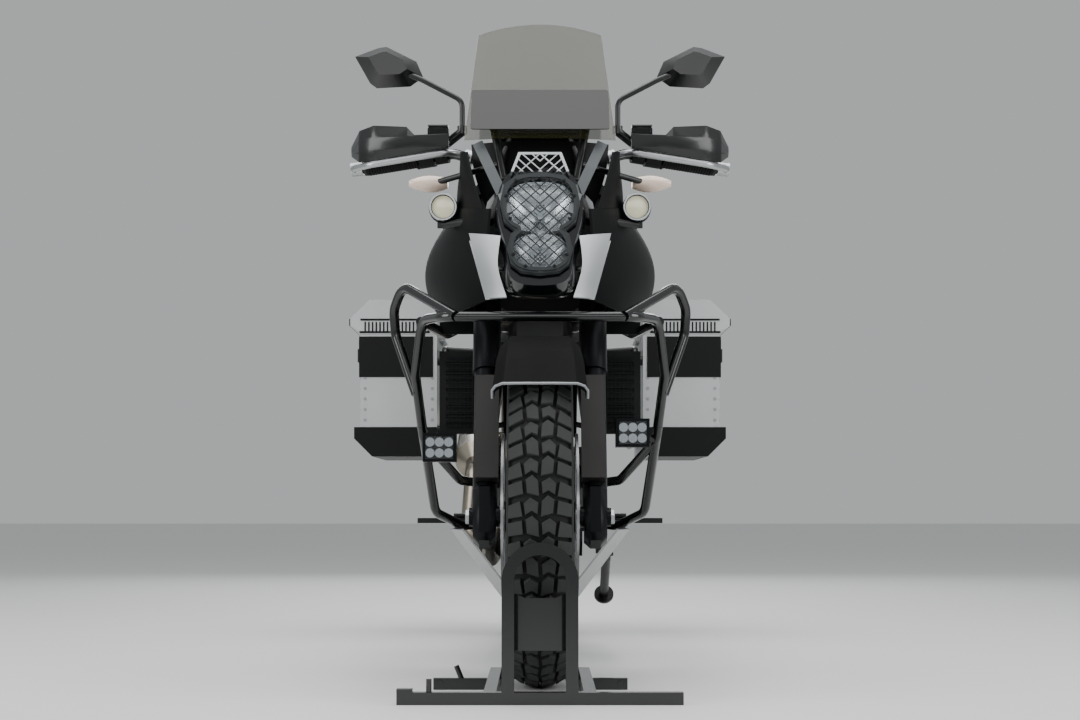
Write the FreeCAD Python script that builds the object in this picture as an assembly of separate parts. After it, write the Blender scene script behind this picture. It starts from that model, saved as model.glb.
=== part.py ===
import FreeCAD
import Part
import math
import os

# Adventure motorcycle held upright by a front wheel chock.
# Millimetres. The bike faces -Y, +X is its left side, +Z is up, and the floor is at zero.
# The origin is on the floor, under the middle of the whole thing.
# On the chassis, y counts back from the front axle and h counts up from it.

V = FreeCAD.Vector
ZERO = V(0, 0, 0)
X_AXIS = V(1, 0, 0)
Y_AXIS = V(0, 1, 0)
Z_AXIS = V(0, 0, 1)
FULL_TURN = 360.0
SIDES = (-1, 1)

# Clearances and overruns that the pieces share
OVERRUN = 5.0
FIT_GAP = 0.3
AXLE_PLAY = 0.08
BEND_ROOM_SHARE = 0.95
EDGE_ALONG_SHARE = 0.62

# Chassis
WHEELBASE = 1560.0
RAKE_DEG = 26.0
FORK_OFFSET = 36.4
TAIL_END_Y = 1950.0

# Wheels
FRONT_TYRE_R = 325.0
FRONT_TYRE_WIDTH = 122.0
FRONT_BEAD_R = 241.0
FRONT_BEAD_WIDTH = 76.0
REAR_TYRE_R = 318.0
REAR_TYRE_WIDTH = 150.0
REAR_BEAD_R = 216.0
REAR_BEAD_WIDTH = 104.0
TYRE_SHOULDER_DROP = 22.0
TYRE_SHOULDER_SHARE = 0.93
TYRE_BELLY_SHARE = 0.58
RIM_LIP = 14.0
RIM_LIP_THICKNESS = 5.0
RIM_WALL = 5.0
RIM_WELL_DEPTH = 16.0
RIM_WELL_SHARE = 0.5
SPOKE_WIDTH = 4.0
SPOKE_GROUPS = 9
SPOKE_LEAN_SHARE = 1.1
SPOKE_SIDE_SHARE = 0.25
SPOKE_CROSS_SHARE = 0.125
SPOKE_SEAT = 1.5
FRONT_HUB_R = 30.0
FRONT_HUB_FLANGE_R = 48.0
REAR_HUB_R = 40.0
REAR_HUB_FLANGE_R = 62.0
REAR_HUB_HALF = 78.0
HUB_FLANGE_THICKNESS = 6.0
HUB_FLANGE_INSET = 22.0
AXLE_R = 12.5
AXLE_HEAD_R = 18.0
AXLE_HEAD_THICKNESS = 8.0
AXLE_COLLAR_R = 20.0

# Brakes
DISC_THICKNESS = 5.0
FRONT_DISC_R = 160.0
FRONT_DISC_BAND = 36.0
REAR_DISC_R = 133.0
REAR_DISC_BAND = 34.0
FRONT_DISC_X = 70.0
REAR_DISC_X = 90.0
DISC_CARRIER_R = 44.0
DISC_ARM_WIDTH = 16.0
DISC_ARMS = 6
CALIPER_THICKNESS = 42.0
CALIPER_LENGTH = 118.0
CALIPER_DEPTH = 60.0
CALIPER_SLOT = 16.0
CALIPER_CHAMFER = 9.0
CALIPER_RIM_REACH = 10.0
CALIPER_RIM_GAP = 5.0
FRONT_CALIPER_DEG = 68.0
REAR_CALIPER_DEG = -52.0
CALIPER_LUG_LENGTH = 84.0
CALIPER_LUG_WIDTH = 32.0
REAR_CALIPER_PLATE = 8.0

# Fork and steering head
FORK_HALF_SPACING = 106.0
FORK_OUTER_R = 28.0
FORK_INNER_R = 24.0
FORK_TOP = 762.0
FORK_OUTER_BOTTOM = 318.0
FORK_SHOE_TOP = 62.0
FORK_SHOE_BOTTOM = -58.0
FORK_SHOE_WIDTH = 44.0
FORK_SHOE_DEPTH = 62.0
FORK_SHOE_CHAMFER = 12.0
FORK_CAP_R = 20.0
FORK_CAP_HEIGHT = 9.0
LOWER_YOKE_H = 500.0
LOWER_YOKE_THICKNESS = 34.0
UPPER_YOKE_H = 722.0
UPPER_YOKE_THICKNESS = 26.0
YOKE_WALL = 11.0
YOKE_WEB_HALF = 20.0
STEM_R = 14.0
HEAD_TUBE_R = 30.0
HEAD_GAP = 1.0
FORK_GUARD_TOP = 292.0
FORK_GUARD_BOTTOM = 66.0
FORK_GUARD_WIDTH = 46.0
FORK_GUARD_INSET = 3.0
FORK_GUARD_FRONT = 38.0
FORK_GUARD_DEPTH = 22.0
FORK_GUARD_WALL = 3.5
FORK_GUARD_TAB = 30.0

# Front fender
FENDER_GAP = 19.0
FENDER_WALL = 3.5
FENDER_HALF_WIDTH = 75.0
FENDER_LIP_HALF_WIDTH = 86.0
FENDER_SKIRT = 34.0
FENDER_CHAMFER = 20.0
FENDER_FRONT_DEG = 46.0
FENDER_REAR_DEG = 60.0
FENDER_STATIONS = 7
FENDER_TAB_LENGTH = 46.0
FENDER_TAB_HEIGHT = 24.0

# Handlebar and what it carries
RISER_HEIGHT = 139.0
RISER_R = 17.0
RISER_SPACING = 46.0
RISER_SETBACK = 19.0
RISER_CLAMP_R = 16.0
BAR_R = 11.0
BAR_CENTRE_HALF = 95.0
BAR_BEND_X = 185.0
BAR_BEND_RISE = 32.0
BAR_BEND_SWEEP = 3.0
BAR_END_X = 384.0
BAR_END_RISE = 31.0
BAR_END_SWEEP = 55.0
BAR_BEND_R = 45.0
GRIP_R = 17.0
GRIP_X = 262.0
GRIP_LENGTH = 118.0
SWITCH_X = 226.0
SWITCH_LENGTH = 32.0
SWITCH_R = 21.0
PERCH_X = 197.0
PERCH_LENGTH = 26.0
PERCH_R = 18.0
PERCH_ARM_R = 9.0
RESERVOIR_X = 217.0
RESERVOIR_WIDTH = 45.0
RESERVOIR_DEPTH = 34.0
RESERVOIR_HEIGHT = 26.0
RESERVOIR_FORWARD = 31.0
RESERVOIR_LIFT = 43.0
RESERVOIR_CHAMFER = 5.0
LEVER_FORWARD = 50.0
LEVER_R = 6.0
LEVER_BEND = 30.0
LEVER_KNEE_X = 238.0
LEVER_TIP_X = 358.0
LEVER_KNOB_R = 9.0
GUARD_BAR_R = 7.0
GUARD_BAR_FORWARD = 76.0
GUARD_BAR_DROP = 9.0
GUARD_BAR_TURN_X = 362.0
GUARD_BAR_END_X = 402.0
GUARD_BAR_INNER_X = 190.0
GUARD_CLAMP_X = 152.0
GUARD_CLAMP_R = 17.0
GUARD_CLAMP_WIDTH = 16.0
GUARD_BAR_BEND = 30.0
BAR_WEIGHT_R = 15.0
HANDGUARD_INNER_X = 192.0
HANDGUARD_WIDTH = 216.0
HANDGUARD_HEIGHT = 76.0
HANDGUARD_REACH = 66.0
HANDGUARD_WALL = 4.0
HANDGUARD_STATION_SHARES = [
    # across, back, then the heights of lower lip, strip foot, strip head and visor edge
    (0.00, 0.00, -0.03, 0.02, 0.34, 0.37),
    (0.34, 0.00, 0.01, 0.14, 0.45, 0.49),
    (0.42, 0.00, 0.01, 0.16, 0.48, 0.77),
    (0.75, 0.03, -0.02, 0.24, 0.58, 0.97),
    (0.90, 0.30, 0.04, 0.29, 0.61, 0.93),
    (1.00, 0.96, 0.34, 0.44, 0.54, 0.60),
]
HANDGUARD_LIP_SHARE = 0.10
HANDGUARD_VISOR_SHARE = 0.35
MIRROR_FOOT_X = 167.0
MIRROR_FOOT_RISE = 52.0
MIRROR_KNEE_RISE = 66.0
MIRROR_STALK_R = 6.0
MIRROR_STALK_BEND = 24.0
MIRROR_NECK_X = 253.0
MIRROR_NECK_Y = 462.0
MIRROR_NECK_H = 939.0
MIRROR_WIDTH = 148.0
MIRROR_HEIGHT = 90.0
MIRROR_DEPTH = 46.0
MIRROR_CROWN_SHARE = 0.56
MIRROR_NECK_R = 11.0
MIRROR_NUT_R = 10.0
MIRROR_OUTLINE_SHARES = [
    (0.0, 0.12), (0.10, 0.50), (0.54, 0.86), (0.66, 0.83), (1.0, 0.62),
    (0.78, -0.02), (0.68, -0.144), (0.19, -0.10),
]

# Main frame
FRAME_TUBE_R = 14.0
FRAME_BRACE_R = 10.0
FRAME_BEND = 50.0
FRAME_HALF_WIDTH = 122.0
FRAME_SHOULDER_Y = 575.0
FRAME_SHOULDER_H = 445.0
FRAME_WAIST_Y = 900.0
FRAME_WAIST_H = 335.0
FRAME_NECK_X = 92.0
FRAME_NECK_Y = 372.0
FRAME_NECK_H = 425.0
FRAME_LOWER_Y = 560.0
FRAME_LOWER_H = 300.0
HEAD_TOP_SHARE = 0.72
HEAD_LOW_SHARE = 0.25
BRACE_SHARES = (0.33, 0.5, 0.66)
PIVOT_Y = 985.0
PIVOT_H = 65.0
PIVOT_PLATE_X = 108.0
PIVOT_PLATE_THICKNESS = 24.0
PIVOT_PLATE_LENGTH = 92.0
PIVOT_PLATE_TOP = 175.0
PIVOT_PLATE_BOTTOM = -45.0

# Subframe, luggage rails and rack
SUBFRAME_R = 12.0
SUBFRAME_X = 98.0
SUBFRAME_BEND = 60.0
SUBFRAME_KINK_Y = 1150.0
SUBFRAME_KINK_H = 408.0
SUBFRAME_REAR_Y = 1740.0
SUBFRAME_REAR_H = 436.0
SUBFRAME_STRUT_SHARE = 0.5
SHOCK_TUBE_SHARE = 0.42
RAIL_R = 8.0
RAIL_X = 246.0
RAIL_INSET = 34.0
RAIL_BEND = 32.0
RAIL_PUCK_R = 12.0
RACK_TOP_H = 655.0
RACK_FRONT_Y = 1612.0
RACK_LENGTH = 232.0
RACK_HALF_WIDTH = 110.0
RACK_PLATE_THICKNESS = 6.0
RACK_TUBE_R = 9.0
RACK_HOLE_R = 4.25
RACK_HOLE_X = 160.0
RACK_HOLE_Y = 140.0
RACK_SLOT_WIDTH = 20.0
RACK_SLOT_LENGTH = 130.0
RACK_SLOT_PITCH = 44.0
RACK_CORNER_R = 24.0
RACK_LEG_INSET = 34.0
GRAB_X = 156.0
GRAB_FRONT_Y = 1390.0
GRAB_FRONT_H = 590.0
GRAB_BEND = 36.0

# Engine
CRANKCASE_HALF_WIDTH = 92.0
CRANKCASE_FRONT_Y = 478.0
CRANKCASE_REAR_Y = 930.0
CRANKCASE_TOP_H = 150.0
CRANKCASE_BOTTOM_H = -88.0
CRANKCASE_CHAMFER = 34.0
CRANK_Y = 655.0
CRANK_H = 62.0
COVER_R = 86.0
COVER_THICKNESS = 40.0
COVER_BEVEL = 14.0
CLUTCH_COVER_R = 98.0
CLUTCH_COVER_SETBACK = 44.0
CYLINDER_WIDTH = 122.0
CYLINDER_DEPTH = 116.0
CYLINDER_LENGTH = 214.0
CYLINDER_LEAN_DEG = 37.0
CYLINDER_START = 100.0
HEAD_WIDTH = 136.0
HEAD_DEPTH = 136.0
HEAD_LENGTH = 86.0
HEAD_CHAMFER = 9.0
CAM_COVER_LENGTH = 26.0
CAM_COVER_INSET = 10.0
CYLINDER_FINS = 6
FIN_THICKNESS = 4.0
FIN_REACH = 7.0
ENGINE_MOUNT_R = 15.0
REAR_LUG_LENGTH = 60.0
REAR_LUG_HEIGHT = 28.0
REAR_LUG_H = -40.0
SPROCKET_POCKET_R = 66.0
SPROCKET_POCKET_X = 80.0

# Exhaust
HEADER_R = 20.0
REAR_HEADER_R = 17.0
HEADER_BEND = 60.0
HEADER_REACH = 46.0
HEADER_SIDE_X = 112.0
HEADER_KEEL_H = -96.0
HEADER_ELBOW_X = 176.0
HEADER_ELBOW_Y = 1010.0
HEADER_ELBOW_H = -52.0
SILENCER_R = 50.0
SILENCER_LENGTH = 430.0
SILENCER_X = 168.0
SILENCER_Y = 1215.0
SILENCER_H = 128.0
SILENCER_RISE_DEG = 16.0
SILENCER_MOUTH_R = 26.0
SILENCER_LIP = 5.0
SILENCER_CAP_LENGTH = 36.0
SILENCER_HANGER_SHARE = 0.46
SILENCER_HANGER_WIDTH = 30.0
SILENCER_HANGER_THICKNESS = 8.0

# Cooling
RADIATOR_INNER_X = 98.0
RADIATOR_WIDTH = 112.0
RADIATOR_Y = 332.0
RADIATOR_DEPTH = 36.0
RADIATOR_BOTTOM_H = 172.0
RADIATOR_HEIGHT = 172.0
RADIATOR_TANK = 14.0
RADIATOR_FINS = 8
RADIATOR_FIN_DEPTH = 4.0
RADIATOR_STAY_R = 6.0
RADIATOR_STAY_REACH = 90.0

# Skid plate
SKID_FRONT_Y = 436.0
SKID_LENGTH = 400.0
SKID_HALF_WIDTH = 196.0
SKID_KEEL_HALF = 84.0
SKID_KEEL_H = -178.0
SKID_EDGE_H = -30.0
SKID_WALL = 4.0
SKID_SLOTS = 3
SKID_SLOT_LENGTH = 52.0
SKID_SLOT_WIDTH = 22.0
SKID_SLOT_PITCH = 96.0
SKID_NOSE_LENGTH = 74.0
SKID_NOSE_RISE = 26.0
SKID_NOSE_SHARE = 0.86
SKID_POST_R = 9.0
SKID_POST_X = 46.0
SKID_POST_INSET = 60.0

# Crash bars
CRASH_R = 10.0
CRASH_BEND = 46.0
CRASH_HALF_WIDTH = 300.0
CRASH_FRONT_Y = 52.0
CRASH_REACH = 400.0
CRASH_TOP_H = 392.0
CRASH_DROP = 310.0
CRASH_MAIN_SHARES = [
    (0.62, 0.06, 0.0), (0.79, 0.32, 0.01), (0.845, 0.44, -0.34), (0.80, 0.60, -0.76),
    (0.57, 0.92, -1.02), (0.27, 1.28, -1.06),
]
CRASH_LOOP_SHARES = [
    (0.55, 0.04, 0.0), (0.93, 0.44, 0.25), (1.0, 0.52, 0.10), (0.99, 0.54, -0.06), (0.845, 0.48, -0.46),
]
CRASH_FOOT_SHARES = [(0.812, 0.56, -0.66), (0.74, 0.86, -1.24), (0.56, 1.20, -1.34), (0.26, 1.34, -1.30)]
CRASH_STAY_SHARES = [(0.80, 0.33, 0.0), (0.66, 0.9, -0.02), (0.41, 1.30, 0.16)]
CRASH_LAMP_POINT = 3

# Swingarm, shock and chain
ARM_INNER_X = 112.0
ARM_THICKNESS = 28.0
ARM_FRONT_HEIGHT = 78.0
ARM_REAR_HEIGHT = 52.0
ARM_REAR_REACH = 62.0
ARM_START = 92.0
ARM_BRIDGE_START = 107.0
ARM_BRIDGE_LENGTH = 60.0
ARM_BRIDGE_HEIGHT = 52.0
ARM_PIVOT_R = 26.0
ARM_LINK_THICKNESS = 26.0
SPOOL_HOLE_R = 5.0
SPOOL_HOLE_DEPTH = 20.0
SPOOL_HOLE_SETBACK = 92.0
SHOCK_EYE_R = 22.0
SHOCK_EYE_WIDTH = 32.0
SHOCK_FOOT_SETBACK = 122.0
SHOCK_BODY_R = 22.0
SHOCK_ROD_R = 9.0
SHOCK_CUP_R = 38.0
SHOCK_SPRING_R = 32.0
SHOCK_COIL_R = 38.0
SHOCK_COILS = 7
SHOCK_CUP_SHARES = ((0.14, 0.19), (0.80, 0.85))
CHAIN_X = 96.0
CHAIN_PITCH = 15.875
CHAIN_ROLLER_R = 5.1
CHAIN_PLATE_HEIGHT = 15.0
CHAIN_PLATE_THICKNESS = 2.2
CHAIN_HALF_WIDTH = 9.0
REAR_TEETH = 42
FRONT_TEETH = 17
TOOTH_GAP = 1.0
SPROCKET_THICKNESS = 6.0
SPROCKET_WINDOW_R = 17.0
FRONT_SPROCKET_Y = 888.0
FRONT_SPROCKET_H = 68.0
OUTPUT_SHAFT_R = 14.0

# Tank, seats and tail
TANK_FRONT_Y = 446.0
TANK_LENGTH = 440.0
TANK_HALF_WIDTH = 228.0
TANK_TOP_H = 662.0
TANK_DEPTH = 235.0
TANK_TUNNEL_GAP = 24.0
CAP_R = 40.0
CAP_HEIGHT = 8.0
CAP_Y = 618.0
SEAT_OVERLAP = 26.0
SEAT_LENGTH = 396.0
SEAT_HALF_WIDTH = 152.0
SEAT_TOP_H = 548.0
SEAT_DEPTH = 78.0
SEAT_GAP = 3.0
PILLION_LENGTH = 344.0
PILLION_HALF_WIDTH = 140.0
PILLION_TOP_H = 618.0
PILLION_DEPTH = 76.0
TAIL_FRONT_Y = 930.0
TAIL_LENGTH = 870.0
TAIL_HALF_WIDTH = 104.0
TAIL_TOP_H = 500.0
TAIL_DEPTH = 100.0
TAIL_LAMP_WIDTH = 84.0
TAIL_LAMP_HEIGHT = 30.0
TAIL_LAMP_DEPTH = 14.0
TAIL_LAMP_CHAMFER = 4.0
FLAP_TOP_Y = 1762.0
FLAP_TOP_H = 470.0
FLAP_BOTTOM_H = 208.0
FLAP_WALL = 4.0
FLAP_TOP_HALF = 66.0
FLAP_BOTTOM_HALF = 92.0
TANK_STATION_SHARES = [
    # along, top, half width, height of the widest point, bottom
    (0.0, -0.36, 0.34, -0.55, -0.80),
    (0.16, -0.04, 0.78, -0.60, -0.96),
    (0.42, 0.0, 1.0, -0.56, -1.0),
    (0.72, -0.10, 0.84, -0.58, -1.0),
    (1.0, -0.44, 0.44, -0.70, -0.90),
]
SEAT_STATION_SHARES = [
    (0.0, 0.10, 0.56, -0.6, -1.0),
    (0.3, -0.06, 0.74, -0.6, -1.0),
    (0.7, 0.0, 1.0, -0.6, -1.0),
    (1.0, 0.34, 0.96, -0.5, -1.0),
]
PILLION_STATION_SHARES = [
    (0.0, -0.1, 0.98, -0.6, -1.1),
    (0.3, 0.0, 1.0, -0.6, -1.0),
    (0.75, 0.0, 0.86, -0.6, -1.0),
    (1.0, -0.08, 0.60, -0.6, -0.9),
]
TAIL_STATION_SHARES = [
    (0.0, 0.10, 0.80, -0.5, -0.8),
    (0.35, 0.10, 1.0, -0.4, -1.0),
    (0.6, 0.60, 0.96, -0.2, -0.9),
    (1.0, 0.70, 0.66, 0.3, 0.0),
]
CROWN_SHARE = 0.22
CROWN_WIDTH_SHARE = 0.62
SILL_SHARE = 0.12
SILL_WIDTH_SHARE = 0.86

# Rear hugger
HUGGER_GAP = 18.0
HUGGER_WALL = 3.0
HUGGER_HALF_WIDTH = 83.0
HUGGER_SKIRT = 40.0
HUGGER_CHAMFER = 24.0
HUGGER_FRONT_DEG = 84.0
HUGGER_REAR_DEG = -8.0
HUGGER_STATIONS = 6
HUGGER_TAB_REACH = 328.0
HUGGER_TAB_LENGTH = 28.0
HUGGER_TAB_LIFT = 40.0
HUGGER_TAB_HEIGHT = 24.0

# Nose, headlight, screen and number plate
STAY_R = 11.0
STAY_ARM_R = 8.0
STAY_H = 628.0
STAY_FRONT_Y = 152.0
STAY_FRONT_H = 594.0
STAY_BEND = 24.0
STAY_POST_X = 92.0
STAY_POST_Y = 176.0
STAY_POST_H = 775.0
STAY_WAIST_SHARE = 0.62
LAMP_Y = 62.0
LAMP_H = 562.0
LAMP_TILT_DEG = 20.0
LAMP_UPPER_HALF = 70.0
LAMP_UPPER_HEIGHT = 60.0
LAMP_LOWER_HALF = 55.0
LAMP_LOWER_HEIGHT = 45.0
LAMP_SPREAD = 100.0
LAMP_DEPTH = 58.0
LAMP_LENS_SETBACK = 8.0
LAMP_SQUARE_SHARE = 0.75
LAMP_OUTLINE_POINTS = 12
LAMP_BEZEL = 8.0
LAMP_BEZEL_DEPTH = 26.0
GRILLE_STANDOFF = 10.0
GRILLE_BAR = 2.4
GRILLE_FRAME = 4.5
GRILLE_PITCH = 19.0
GRILLE_SLOPE = 1.0
GRILLE_POST_R = 3.5
BROW_BOTTOM_HALF = 56.0
BROW_TOP_HALF = 38.0
BROW_HEIGHT = 48.0
COWL_HALF_WIDTH = 92.0
COWL_HEIGHT = 262.0
COWL_LENGTH = 70.0
COWL_WALL = 5.0
COWL_STATION_SHARES = [
    # along, half width, top, bottom
    (0.0, 0.90, 0.50, -0.47),
    (0.5, 1.04, 0.56, -0.50),
    (1.0, 1.16, 0.62, -0.44),
]
COWL_OUTLINE_SHARES = [(0.66, 0.96), (1.0, 0.55), (0.94, 0.05)]
COWL_CHIN_SHARES = [(0.80, 0.35), (0.62, 0.90)]
STRIP_WALL = 5.0
STRIP_X = 141.0
STRIP_Y = 142.0
STRIP_BOTTOM_H = 427.0
STRIP_HEIGHT = 122.0
STRIP_SHARES = [
    # height, inner x, outer x, inner y, outer y
    (1.0, 0.55, 1.0, 0.60, 1.0),
    (0.5, 0.58, 0.88, 0.50, 0.82),
    (0.0, 0.46, 0.76, 0.44, 0.68),
]
STRIP_LUG_R = 6.0
STRIP_LUG_X = 70.0
SHROUD_FRONT_Y = 92.0
SHROUD_LENGTH = 420.0
SHROUD_HALF_WIDTH = 238.0
SHROUD_H = 500.0
SHROUD_HEIGHT = 170.0
SHROUD_WALL = 5.0
SHROUD_STAY_R = 9.0
SHROUD_STATION_SHARES = [
    # along, then half width and height at the top, middle and bottom
    (0.0, 0.42, 0.62, 0.44, 0.10, 0.40, -0.42),
    (0.35, 0.71, 0.76, 0.80, 0.10, 0.73, -0.50),
    (0.7, 0.74, 0.82, 1.0, 0.10, 0.88, -0.46),
    (1.0, 0.86, 0.66, 1.04, 0.08, 0.95, -0.34),
]
SCREEN_BOTTOM_H = 752.0
SCREEN_TOP_H = 1023.0
SCREEN_BOTTOM_Y = 132.0
SCREEN_TOP_Y = 318.0
SCREEN_BOTTOM_HALF = 152.0
SCREEN_TOP_HALF = 128.0
SCREEN_WALL = 4.0
SCREEN_CURVE_R = 470.0
SCREEN_CROWN = 22.0
SCREEN_OVER_SHARE = 0.25
PLATE_WIDTH = 275.0
PLATE_HEIGHT = 110.0
PLATE_THICKNESS = 2.0
PLATE_H = 766.0
PLATE_STANDOFF = 22.0
PLATE_CORNER_R = 6.0
DASH_WIDTH = 170.0
DASH_HEIGHT = 96.0
DASH_DEPTH = 34.0
DASH_Y = 250.0
DASH_H = 798.0
DASH_TILT_DEG = 38.0
DASH_CHAMFER = 7.0

# Lamps and indicators on brackets
SPOT_R = 28.0
SPOT_X = 196.0
SPOT_Y = 196.0
SPOT_H = 625.0
SPOT_DEPTH = 40.0
SPOT_RECESS = 4.0
SPOT_RIM_SHARE = 0.86
SPOT_FOOT = 12.0
WORK_LAMP_WIDTH = 68.0
WORK_LAMP_HEIGHT = 58.0
WORK_LAMP_DEPTH = 44.0
WORK_LAMP_Y = 232.0
WORK_LAMP_PLACES = ((-205.0, 140.0), (189.0, 170.0))
WORK_LAMP_STAY_R = 6.0
INDICATOR_LENGTH = 80.0
INDICATOR_HEIGHT = 34.0
INDICATOR_DEPTH = 30.0
INDICATOR_X = 220.0
INDICATOR_Y = 246.0
INDICATOR_H = 680.0
INDICATOR_STALK_R = 6.0
INDICATOR_SECTION_SHARES = ((0.0, 0.55), (0.4, 1.0), (1.0, 0.35))
REAR_INDICATOR_X = 136.0
REAR_INDICATOR_Y = 1748.0
REAR_INDICATOR_H = 528.0

# Footrests and side stand
PEG_INNER_X = 196.0
PEG_LENGTH = 92.0
PEG_Y = 856.0
PEG_H = -14.0
PEG_HALF_WIDTH = 19.0
PEG_THICKNESS = 12.0
PEG_STUB_R = 10.0
HANGER_THICKNESS = 12.0
HANGER_EDGE = 18.0
PEDAL_R = 6.0
PEDAL_REACH = 165.0
PEDAL_RISE = 12.0
PEDAL_TOE = 52.0
STAND_PIVOT_X = 158.0
STAND_PIVOT_Y = 872.0
STAND_PIVOT_H = -84.0
STAND_LENGTH = 232.0
STAND_R = 11.0
STAND_FOOT_R = 24.0
STAND_FOOT_THICKNESS = 8.0
STAND_FOLDED_SLOPE_DEG = 29.0
STAND_LEAN_DEG = 15.0
STAND_FORWARD_DEG = 8.0
STAND_PIN_R = 8.0
STAND_PIN_HEAD = 4.0
STAND_KNUCKLE_THICKNESS = 14.0
STAND_KNUCKLE_R = 17.0
STAND_NECK = 26.0

# Panniers
PANNIER_INNER_X = 264.0
PANNIER_WIDTH = 196.0
PANNIER_FRONT_Y = 1244.0
PANNIER_LENGTH = 450.0
PANNIER_BOTTOM_H = 150.0
PANNIER_BODY_HEIGHT = 310.0
PANNIER_WALL = 3.0
PANNIER_CHAMFER = 34.0
LID_HEIGHT = 88.0
LID_RIM = 4.0
LID_OVERHANG = 26.0
LID_LIP_HEIGHT = 16.0
LID_CREASE_HEIGHT = 40.0
LID_TOP_INSET = 24.0
HINGE_R = 6.0
HINGE_KNUCKLES = 3
HINGE_KNUCKLE_LENGTH = 60.0
HINGE_GAP = 1.0
TRIM_WALL = 3.0
TRIM_HEIGHT = 72.0
TRIM_FLARE = 16.0
TRIM_CHAMFER = 46.0
BAND_HEIGHT = 104.0
BAND_DROP = 6.0
BAND_INSET = 10.0

# Wheel chock
CHOCK_TUBE = 22.0
CHOCK_BAR_LENGTH = 500.0
CHOCK_HOOP_HEIGHT = 283.0
CHOCK_HOOP_HALF = 67.0
CHOCK_RAIL_X = 88.0
CHOCK_REAR_Y = 168.0
CHOCK_TROUGH_HALF = 26.0
CHOCK_TROUGH_TOP = 186.0
CHOCK_TROUGH_HEIGHT = 92.0
CHOCK_TROUGH_FLARE = 12.0
CHOCK_TROUGH_WALL = 3.0
CHOCK_ARM_Y = -66.0
CHOCK_ARM_LENGTHS = ((-1, 102.0), (1, 66.0))
CHOCK_ARM_THICKNESS = 14.0
CHOCK_DISC_R = 8.0
CHOCK_DISC_THICKNESS = 3.0
CHOCK_PIN_R = 5.0
CHOCK_PIN_LENGTH = 34.0
CHOCK_PIN_LEAN = 14.0
CHOCK_END_CAP = 28.0

# Places worked out from the sizes above
CHOCK_REACH = math.sqrt(FRONT_TYRE_R ** 2 - (FRONT_TYRE_R - CHOCK_HOOP_HEIGHT) ** 2) + FIT_GAP
FRONT_AXLE_Y = (CHOCK_REACH + CHOCK_TUBE - TAIL_END_Y) / 2
REAR_AXLE_Y = FRONT_AXLE_Y + WHEELBASE
RAKE = math.radians(RAKE_DEG)
AXIS_UP = V(0, math.sin(RAKE), math.cos(RAKE))
AXIS_BACK = V(0, math.cos(RAKE), -math.sin(RAKE))
FRONT_HUB_HALF = FRONT_DISC_X - DISC_THICKNESS / 2


def chassis(x, y, h):
    """A point of the chassis: y back from the front axle, h up from it."""
    return V(x, FRONT_AXLE_Y + y, FRONT_TYRE_R + h)


def at_rear(x, y, h):
    """A point counted from the rear axle."""
    return V(x, REAR_AXLE_Y + y, REAR_TYRE_R + h)


def steered(shape):
    """Carries a shape from the fork's own frame, upright with the front axle at zero, to its place."""
    placed = shape.copy()
    placed.rotate(ZERO, X_AXIS, -RAKE_DEG)
    placed.translate(chassis(0, 0, 0))
    return placed


def steered_point(x, y, z):
    """A point of the fork's own frame, in the part's frame."""
    return chassis(x, 0, 0) + AXIS_BACK * y + AXIS_UP * z


def across(p):
    """The same point on the bike's other side."""
    return V(-p.x, p.y, p.z)


def box(x0, x1, y0, y1, z0, z1):
    return Part.makeBox(x1 - x0, y1 - y0, z1 - z0, V(x0, y0, z0))


def block(centre, length, width, height):
    """A box about its centre, with its sizes along x, y and z."""
    corner = centre - V(length / 2, width / 2, height / 2)
    return Part.makeBox(length, width, height, corner)


def bevelled(shape, size):
    return shape.makeChamfer(size, shape.Edges)


def rod(a, b, radius):
    return Part.makeCylinder(radius, (b - a).Length, a, b - a)


def cone(a, b, radius_a, radius_b):
    return Part.makeCone(radius_a, radius_b, (b - a).Length, a, b - a)


def mirrored(shape):
    return shape.mirror(ZERO, X_AXIS)


def both(shape):
    return [shape, mirrored(shape)]


def pair(shape):
    return Part.makeCompound(both(shape))


def fused(shapes):
    return shapes[0].multiFuse(shapes[1:])


def cut(shape, tools):
    return shape.cut(Part.makeCompound(tools))


def seated(shape, carriers):
    """Cuts each solid back to the faces it rests on and drops what would stick out beyond them."""
    tools = Part.makeCompound(carriers)
    pieces = [max(solid.cut(tools).Solids, key=lambda s: s.Volume) for solid in shape.Solids]
    return pieces[0] if len(pieces) == 1 else Part.makeCompound(pieces)


def bent_path(points, bend):
    """Straight runs joined by tangent arcs, tighter where a run is short."""
    edges = []
    start = points[0]
    for before, corner, after in zip(points, points[1:], points[2:]):
        along = (corner - before).normalize()
        onward = (after - corner).normalize()
        half = along.getAngle(onward) / 2
        room = min((corner - before).Length, (after - corner).Length) / 2
        reach = min(bend * math.tan(half), room * BEND_ROOM_SHARE)
        radius = reach / math.tan(half)
        entry = corner - along * reach
        leave = corner + onward * reach
        middle = corner + (onward - along).normalize() * (radius / math.cos(half) - radius)
        edges.append(Part.LineSegment(start, entry).toShape())
        edges.append(Part.Arc(entry, middle, leave).toShape())
        start = leave
    edges.append(Part.LineSegment(start, points[-1]).toShape())
    return Part.Wire(edges)


def tube(points, radius, bend):
    if len(points) == 2:
        return rod(points[0], points[1], radius)
    ring = Part.Wire(Part.makeCircle(radius, points[0], points[1] - points[0]))
    return bent_path(points, bend).makePipeShell([ring], True, False)


def polygon(points):
    return Part.makePolygon(points + points[:1])


def prism(points, direction):
    """A flat outline pushed along a direction."""
    return Part.Face(polygon(points)).extrude(direction)


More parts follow.
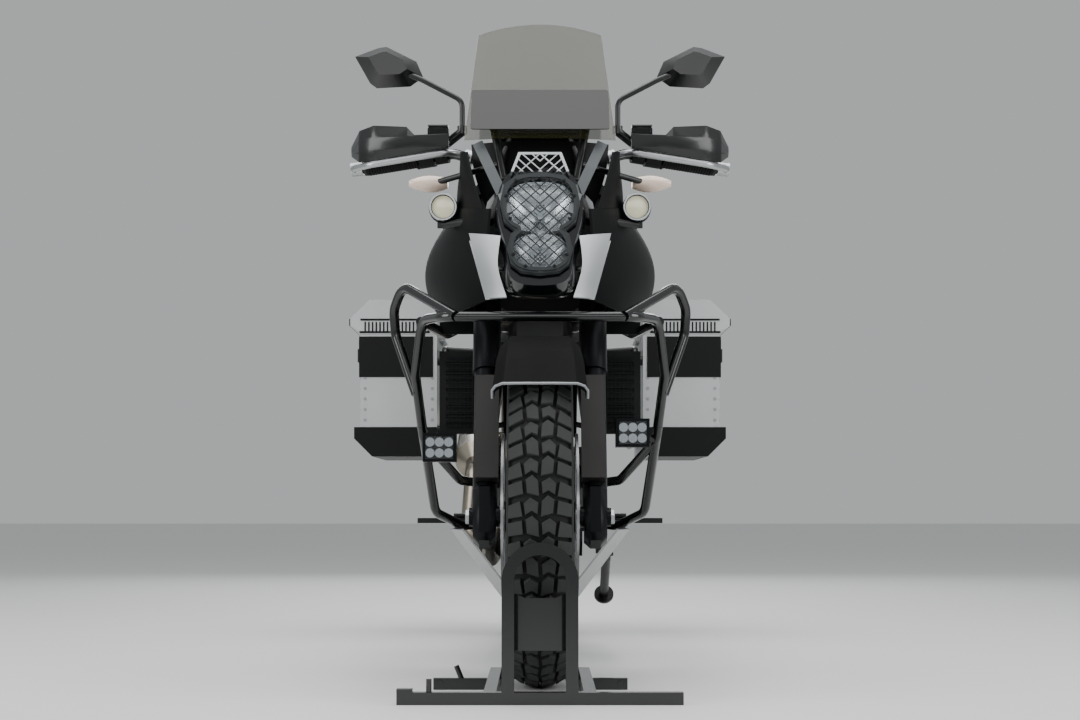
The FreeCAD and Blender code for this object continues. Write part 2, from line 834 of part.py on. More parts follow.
def tapered(front, back):
    """A solid between two outlines of one shape, with a flat side from each edge to its match."""
    faces = [Part.Face(polygon(front)), Part.Face(polygon(back))]
    for a, b, c, d in zip(front, front[1:] + front[:1], back, back[1:] + back[:1]):
        faces.append(Part.Face(polygon([a, b, d, c])))
    shell = Part.makeShell(faces)
    shell.sewShape()
    return Part.makeSolid(shell)


def square_bar(a, b, width):
    """A slim bar of square section between two points."""
    along = (b - a).normalize()
    side = along.cross(X_AXIS).normalize() * (width / 2)
    up = along.cross(side).normalize() * (width / 2)
    return prism([a + side + up, a - side + up, a - side - up, a + side - up], b - a)


def spline(points):
    curve = Part.BSplineCurve()
    curve.interpolate(Points=points)
    return curve.toShape()


def closed_spline(points):
    curve = Part.BSplineCurve()
    curve.interpolate(Points=points, PeriodicFlag=True)
    return Part.Wire(curve.toShape())


def edges_along(shape, axis):
    """The straight edges that run along an axis."""
    return [e for e in shape.Edges if abs(e.tangentAt(e.FirstParameter).dot(axis)) > EDGE_ALONG_SHARE]


# Wheels

def tyre(radius, width, bead_r, bead_width, axle):
    """A solid of revolution: bead, sidewall, shoulder and crowned tread, out to the lugs' tips."""
    half = width / 2
    shoulder = V(half * TYRE_SHOULDER_SHARE, 0, radius - TYRE_SHOULDER_DROP)
    belly = V(half, 0, bead_r + (radius - bead_r) * TYRE_BELLY_SHARE)
    foot = V(bead_width / 2, 0, bead_r)
    lip = V(bead_width / 2, 0, bead_r + RIM_LIP)
    outline = Part.Wire([
        Part.LineSegment(foot, lip).toShape(),
        Part.Arc(lip, belly, shoulder).toShape(),
        Part.Arc(shoulder, V(0, 0, radius), across(shoulder)).toShape(),
        Part.Arc(across(shoulder), across(belly), across(lip)).toShape(),
        Part.LineSegment(across(lip), across(foot)).toShape(),
        Part.LineSegment(across(foot), foot).toShape(),
    ])
    ring = Part.Face(outline).revolve(ZERO, X_AXIS, FULL_TURN)
    ring.translate(axle)
    return ring


def spokes(flange_x, flange_r, rim_x, rim_r):
    """Crossed wire spokes in groups of four: a leading and a trailing one from each flange."""
    bars = []
    step = 2 * math.pi / SPOKE_GROUPS
    for i in range(SPOKE_GROUPS):
        for side in SIDES:
            for lean in SIDES:
                rim_a = step * (i + side * SPOKE_SIDE_SHARE + lean * SPOKE_CROSS_SHARE)
                hub_a = rim_a + lean * step * SPOKE_LEAN_SHARE
                bars.append(square_bar(
                    V(side * flange_x, flange_r * math.cos(hub_a), flange_r * math.sin(hub_a)),
                    V(side * rim_x, rim_r * math.cos(rim_a), rim_r * math.sin(rim_a)),
                    SPOKE_WIDTH))
    return bars


def wire_wheel(bead_r, bead_width, hub_r, flange_r, hub_half, axle):
    """Rim with two lips and a well, hub with two flanges, and crossed spokes between them."""
    bead = bead_width / 2
    lip = bead + RIM_LIP_THICKNESS
    floor_r = bead_r - RIM_WALL
    well = bead * RIM_WELL_SHARE
    outline = [
        V(-lip, 0, bead_r + RIM_LIP), V(-bead, 0, bead_r + RIM_LIP), V(-bead, 0, bead_r),
        V(bead, 0, bead_r), V(bead, 0, bead_r + RIM_LIP), V(lip, 0, bead_r + RIM_LIP),
        V(lip, 0, floor_r), V(well, 0, floor_r - RIM_WELL_DEPTH),
        V(-well, 0, floor_r - RIM_WELL_DEPTH), V(-lip, 0, floor_r),
    ]
    ring = Part.Face(polygon(outline)).revolve(ZERO, X_AXIS, FULL_TURN)
    flange_x = hub_half - HUB_FLANGE_INSET
    hub = rod(V(-hub_half, 0, 0), V(hub_half, 0, 0), hub_r)
    inner_x = flange_x - HUB_FLANGE_THICKNESS
    flanges = [rod(V(s * flange_x, 0, 0), V(s * inner_x, 0, 0), flange_r) for s in SIDES]
    bars = spokes(flange_x - HUB_FLANGE_THICKNESS / 2, flange_r - HUB_FLANGE_THICKNESS,
                  well / 2, floor_r - RIM_WELL_DEPTH + SPOKE_SEAT)
    bore = rod(V(-hub_half - OVERRUN, 0, 0), V(hub_half + OVERRUN, 0, 0), AXLE_R + AXLE_PLAY)
    whole = ring.multiFuse([hub] + flanges + bars).cut(bore)
    whole.translate(axle)
    return whole


def disc(x, outer_r, band, hub_x, axle):
    """A brake disc: outer ring, arms, a carrier, and a spacer down to the hub's end."""
    half = DISC_THICKNESS / 2
    inner_r = outer_r - band
    side = 1 if x > 0 else -1
    ring = rod(V(x - half, 0, 0), V(x + half, 0, 0), outer_r).cut(
        rod(V(x - DISC_THICKNESS, 0, 0), V(x + DISC_THICKNESS, 0, 0), inner_r))
    carrier = rod(V(hub_x * side, 0, 0), V(x + side * half, 0, 0), DISC_CARRIER_R)
    arms = []
    for i in range(DISC_ARMS):
        arm = box(x - half, x + half, -DISC_ARM_WIDTH / 2, DISC_ARM_WIDTH / 2,
                  DISC_CARRIER_R - OVERRUN, inner_r + OVERRUN)
        arm.rotate(ZERO, X_AXIS, i * FULL_TURN / DISC_ARMS)
        arms.append(arm)
    bore = rod(ZERO, V(x + side * DISC_THICKNESS, 0, 0), AXLE_COLLAR_R + FIT_GAP)
    whole = ring.multiFuse([carrier] + arms).cut(bore)
    whole.translate(axle)
    return whole


def sprocket_r(teeth):
    """The circle that a chain's pins lie on."""
    return CHAIN_PITCH / (2 * math.sin(math.pi / teeth))


def rear_sprocket(axle):
    """The driven sprocket, with round windows, on a spacer at the hub's left end."""
    half = SPROCKET_THICKNESS / 2
    tip_r = sprocket_r(REAR_TEETH) - CHAIN_ROLLER_R - TOOTH_GAP
    plate = rod(V(CHAIN_X - half, 0, 0), V(CHAIN_X + half, 0, 0), tip_r)
    spacer = rod(V(REAR_HUB_HALF, 0, 0), V(CHAIN_X - half, 0, 0), DISC_CARRIER_R)
    windows = [rod(V(REAR_HUB_HALF - OVERRUN, 0, 0), V(CHAIN_X + OVERRUN, 0, 0), AXLE_COLLAR_R + FIT_GAP)]
    reach = (tip_r + DISC_CARRIER_R) / 2
    for i in range(DISC_ARMS):
        a = i * 2 * math.pi / DISC_ARMS
        centre = V(CHAIN_X, reach * math.cos(a), reach * math.sin(a))
        windows.append(rod(centre - X_AXIS * OVERRUN, centre + X_AXIS * OVERRUN, SPROCKET_WINDOW_R))
    whole = cut(plate.fuse(spacer), windows)
    whole.translate(axle)
    return whole


def wheels():
    front = chassis(0, 0, 0)
    rear = at_rear(0, 0, 0)
    return {
        "front_tyre": tyre(FRONT_TYRE_R, FRONT_TYRE_WIDTH, FRONT_BEAD_R, FRONT_BEAD_WIDTH, front),
        "front_rim": wire_wheel(FRONT_BEAD_R, FRONT_BEAD_WIDTH, FRONT_HUB_R, FRONT_HUB_FLANGE_R,
                                FRONT_HUB_HALF, front),
        "front_discs": pair(disc(FRONT_DISC_X, FRONT_DISC_R, FRONT_DISC_BAND, FRONT_HUB_HALF, front)),
        "rear_tyre": tyre(REAR_TYRE_R, REAR_TYRE_WIDTH, REAR_BEAD_R, REAR_BEAD_WIDTH, rear),
        "rear_rim": wire_wheel(
            REAR_BEAD_R, REAR_BEAD_WIDTH, REAR_HUB_R, REAR_HUB_FLANGE_R, REAR_HUB_HALF, rear),
        "rear_rotors": Part.makeCompound([
            disc(-REAR_DISC_X, REAR_DISC_R, REAR_DISC_BAND, REAR_HUB_HALF, rear), rear_sprocket(rear)]),
    }


# Fork and fender

def yoke(h, thickness, rear):
    """A triple clamp: a ring round each fork tube and a web between them that carries the stem."""
    x = FORK_HALF_SPACING
    rings = [rod(V(s * x, 0, h), V(s * x, 0, h + thickness), FORK_OUTER_R + YOKE_WALL) for s in SIDES]
    flat = RISER_SPACING + RISER_R
    web = prism([
        V(-x, -YOKE_WEB_HALF, h), V(x, -YOKE_WEB_HALF, h), V(x, YOKE_WEB_HALF, h), V(flat, rear, h),
        V(-flat, rear, h), V(-x, YOKE_WEB_HALF, h)], Z_AXIS * thickness)
    holes = [rod(V(s * x, 0, h - OVERRUN), V(s * x, 0, h + thickness + OVERRUN), FORK_OUTER_R) for s in SIDES]
    return cut(rings[0].multiFuse([rings[1], web]), holes)


def fork():
    """Two upside-down fork legs on one axle, and the yokes that clamp them."""
    x = FORK_HALF_SPACING
    outer = rod(V(x, 0, FORK_OUTER_BOTTOM), V(x, 0, FORK_TOP), FORK_OUTER_R)
    cap = rod(V(x, 0, FORK_TOP), V(x, 0, FORK_TOP + FORK_CAP_HEIGHT), FORK_CAP_R)
    inner = rod(V(x, 0, 0), V(x, 0, FORK_OUTER_BOTTOM), FORK_INNER_R)
    shoe = box(x - FORK_SHOE_WIDTH / 2, x + FORK_SHOE_WIDTH / 2, -FORK_SHOE_DEPTH / 2, FORK_SHOE_DEPTH / 2,
               FORK_SHOE_BOTTOM, FORK_SHOE_TOP)
    end = x + FORK_SHOE_WIDTH / 2
    collar_start = FRONT_DISC_X + DISC_THICKNESS / 2 + FIT_GAP
    collar = rod(V(collar_start, 0, 0), V(x, 0, 0), AXLE_COLLAR_R)
    head = rod(V(x, 0, 0), V(end + AXLE_HEAD_THICKNESS, 0, 0), AXLE_HEAD_R)
    axle = rod(V(-end, 0, 0), V(end, 0, 0), AXLE_R)
    leg = outer.multiFuse([cap, inner, bevelled(shoe, FORK_SHOE_CHAMFER), collar, head])
    web_rear = FORK_OFFSET + HEAD_TUBE_R
    low = yoke(LOWER_YOKE_H, LOWER_YOKE_THICKNESS, web_rear)
    high = yoke(UPPER_YOKE_H, UPPER_YOKE_THICKNESS, web_rear + RISER_SETBACK / 2)
    stem = rod(V(0, FORK_OFFSET, LOWER_YOKE_H), V(0, FORK_OFFSET, UPPER_YOKE_H + UPPER_YOKE_THICKNESS), STEM_R)
    return {"fork_legs": steered(leg.multiFuse([mirrored(leg), axle])),
            "triple_clamps": steered(low.multiFuse([high, stem]))}


def fork_guards():
    """Channel-shaped covers in front of the fork's inner tubes, on a tab each."""
    half = FORK_GUARD_WIDTH / 2
    inside = half - FORK_GUARD_WALL
    x = FORK_HALF_SPACING - FORK_GUARD_INSET
    front = -FORK_GUARD_FRONT
    outer = box(x - half, x + half, front, front + FORK_GUARD_DEPTH, FORK_GUARD_BOTTOM, FORK_GUARD_TOP)
    hollow = box(x - inside, x + inside, front + FORK_GUARD_WALL, front + FORK_GUARD_DEPTH + OVERRUN,
                 FORK_GUARD_BOTTOM - OVERRUN, FORK_GUARD_TOP + OVERRUN)
    tab = box(x - inside, x + inside, front + FORK_GUARD_WALL / 2, 0, FORK_GUARD_BOTTOM,
              FORK_GUARD_BOTTOM + FORK_GUARD_TAB)
    leg = rod(V(FORK_HALF_SPACING, 0, 0), V(FORK_HALF_SPACING, 0, FORK_TOP), FORK_INNER_R)
    return {"fork_guards": pair(steered(seated(outer.cut(hollow).fuse(tab), [leg])))}


def channel_section(half, inner_r, wall, skirt, chamfer):
    """A fender's cross-section over a tyre: top, chamfered corners and two skirts."""
    outer_r = inner_r + wall
    low = inner_r - skirt
    inside = half - wall
    left = [V(half, 0, low), V(half, 0, outer_r - chamfer), V(half - chamfer, 0, outer_r)]
    right = [V(inside - chamfer, 0, inner_r), V(inside, 0, inner_r - chamfer), V(inside, 0, low)]
    outside = left + [across(p) for p in reversed(left)]
    return outside + [across(p) for p in reversed(right)] + right


def arched_fender(halves, inner_r, wall, skirt, chamfer, front_deg, rear_deg):
    """A channel that runs round a wheel from a front to a rear angle, with a half width at each station."""
    wires = []
    last = len(halves[1:])
    for i, half in enumerate(halves):
        wire = polygon(channel_section(half, inner_r, wall, skirt, chamfer))
        wire.rotate(ZERO, X_AXIS, front_deg + (rear_deg - front_deg) * i / last)
        wires.append(wire)
    return Part.makeLoft(wires, True, True)


def front_fender():
    """A channel over the tyre with a flared front lip, on two tabs against the fork."""
    flare = FENDER_LIP_HALF_WIDTH - FENDER_HALF_WIDTH
    halves = [FENDER_HALF_WIDTH + flare * max(0, 1 - i / 2) for i in range(FENDER_STATIONS)]
    arch = arched_fender(halves, FRONT_TYRE_R + FENDER_GAP, FENDER_WALL, FENDER_SKIRT, FENDER_CHAMFER,
                         FENDER_FRONT_DEG, -FENDER_REAR_DEG)
    arch.translate(chassis(0, 0, 0))
    tab = box(FENDER_HALF_WIDTH - FENDER_WALL, FORK_HALF_SPACING, -FENDER_TAB_LENGTH / 2,
              FENDER_TAB_LENGTH / 2, FORK_OUTER_BOTTOM, FORK_OUTER_BOTTOM + FENDER_TAB_HEIGHT)
    leg = rod(V(FORK_HALF_SPACING, 0, 0), V(FORK_HALF_SPACING, 0, FORK_TOP), FORK_OUTER_R)
    return {"front_fender": arch.multiFuse(both(steered(seated(tab, [leg]))))}


def caliper(x, disc_r, degrees):
    """A brake caliper across the disc's edge, turned about the axle."""
    half = CALIPER_THICKNESS / 2
    top = disc_r + CALIPER_RIM_REACH
    body = bevelled(box(x - half, x + half, -CALIPER_LENGTH / 2, CALIPER_LENGTH / 2, top - CALIPER_DEPTH, top),
                    CALIPER_CHAMFER)
    body.rotate(ZERO, X_AXIS, -degrees)
    return body


def disc_room(x, disc_r):
    """The space that a caliper and its bracket leave for the disc."""
    return rod(V(x - CALIPER_SLOT / 2, 0, 0), V(x + CALIPER_SLOT / 2, 0, 0), disc_r + CALIPER_RIM_GAP)


def front_calipers(fork_legs):
    body = caliper(FRONT_DISC_X, FRONT_DISC_R, FRONT_CALIPER_DEG)
    lug = box(FRONT_DISC_X + CALIPER_SLOT / 2, FORK_HALF_SPACING, 0, CALIPER_LUG_LENGTH,
              FORK_SHOE_TOP, FORK_SHOE_TOP + CALIPER_LUG_WIDTH)
    lug.rotate(ZERO, X_AXIS, -RAKE_DEG)
    whole = body.fuse(lug).cut(disc_room(FRONT_DISC_X, FRONT_DISC_R))
    whole.translate(chassis(0, 0, 0))
    return {"front_calipers": seated(pair(whole), [fork_legs])}


# Handlebar and what it carries

def bar_points():
    """The handlebar's bends on the left, from its end to its middle part, in the fork's own frame."""
    y = FORK_OFFSET + RISER_SETBACK
    z = UPPER_YOKE_H + RISER_HEIGHT
    return [
        V(BAR_END_X, y + BAR_END_SWEEP, z + BAR_END_RISE),
        V(BAR_BEND_X, y + BAR_BEND_SWEEP, z + BAR_BEND_RISE),
        V(BAR_CENTRE_HALF, y, z),
    ]


def bar_at(x):
    """The point on the handlebar's line at a distance from the middle, carried on past its end."""
    tip, bend, middle = [steered_point(p.x, p.y, p.z) for p in bar_points()]
    a = tip if x > BAR_BEND_X else middle
    return bend + (a - bend) * ((x - bend.x) / (a.x - bend.x))


def sleeve(x, length, radius):
    """A tube round the handlebar."""
    a = bar_at(x)
    b = bar_at(x + length)
    return rod(a, b, radius).cut(rod(a + (a - b), b + (b - a), BAR_R))


def handlebar():
    """The bent bar with its grips, on two tall risers."""
    points = bar_points()
    bar = tube(points + [across(p) for p in reversed(points)], BAR_R, BAR_BEND_R)
    middle = points[-1]
    pieces = []
    for s in SIDES:
        foot = V(s * RISER_SPACING, middle.y, UPPER_YOKE_H + UPPER_YOKE_THICKNESS)
        head = V(s * RISER_SPACING, middle.y, middle.z)
        pieces.append(rod(foot, head, RISER_R))
        pieces.append(rod(head - X_AXIS * RISER_R, head + X_AXIS * RISER_R, RISER_CLAMP_R))
    grip = rod(bar_at(GRIP_X), bar_at(GRIP_X + GRIP_LENGTH), GRIP_R)
    return {"handlebar": steered(bar.multiFuse(pieces)).multiFuse(both(grip))}


def hand_controls():
    """Switch pods, lever perches with box-shaped reservoirs, and the two levers."""
    pod = sleeve(SWITCH_X, SWITCH_LENGTH, SWITCH_R)
    start = bar_at(PERCH_X)
    end = bar_at(PERCH_X + PERCH_LENGTH)
    seat = (start + end) / 2
    arm_end = seat - Y_AXIS * LEVER_FORWARD
    arm = rod(seat, arm_end, PERCH_ARM_R)
    cup_centre = bar_at(RESERVOIR_X) + V(0, -RESERVOIR_FORWARD, RESERVOIR_LIFT)
    cup = bevelled(block(cup_centre, RESERVOIR_WIDTH, RESERVOIR_DEPTH, RESERVOIR_HEIGHT), RESERVOIR_CHAMFER)
    neck = rod(seat, cup_centre, PERCH_ARM_R)
    knee = bar_at(LEVER_KNEE_X) - Y_AXIS * LEVER_FORWARD
    tip = bar_at(LEVER_TIP_X) - Y_AXIS * LEVER_FORWARD
    lever = tube([arm_end + Y_AXIS * PERCH_ARM_R, knee, tip], LEVER_R, LEVER_BEND)
    knob = Part.makeSphere(LEVER_KNOB_R, tip)
    hole = rod(start + (start - end), end + (end - start), BAR_R)
    whole = rod(start, end, PERCH_R).multiFuse([arm, cup, neck, lever, knob]).cut(hole)
    return {"hand_controls": Part.makeCompound(both(whole) + both(pod))}


def handguard_bar():
    """A bent alloy bar from the handlebar's end forward and in to a clamp beside the risers."""
    ahead = V(0, -GUARD_BAR_FORWARD, -GUARD_BAR_DROP)
    end = bar_at(GUARD_BAR_END_X)
    clamp = bar_at(GUARD_CLAMP_X)
    bar = tube([
        end, end + ahead / 2, bar_at(GUARD_BAR_TURN_X) + ahead, bar_at(GUARD_BAR_INNER_X) + ahead,
        clamp - Y_AXIS * BAR_R], GUARD_BAR_R, GUARD_BAR_BEND)
    weight = rod(bar_at(BAR_END_X), end + X_AXIS * GUARD_BAR_R, BAR_WEIGHT_R)
    collar = sleeve(GUARD_CLAMP_X - GUARD_CLAMP_WIDTH / 2, GUARD_CLAMP_WIDTH, GUARD_CLAMP_R)
    return bar.multiFuse([weight, collar])


def handguard_shield(bar):
    """A faceted plastic shield on the guard's bar, with a visor above and a lip below."""
    front = GUARD_BAR_FORWARD + GUARD_BAR_R + FIT_GAP + HANDGUARD_WALL
    lip = HANDGUARD_HEIGHT * HANDGUARD_LIP_SHARE
    sections = []
    for along, back, low, foot, head, visor in HANDGUARD_STATION_SHARES:
        line = bar_at(HANDGUARD_INNER_X + HANDGUARD_WIDTH * along)
        y = line.y - front + HANDGUARD_REACH * back
        lean = HANDGUARD_HEIGHT * (visor - head) * HANDGUARD_VISOR_SHARE
        heights = [line.z + HANDGUARD_HEIGHT * share for share in (low, foot, head, visor)]
        outer = [V(line.x, y + shift, z) for shift, z in zip((lip, 0, 0, lean), heights)]
        inner = [p + Y_AXIS * HANDGUARD_WALL for p in reversed(outer)]
        sections.append(polygon(outer + inner))
    return Part.makeLoft(sections, True, True).cut(bar)


def handguards(bar_shape):
    bar = seated(handguard_bar(), [bar_shape])
    return {"handguard_bars": pair(bar), "handguards": pair(handguard_shield(bar))}


def mirrors(controls):
    """Kite-shaped mirror shells on bent stalks that stand on the lever perches."""
    start = bar_at(PERCH_X)
    end = bar_at(PERCH_X + PERCH_LENGTH)
    seat = (start + end) / 2
    base = V(MIRROR_FOOT_X, seat.y, seat.z + MIRROR_FOOT_RISE)
    knee = base + Z_AXIS * MIRROR_KNEE_RISE
    neck = chassis(MIRROR_NECK_X, MIRROR_NECK_Y, MIRROR_NECK_H)
    stalk = tube([base, knee, neck], MIRROR_STALK_R, MIRROR_STALK_BEND)
    nut = rod(seat + Z_AXIS * PERCH_R, base, MIRROR_NUT_R)
    cap = rod(base - Z_AXIS * MIRROR_STALK_R, base + Z_AXIS * MIRROR_NECK_R, MIRROR_NECK_R)
    glass = [neck + V(MIRROR_WIDTH * a, MIRROR_DEPTH / 2, MIRROR_HEIGHT * b)
             for a, b in MIRROR_OUTLINE_SHARES]
    middle = sum(glass, V(0, 0, 0)) / len(glass)
    back = [middle + (p - middle) * MIRROR_CROWN_SHARE - Y_AXIS * MIRROR_DEPTH for p in glass]
    head = tapered(glass, back)
    joint = rod(neck - X_AXIS * MIRROR_NECK_R, neck + X_AXIS * MIRROR_NECK_R, MIRROR_NECK_R)
    stem = rod(neck, middle - Y_AXIS * MIRROR_DEPTH / 2, MIRROR_STALK_R)
    whole = stalk.multiFuse([head, joint, stem, nut, cap])
    return {"mirrors": seated(pair(whole), [controls])}


# Wheel chock

def chock_trough(front, back, inner):
    """The V-shaped plate inside the hoop, its upper edge lower in the middle."""
    face = front + CHOCK_TUBE / 2
    wall = CHOCK_TROUGH_WALL
    top = CHOCK_TROUGH_TOP
    low = top - CHOCK_TROUGH_HEIGHT
    half = CHOCK_TROUGH_HALF
    flare = CHOCK_TROUGH_FLARE
    plate = prism([
        V(-inner, back - wall, low), V(-half, face, low), V(half, face, low), V(inner, back - wall, low),
        V(inner, back, low), V(half, face + wall, low), V(-half, face + wall, low), V(-inner, back, low)],
        Z_AXIS * (CHOCK_TROUGH_HEIGHT + flare))
    y = front - OVERRUN
    notch = prism([
        V(-half, y, top), V(half, y, top), V(inner, y, top + flare), V(inner, y, top + 2 * flare),
        V(-inner, y, top + 2 * flare), V(-inner, y, top + flare)], Y_AXIS * 2 * CHOCK_TUBE)
    return plate.cut(notch)


def wheel_chock():
    """The floor stand that grips the front wheel: bars, side rails, hoop, trough plate and anchor arms."""
    half = CHOCK_TUBE / 2
    back = FRONT_AXLE_Y - CHOCK_REACH
    front = back - CHOCK_TUBE
    bar_end = CHOCK_BAR_LENGTH / 2
    rear_y = FRONT_AXLE_Y + CHOCK_REAR_Y
    rail = box(CHOCK_RAIL_X - half, CHOCK_RAIL_X + half, back, rear_y, 0, CHOCK_TUBE)
    spring_z = CHOCK_HOOP_HEIGHT - CHOCK_HOOP_HALF
    inner = CHOCK_HOOP_HALF - CHOCK_TUBE
    arch = box(-CHOCK_HOOP_HALF, CHOCK_HOOP_HALF, front, back, 0, spring_z).fuse(
        rod(V(0, front, spring_z), V(0, back, spring_z), CHOCK_HOOP_HALF))
    inside = box(-inner, inner, front - OVERRUN, back + OVERRUN, CHOCK_TUBE, spring_z).fuse(
        rod(V(0, front - OVERRUN, spring_z), V(0, back + OVERRUN, spring_z), inner))
    pieces = [
        box(-bar_end, bar_end, front, back, 0, CHOCK_TUBE),
        box(-bar_end, CHOCK_END_CAP - bar_end, front, back, 0, CHOCK_END_CAP),
        box(-CHOCK_RAIL_X - half, CHOCK_RAIL_X + half, rear_y - half, rear_y + half, 0, CHOCK_TUBE),
        rail, mirrored(rail), arch.cut(inside), chock_trough(front, back, inner + half)]
    arm_y = FRONT_AXLE_Y + CHOCK_ARM_Y
    for side, length in CHOCK_ARM_LENGTHS:
        start = side * CHOCK_RAIL_X
        end = side * (CHOCK_RAIL_X + half + length)
        pieces.append(box(min(start, end), max(start, end), arm_y, arm_y + CHOCK_ARM_THICKNESS, 0, CHOCK_TUBE))
        boss = V(end - side * half, arm_y, half)
        pieces.append(rod(boss, boss - Y_AXIS * CHOCK_DISC_THICKNESS, CHOCK_DISC_R))
    pin_foot = V(-CHOCK_RAIL_X - 2 * CHOCK_END_CAP, arm_y + CHOCK_ARM_THICKNESS / 2, half)
    pieces.append(rod(pin_foot, pin_foot + V(-CHOCK_PIN_LEAN, 0, CHOCK_PIN_LENGTH), CHOCK_PIN_R))
    post_foot = V(2 * CHOCK_END_CAP - bar_end, (front + back) / 2, half)
    pieces.append(rod(post_foot, post_foot + Z_AXIS * CHOCK_PIN_LENGTH, CHOCK_PIN_R))
    return {"wheel_chock": fused(pieces)}


# Frame and engine

def head_axis():
    """The lower and upper end of the head tube's axis."""
    return (steered_point(0, FORK_OFFSET, LOWER_YOKE_H + LOWER_YOKE_THICKNESS + HEAD_GAP),
            steered_point(0, FORK_OFFSET, UPPER_YOKE_H - HEAD_GAP))


def frame_points():
    """The trellis's main nodes on the left side."""
    low, high = head_axis()
    return {
        "top": low + (high - low) * HEAD_TOP_SHARE,
        "bottom": low + (high - low) * HEAD_LOW_SHARE,
        "shoulder": chassis(FRAME_HALF_WIDTH, FRAME_SHOULDER_Y, FRAME_SHOULDER_H),
        "waist": chassis(FRAME_HALF_WIDTH, FRAME_WAIST_Y, FRAME_WAIST_H),
        "neck": chassis(FRAME_NECK_X, FRAME_NECK_Y, FRAME_NECK_H),
        "lower": chassis(FRAME_HALF_WIDTH, FRAME_LOWER_Y, FRAME_LOWER_H),
        "seat": chassis(PIVOT_PLATE_X + PIVOT_PLATE_THICKNESS / 2, PIVOT_Y, PIVOT_PLATE_TOP - FRAME_TUBE_R),
    }


def main_frame():
    """Trellis frame: steering head, two tube spars a side with braces, and plates at the swingarm's pivot."""
    p = frame_points()
    low, high = head_axis()
    first, middle, last = BRACE_SHARES
    spar = p["seat"] - p["lower"]
    tubes = [
        tube([p["top"], p["shoulder"], p["waist"]], FRAME_TUBE_R, FRAME_BEND),
        tube([p["bottom"], p["neck"], p["lower"], p["seat"]], FRAME_TUBE_R, FRAME_BEND),
        rod(p["waist"], p["seat"], FRAME_TUBE_R),
        rod(p["shoulder"], p["lower"], FRAME_BRACE_R),
        rod(p["shoulder"], p["lower"] + spar * first, FRAME_BRACE_R),
        rod(p["shoulder"] + (p["waist"] - p["shoulder"]) * middle, p["lower"] + spar * first, FRAME_BRACE_R),
        rod(p["waist"], p["lower"] + spar * last, FRAME_BRACE_R),
    ]
    middle_h = (PIVOT_PLATE_TOP + PIVOT_PLATE_BOTTOM) / 2
    plate = block(chassis(PIVOT_PLATE_X + PIVOT_PLATE_THICKNESS / 2, PIVOT_Y, middle_h),
                  PIVOT_PLATE_THICKNESS, PIVOT_PLATE_LENGTH, PIVOT_PLATE_TOP - PIVOT_PLATE_BOTTOM)
    pieces = [rod(low, high, HEAD_TUBE_R)]
    for piece in tubes + [plate]:
        pieces += both(piece)
    bore = rod(low - AXIS_UP * OVERRUN, high + AXIS_UP * OVERRUN, STEM_R + FIT_GAP)
    return {"main_frame": fused(pieces).cut(bore)}


def bank_point(lean, along, out):
    """A point of a cylinder bank seen from the side: along its axis from the crank, and out towards its front."""
    a = math.radians(lean)
    return chassis(0, CRANK_Y - along * math.sin(a) - out * math.cos(a),
                   CRANK_H + along * math.cos(a) - out * math.sin(a))


def cylinder_bank(lean):
    """One cylinder of the V engine: finned barrel, head and cam cover, standing on the crankcase."""
    end = CYLINDER_START + CYLINDER_LENGTH
    x = CYLINDER_WIDTH / 2
    y = CYLINDER_DEPTH / 2
    pieces = [box(-x, x, -y, y, CYLINDER_START, end)]
    for i in range(CYLINDER_FINS):
        z = end - CYLINDER_LENGTH * (i + BRACE_SHARES[1]) / CYLINDER_FINS
        pieces.append(box(-x - FIN_REACH, x + FIN_REACH, -y - FIN_REACH, y + FIN_REACH, z, z + FIN_THICKNESS))
    hx = HEAD_WIDTH / 2
    hy = HEAD_DEPTH / 2
    pieces.append(bevelled(box(-hx, hx, -hy, hy, end, end + HEAD_LENGTH), HEAD_CHAMFER))
    cx = hx - CAM_COVER_INSET
    cy = hy - CAM_COVER_INSET
    pieces.append(bevelled(box(-cx, cx, -cy, cy, end + HEAD_LENGTH - 2 * HEAD_CHAMFER,
                               end + HEAD_LENGTH + CAM_COVER_LENGTH), HEAD_CHAMFER))
    whole = fused(pieces)
    whole.rotate(ZERO, X_AXIS, lean)
    whole.translate(chassis(0, CRANK_Y, CRANK_H))
    return whole


def side_cover(centre, side, radius):
    """A round engine cover with a bevelled rim."""
    rim = centre + X_AXIS * side * (COVER_THICKNESS - COVER_BEVEL)
    end = centre + X_AXIS * side * COVER_THICKNESS
    return rod(centre - X_AXIS * side * OVERRUN, rim, radius).fuse(cone(rim, end, radius, radius - COVER_BEVEL))


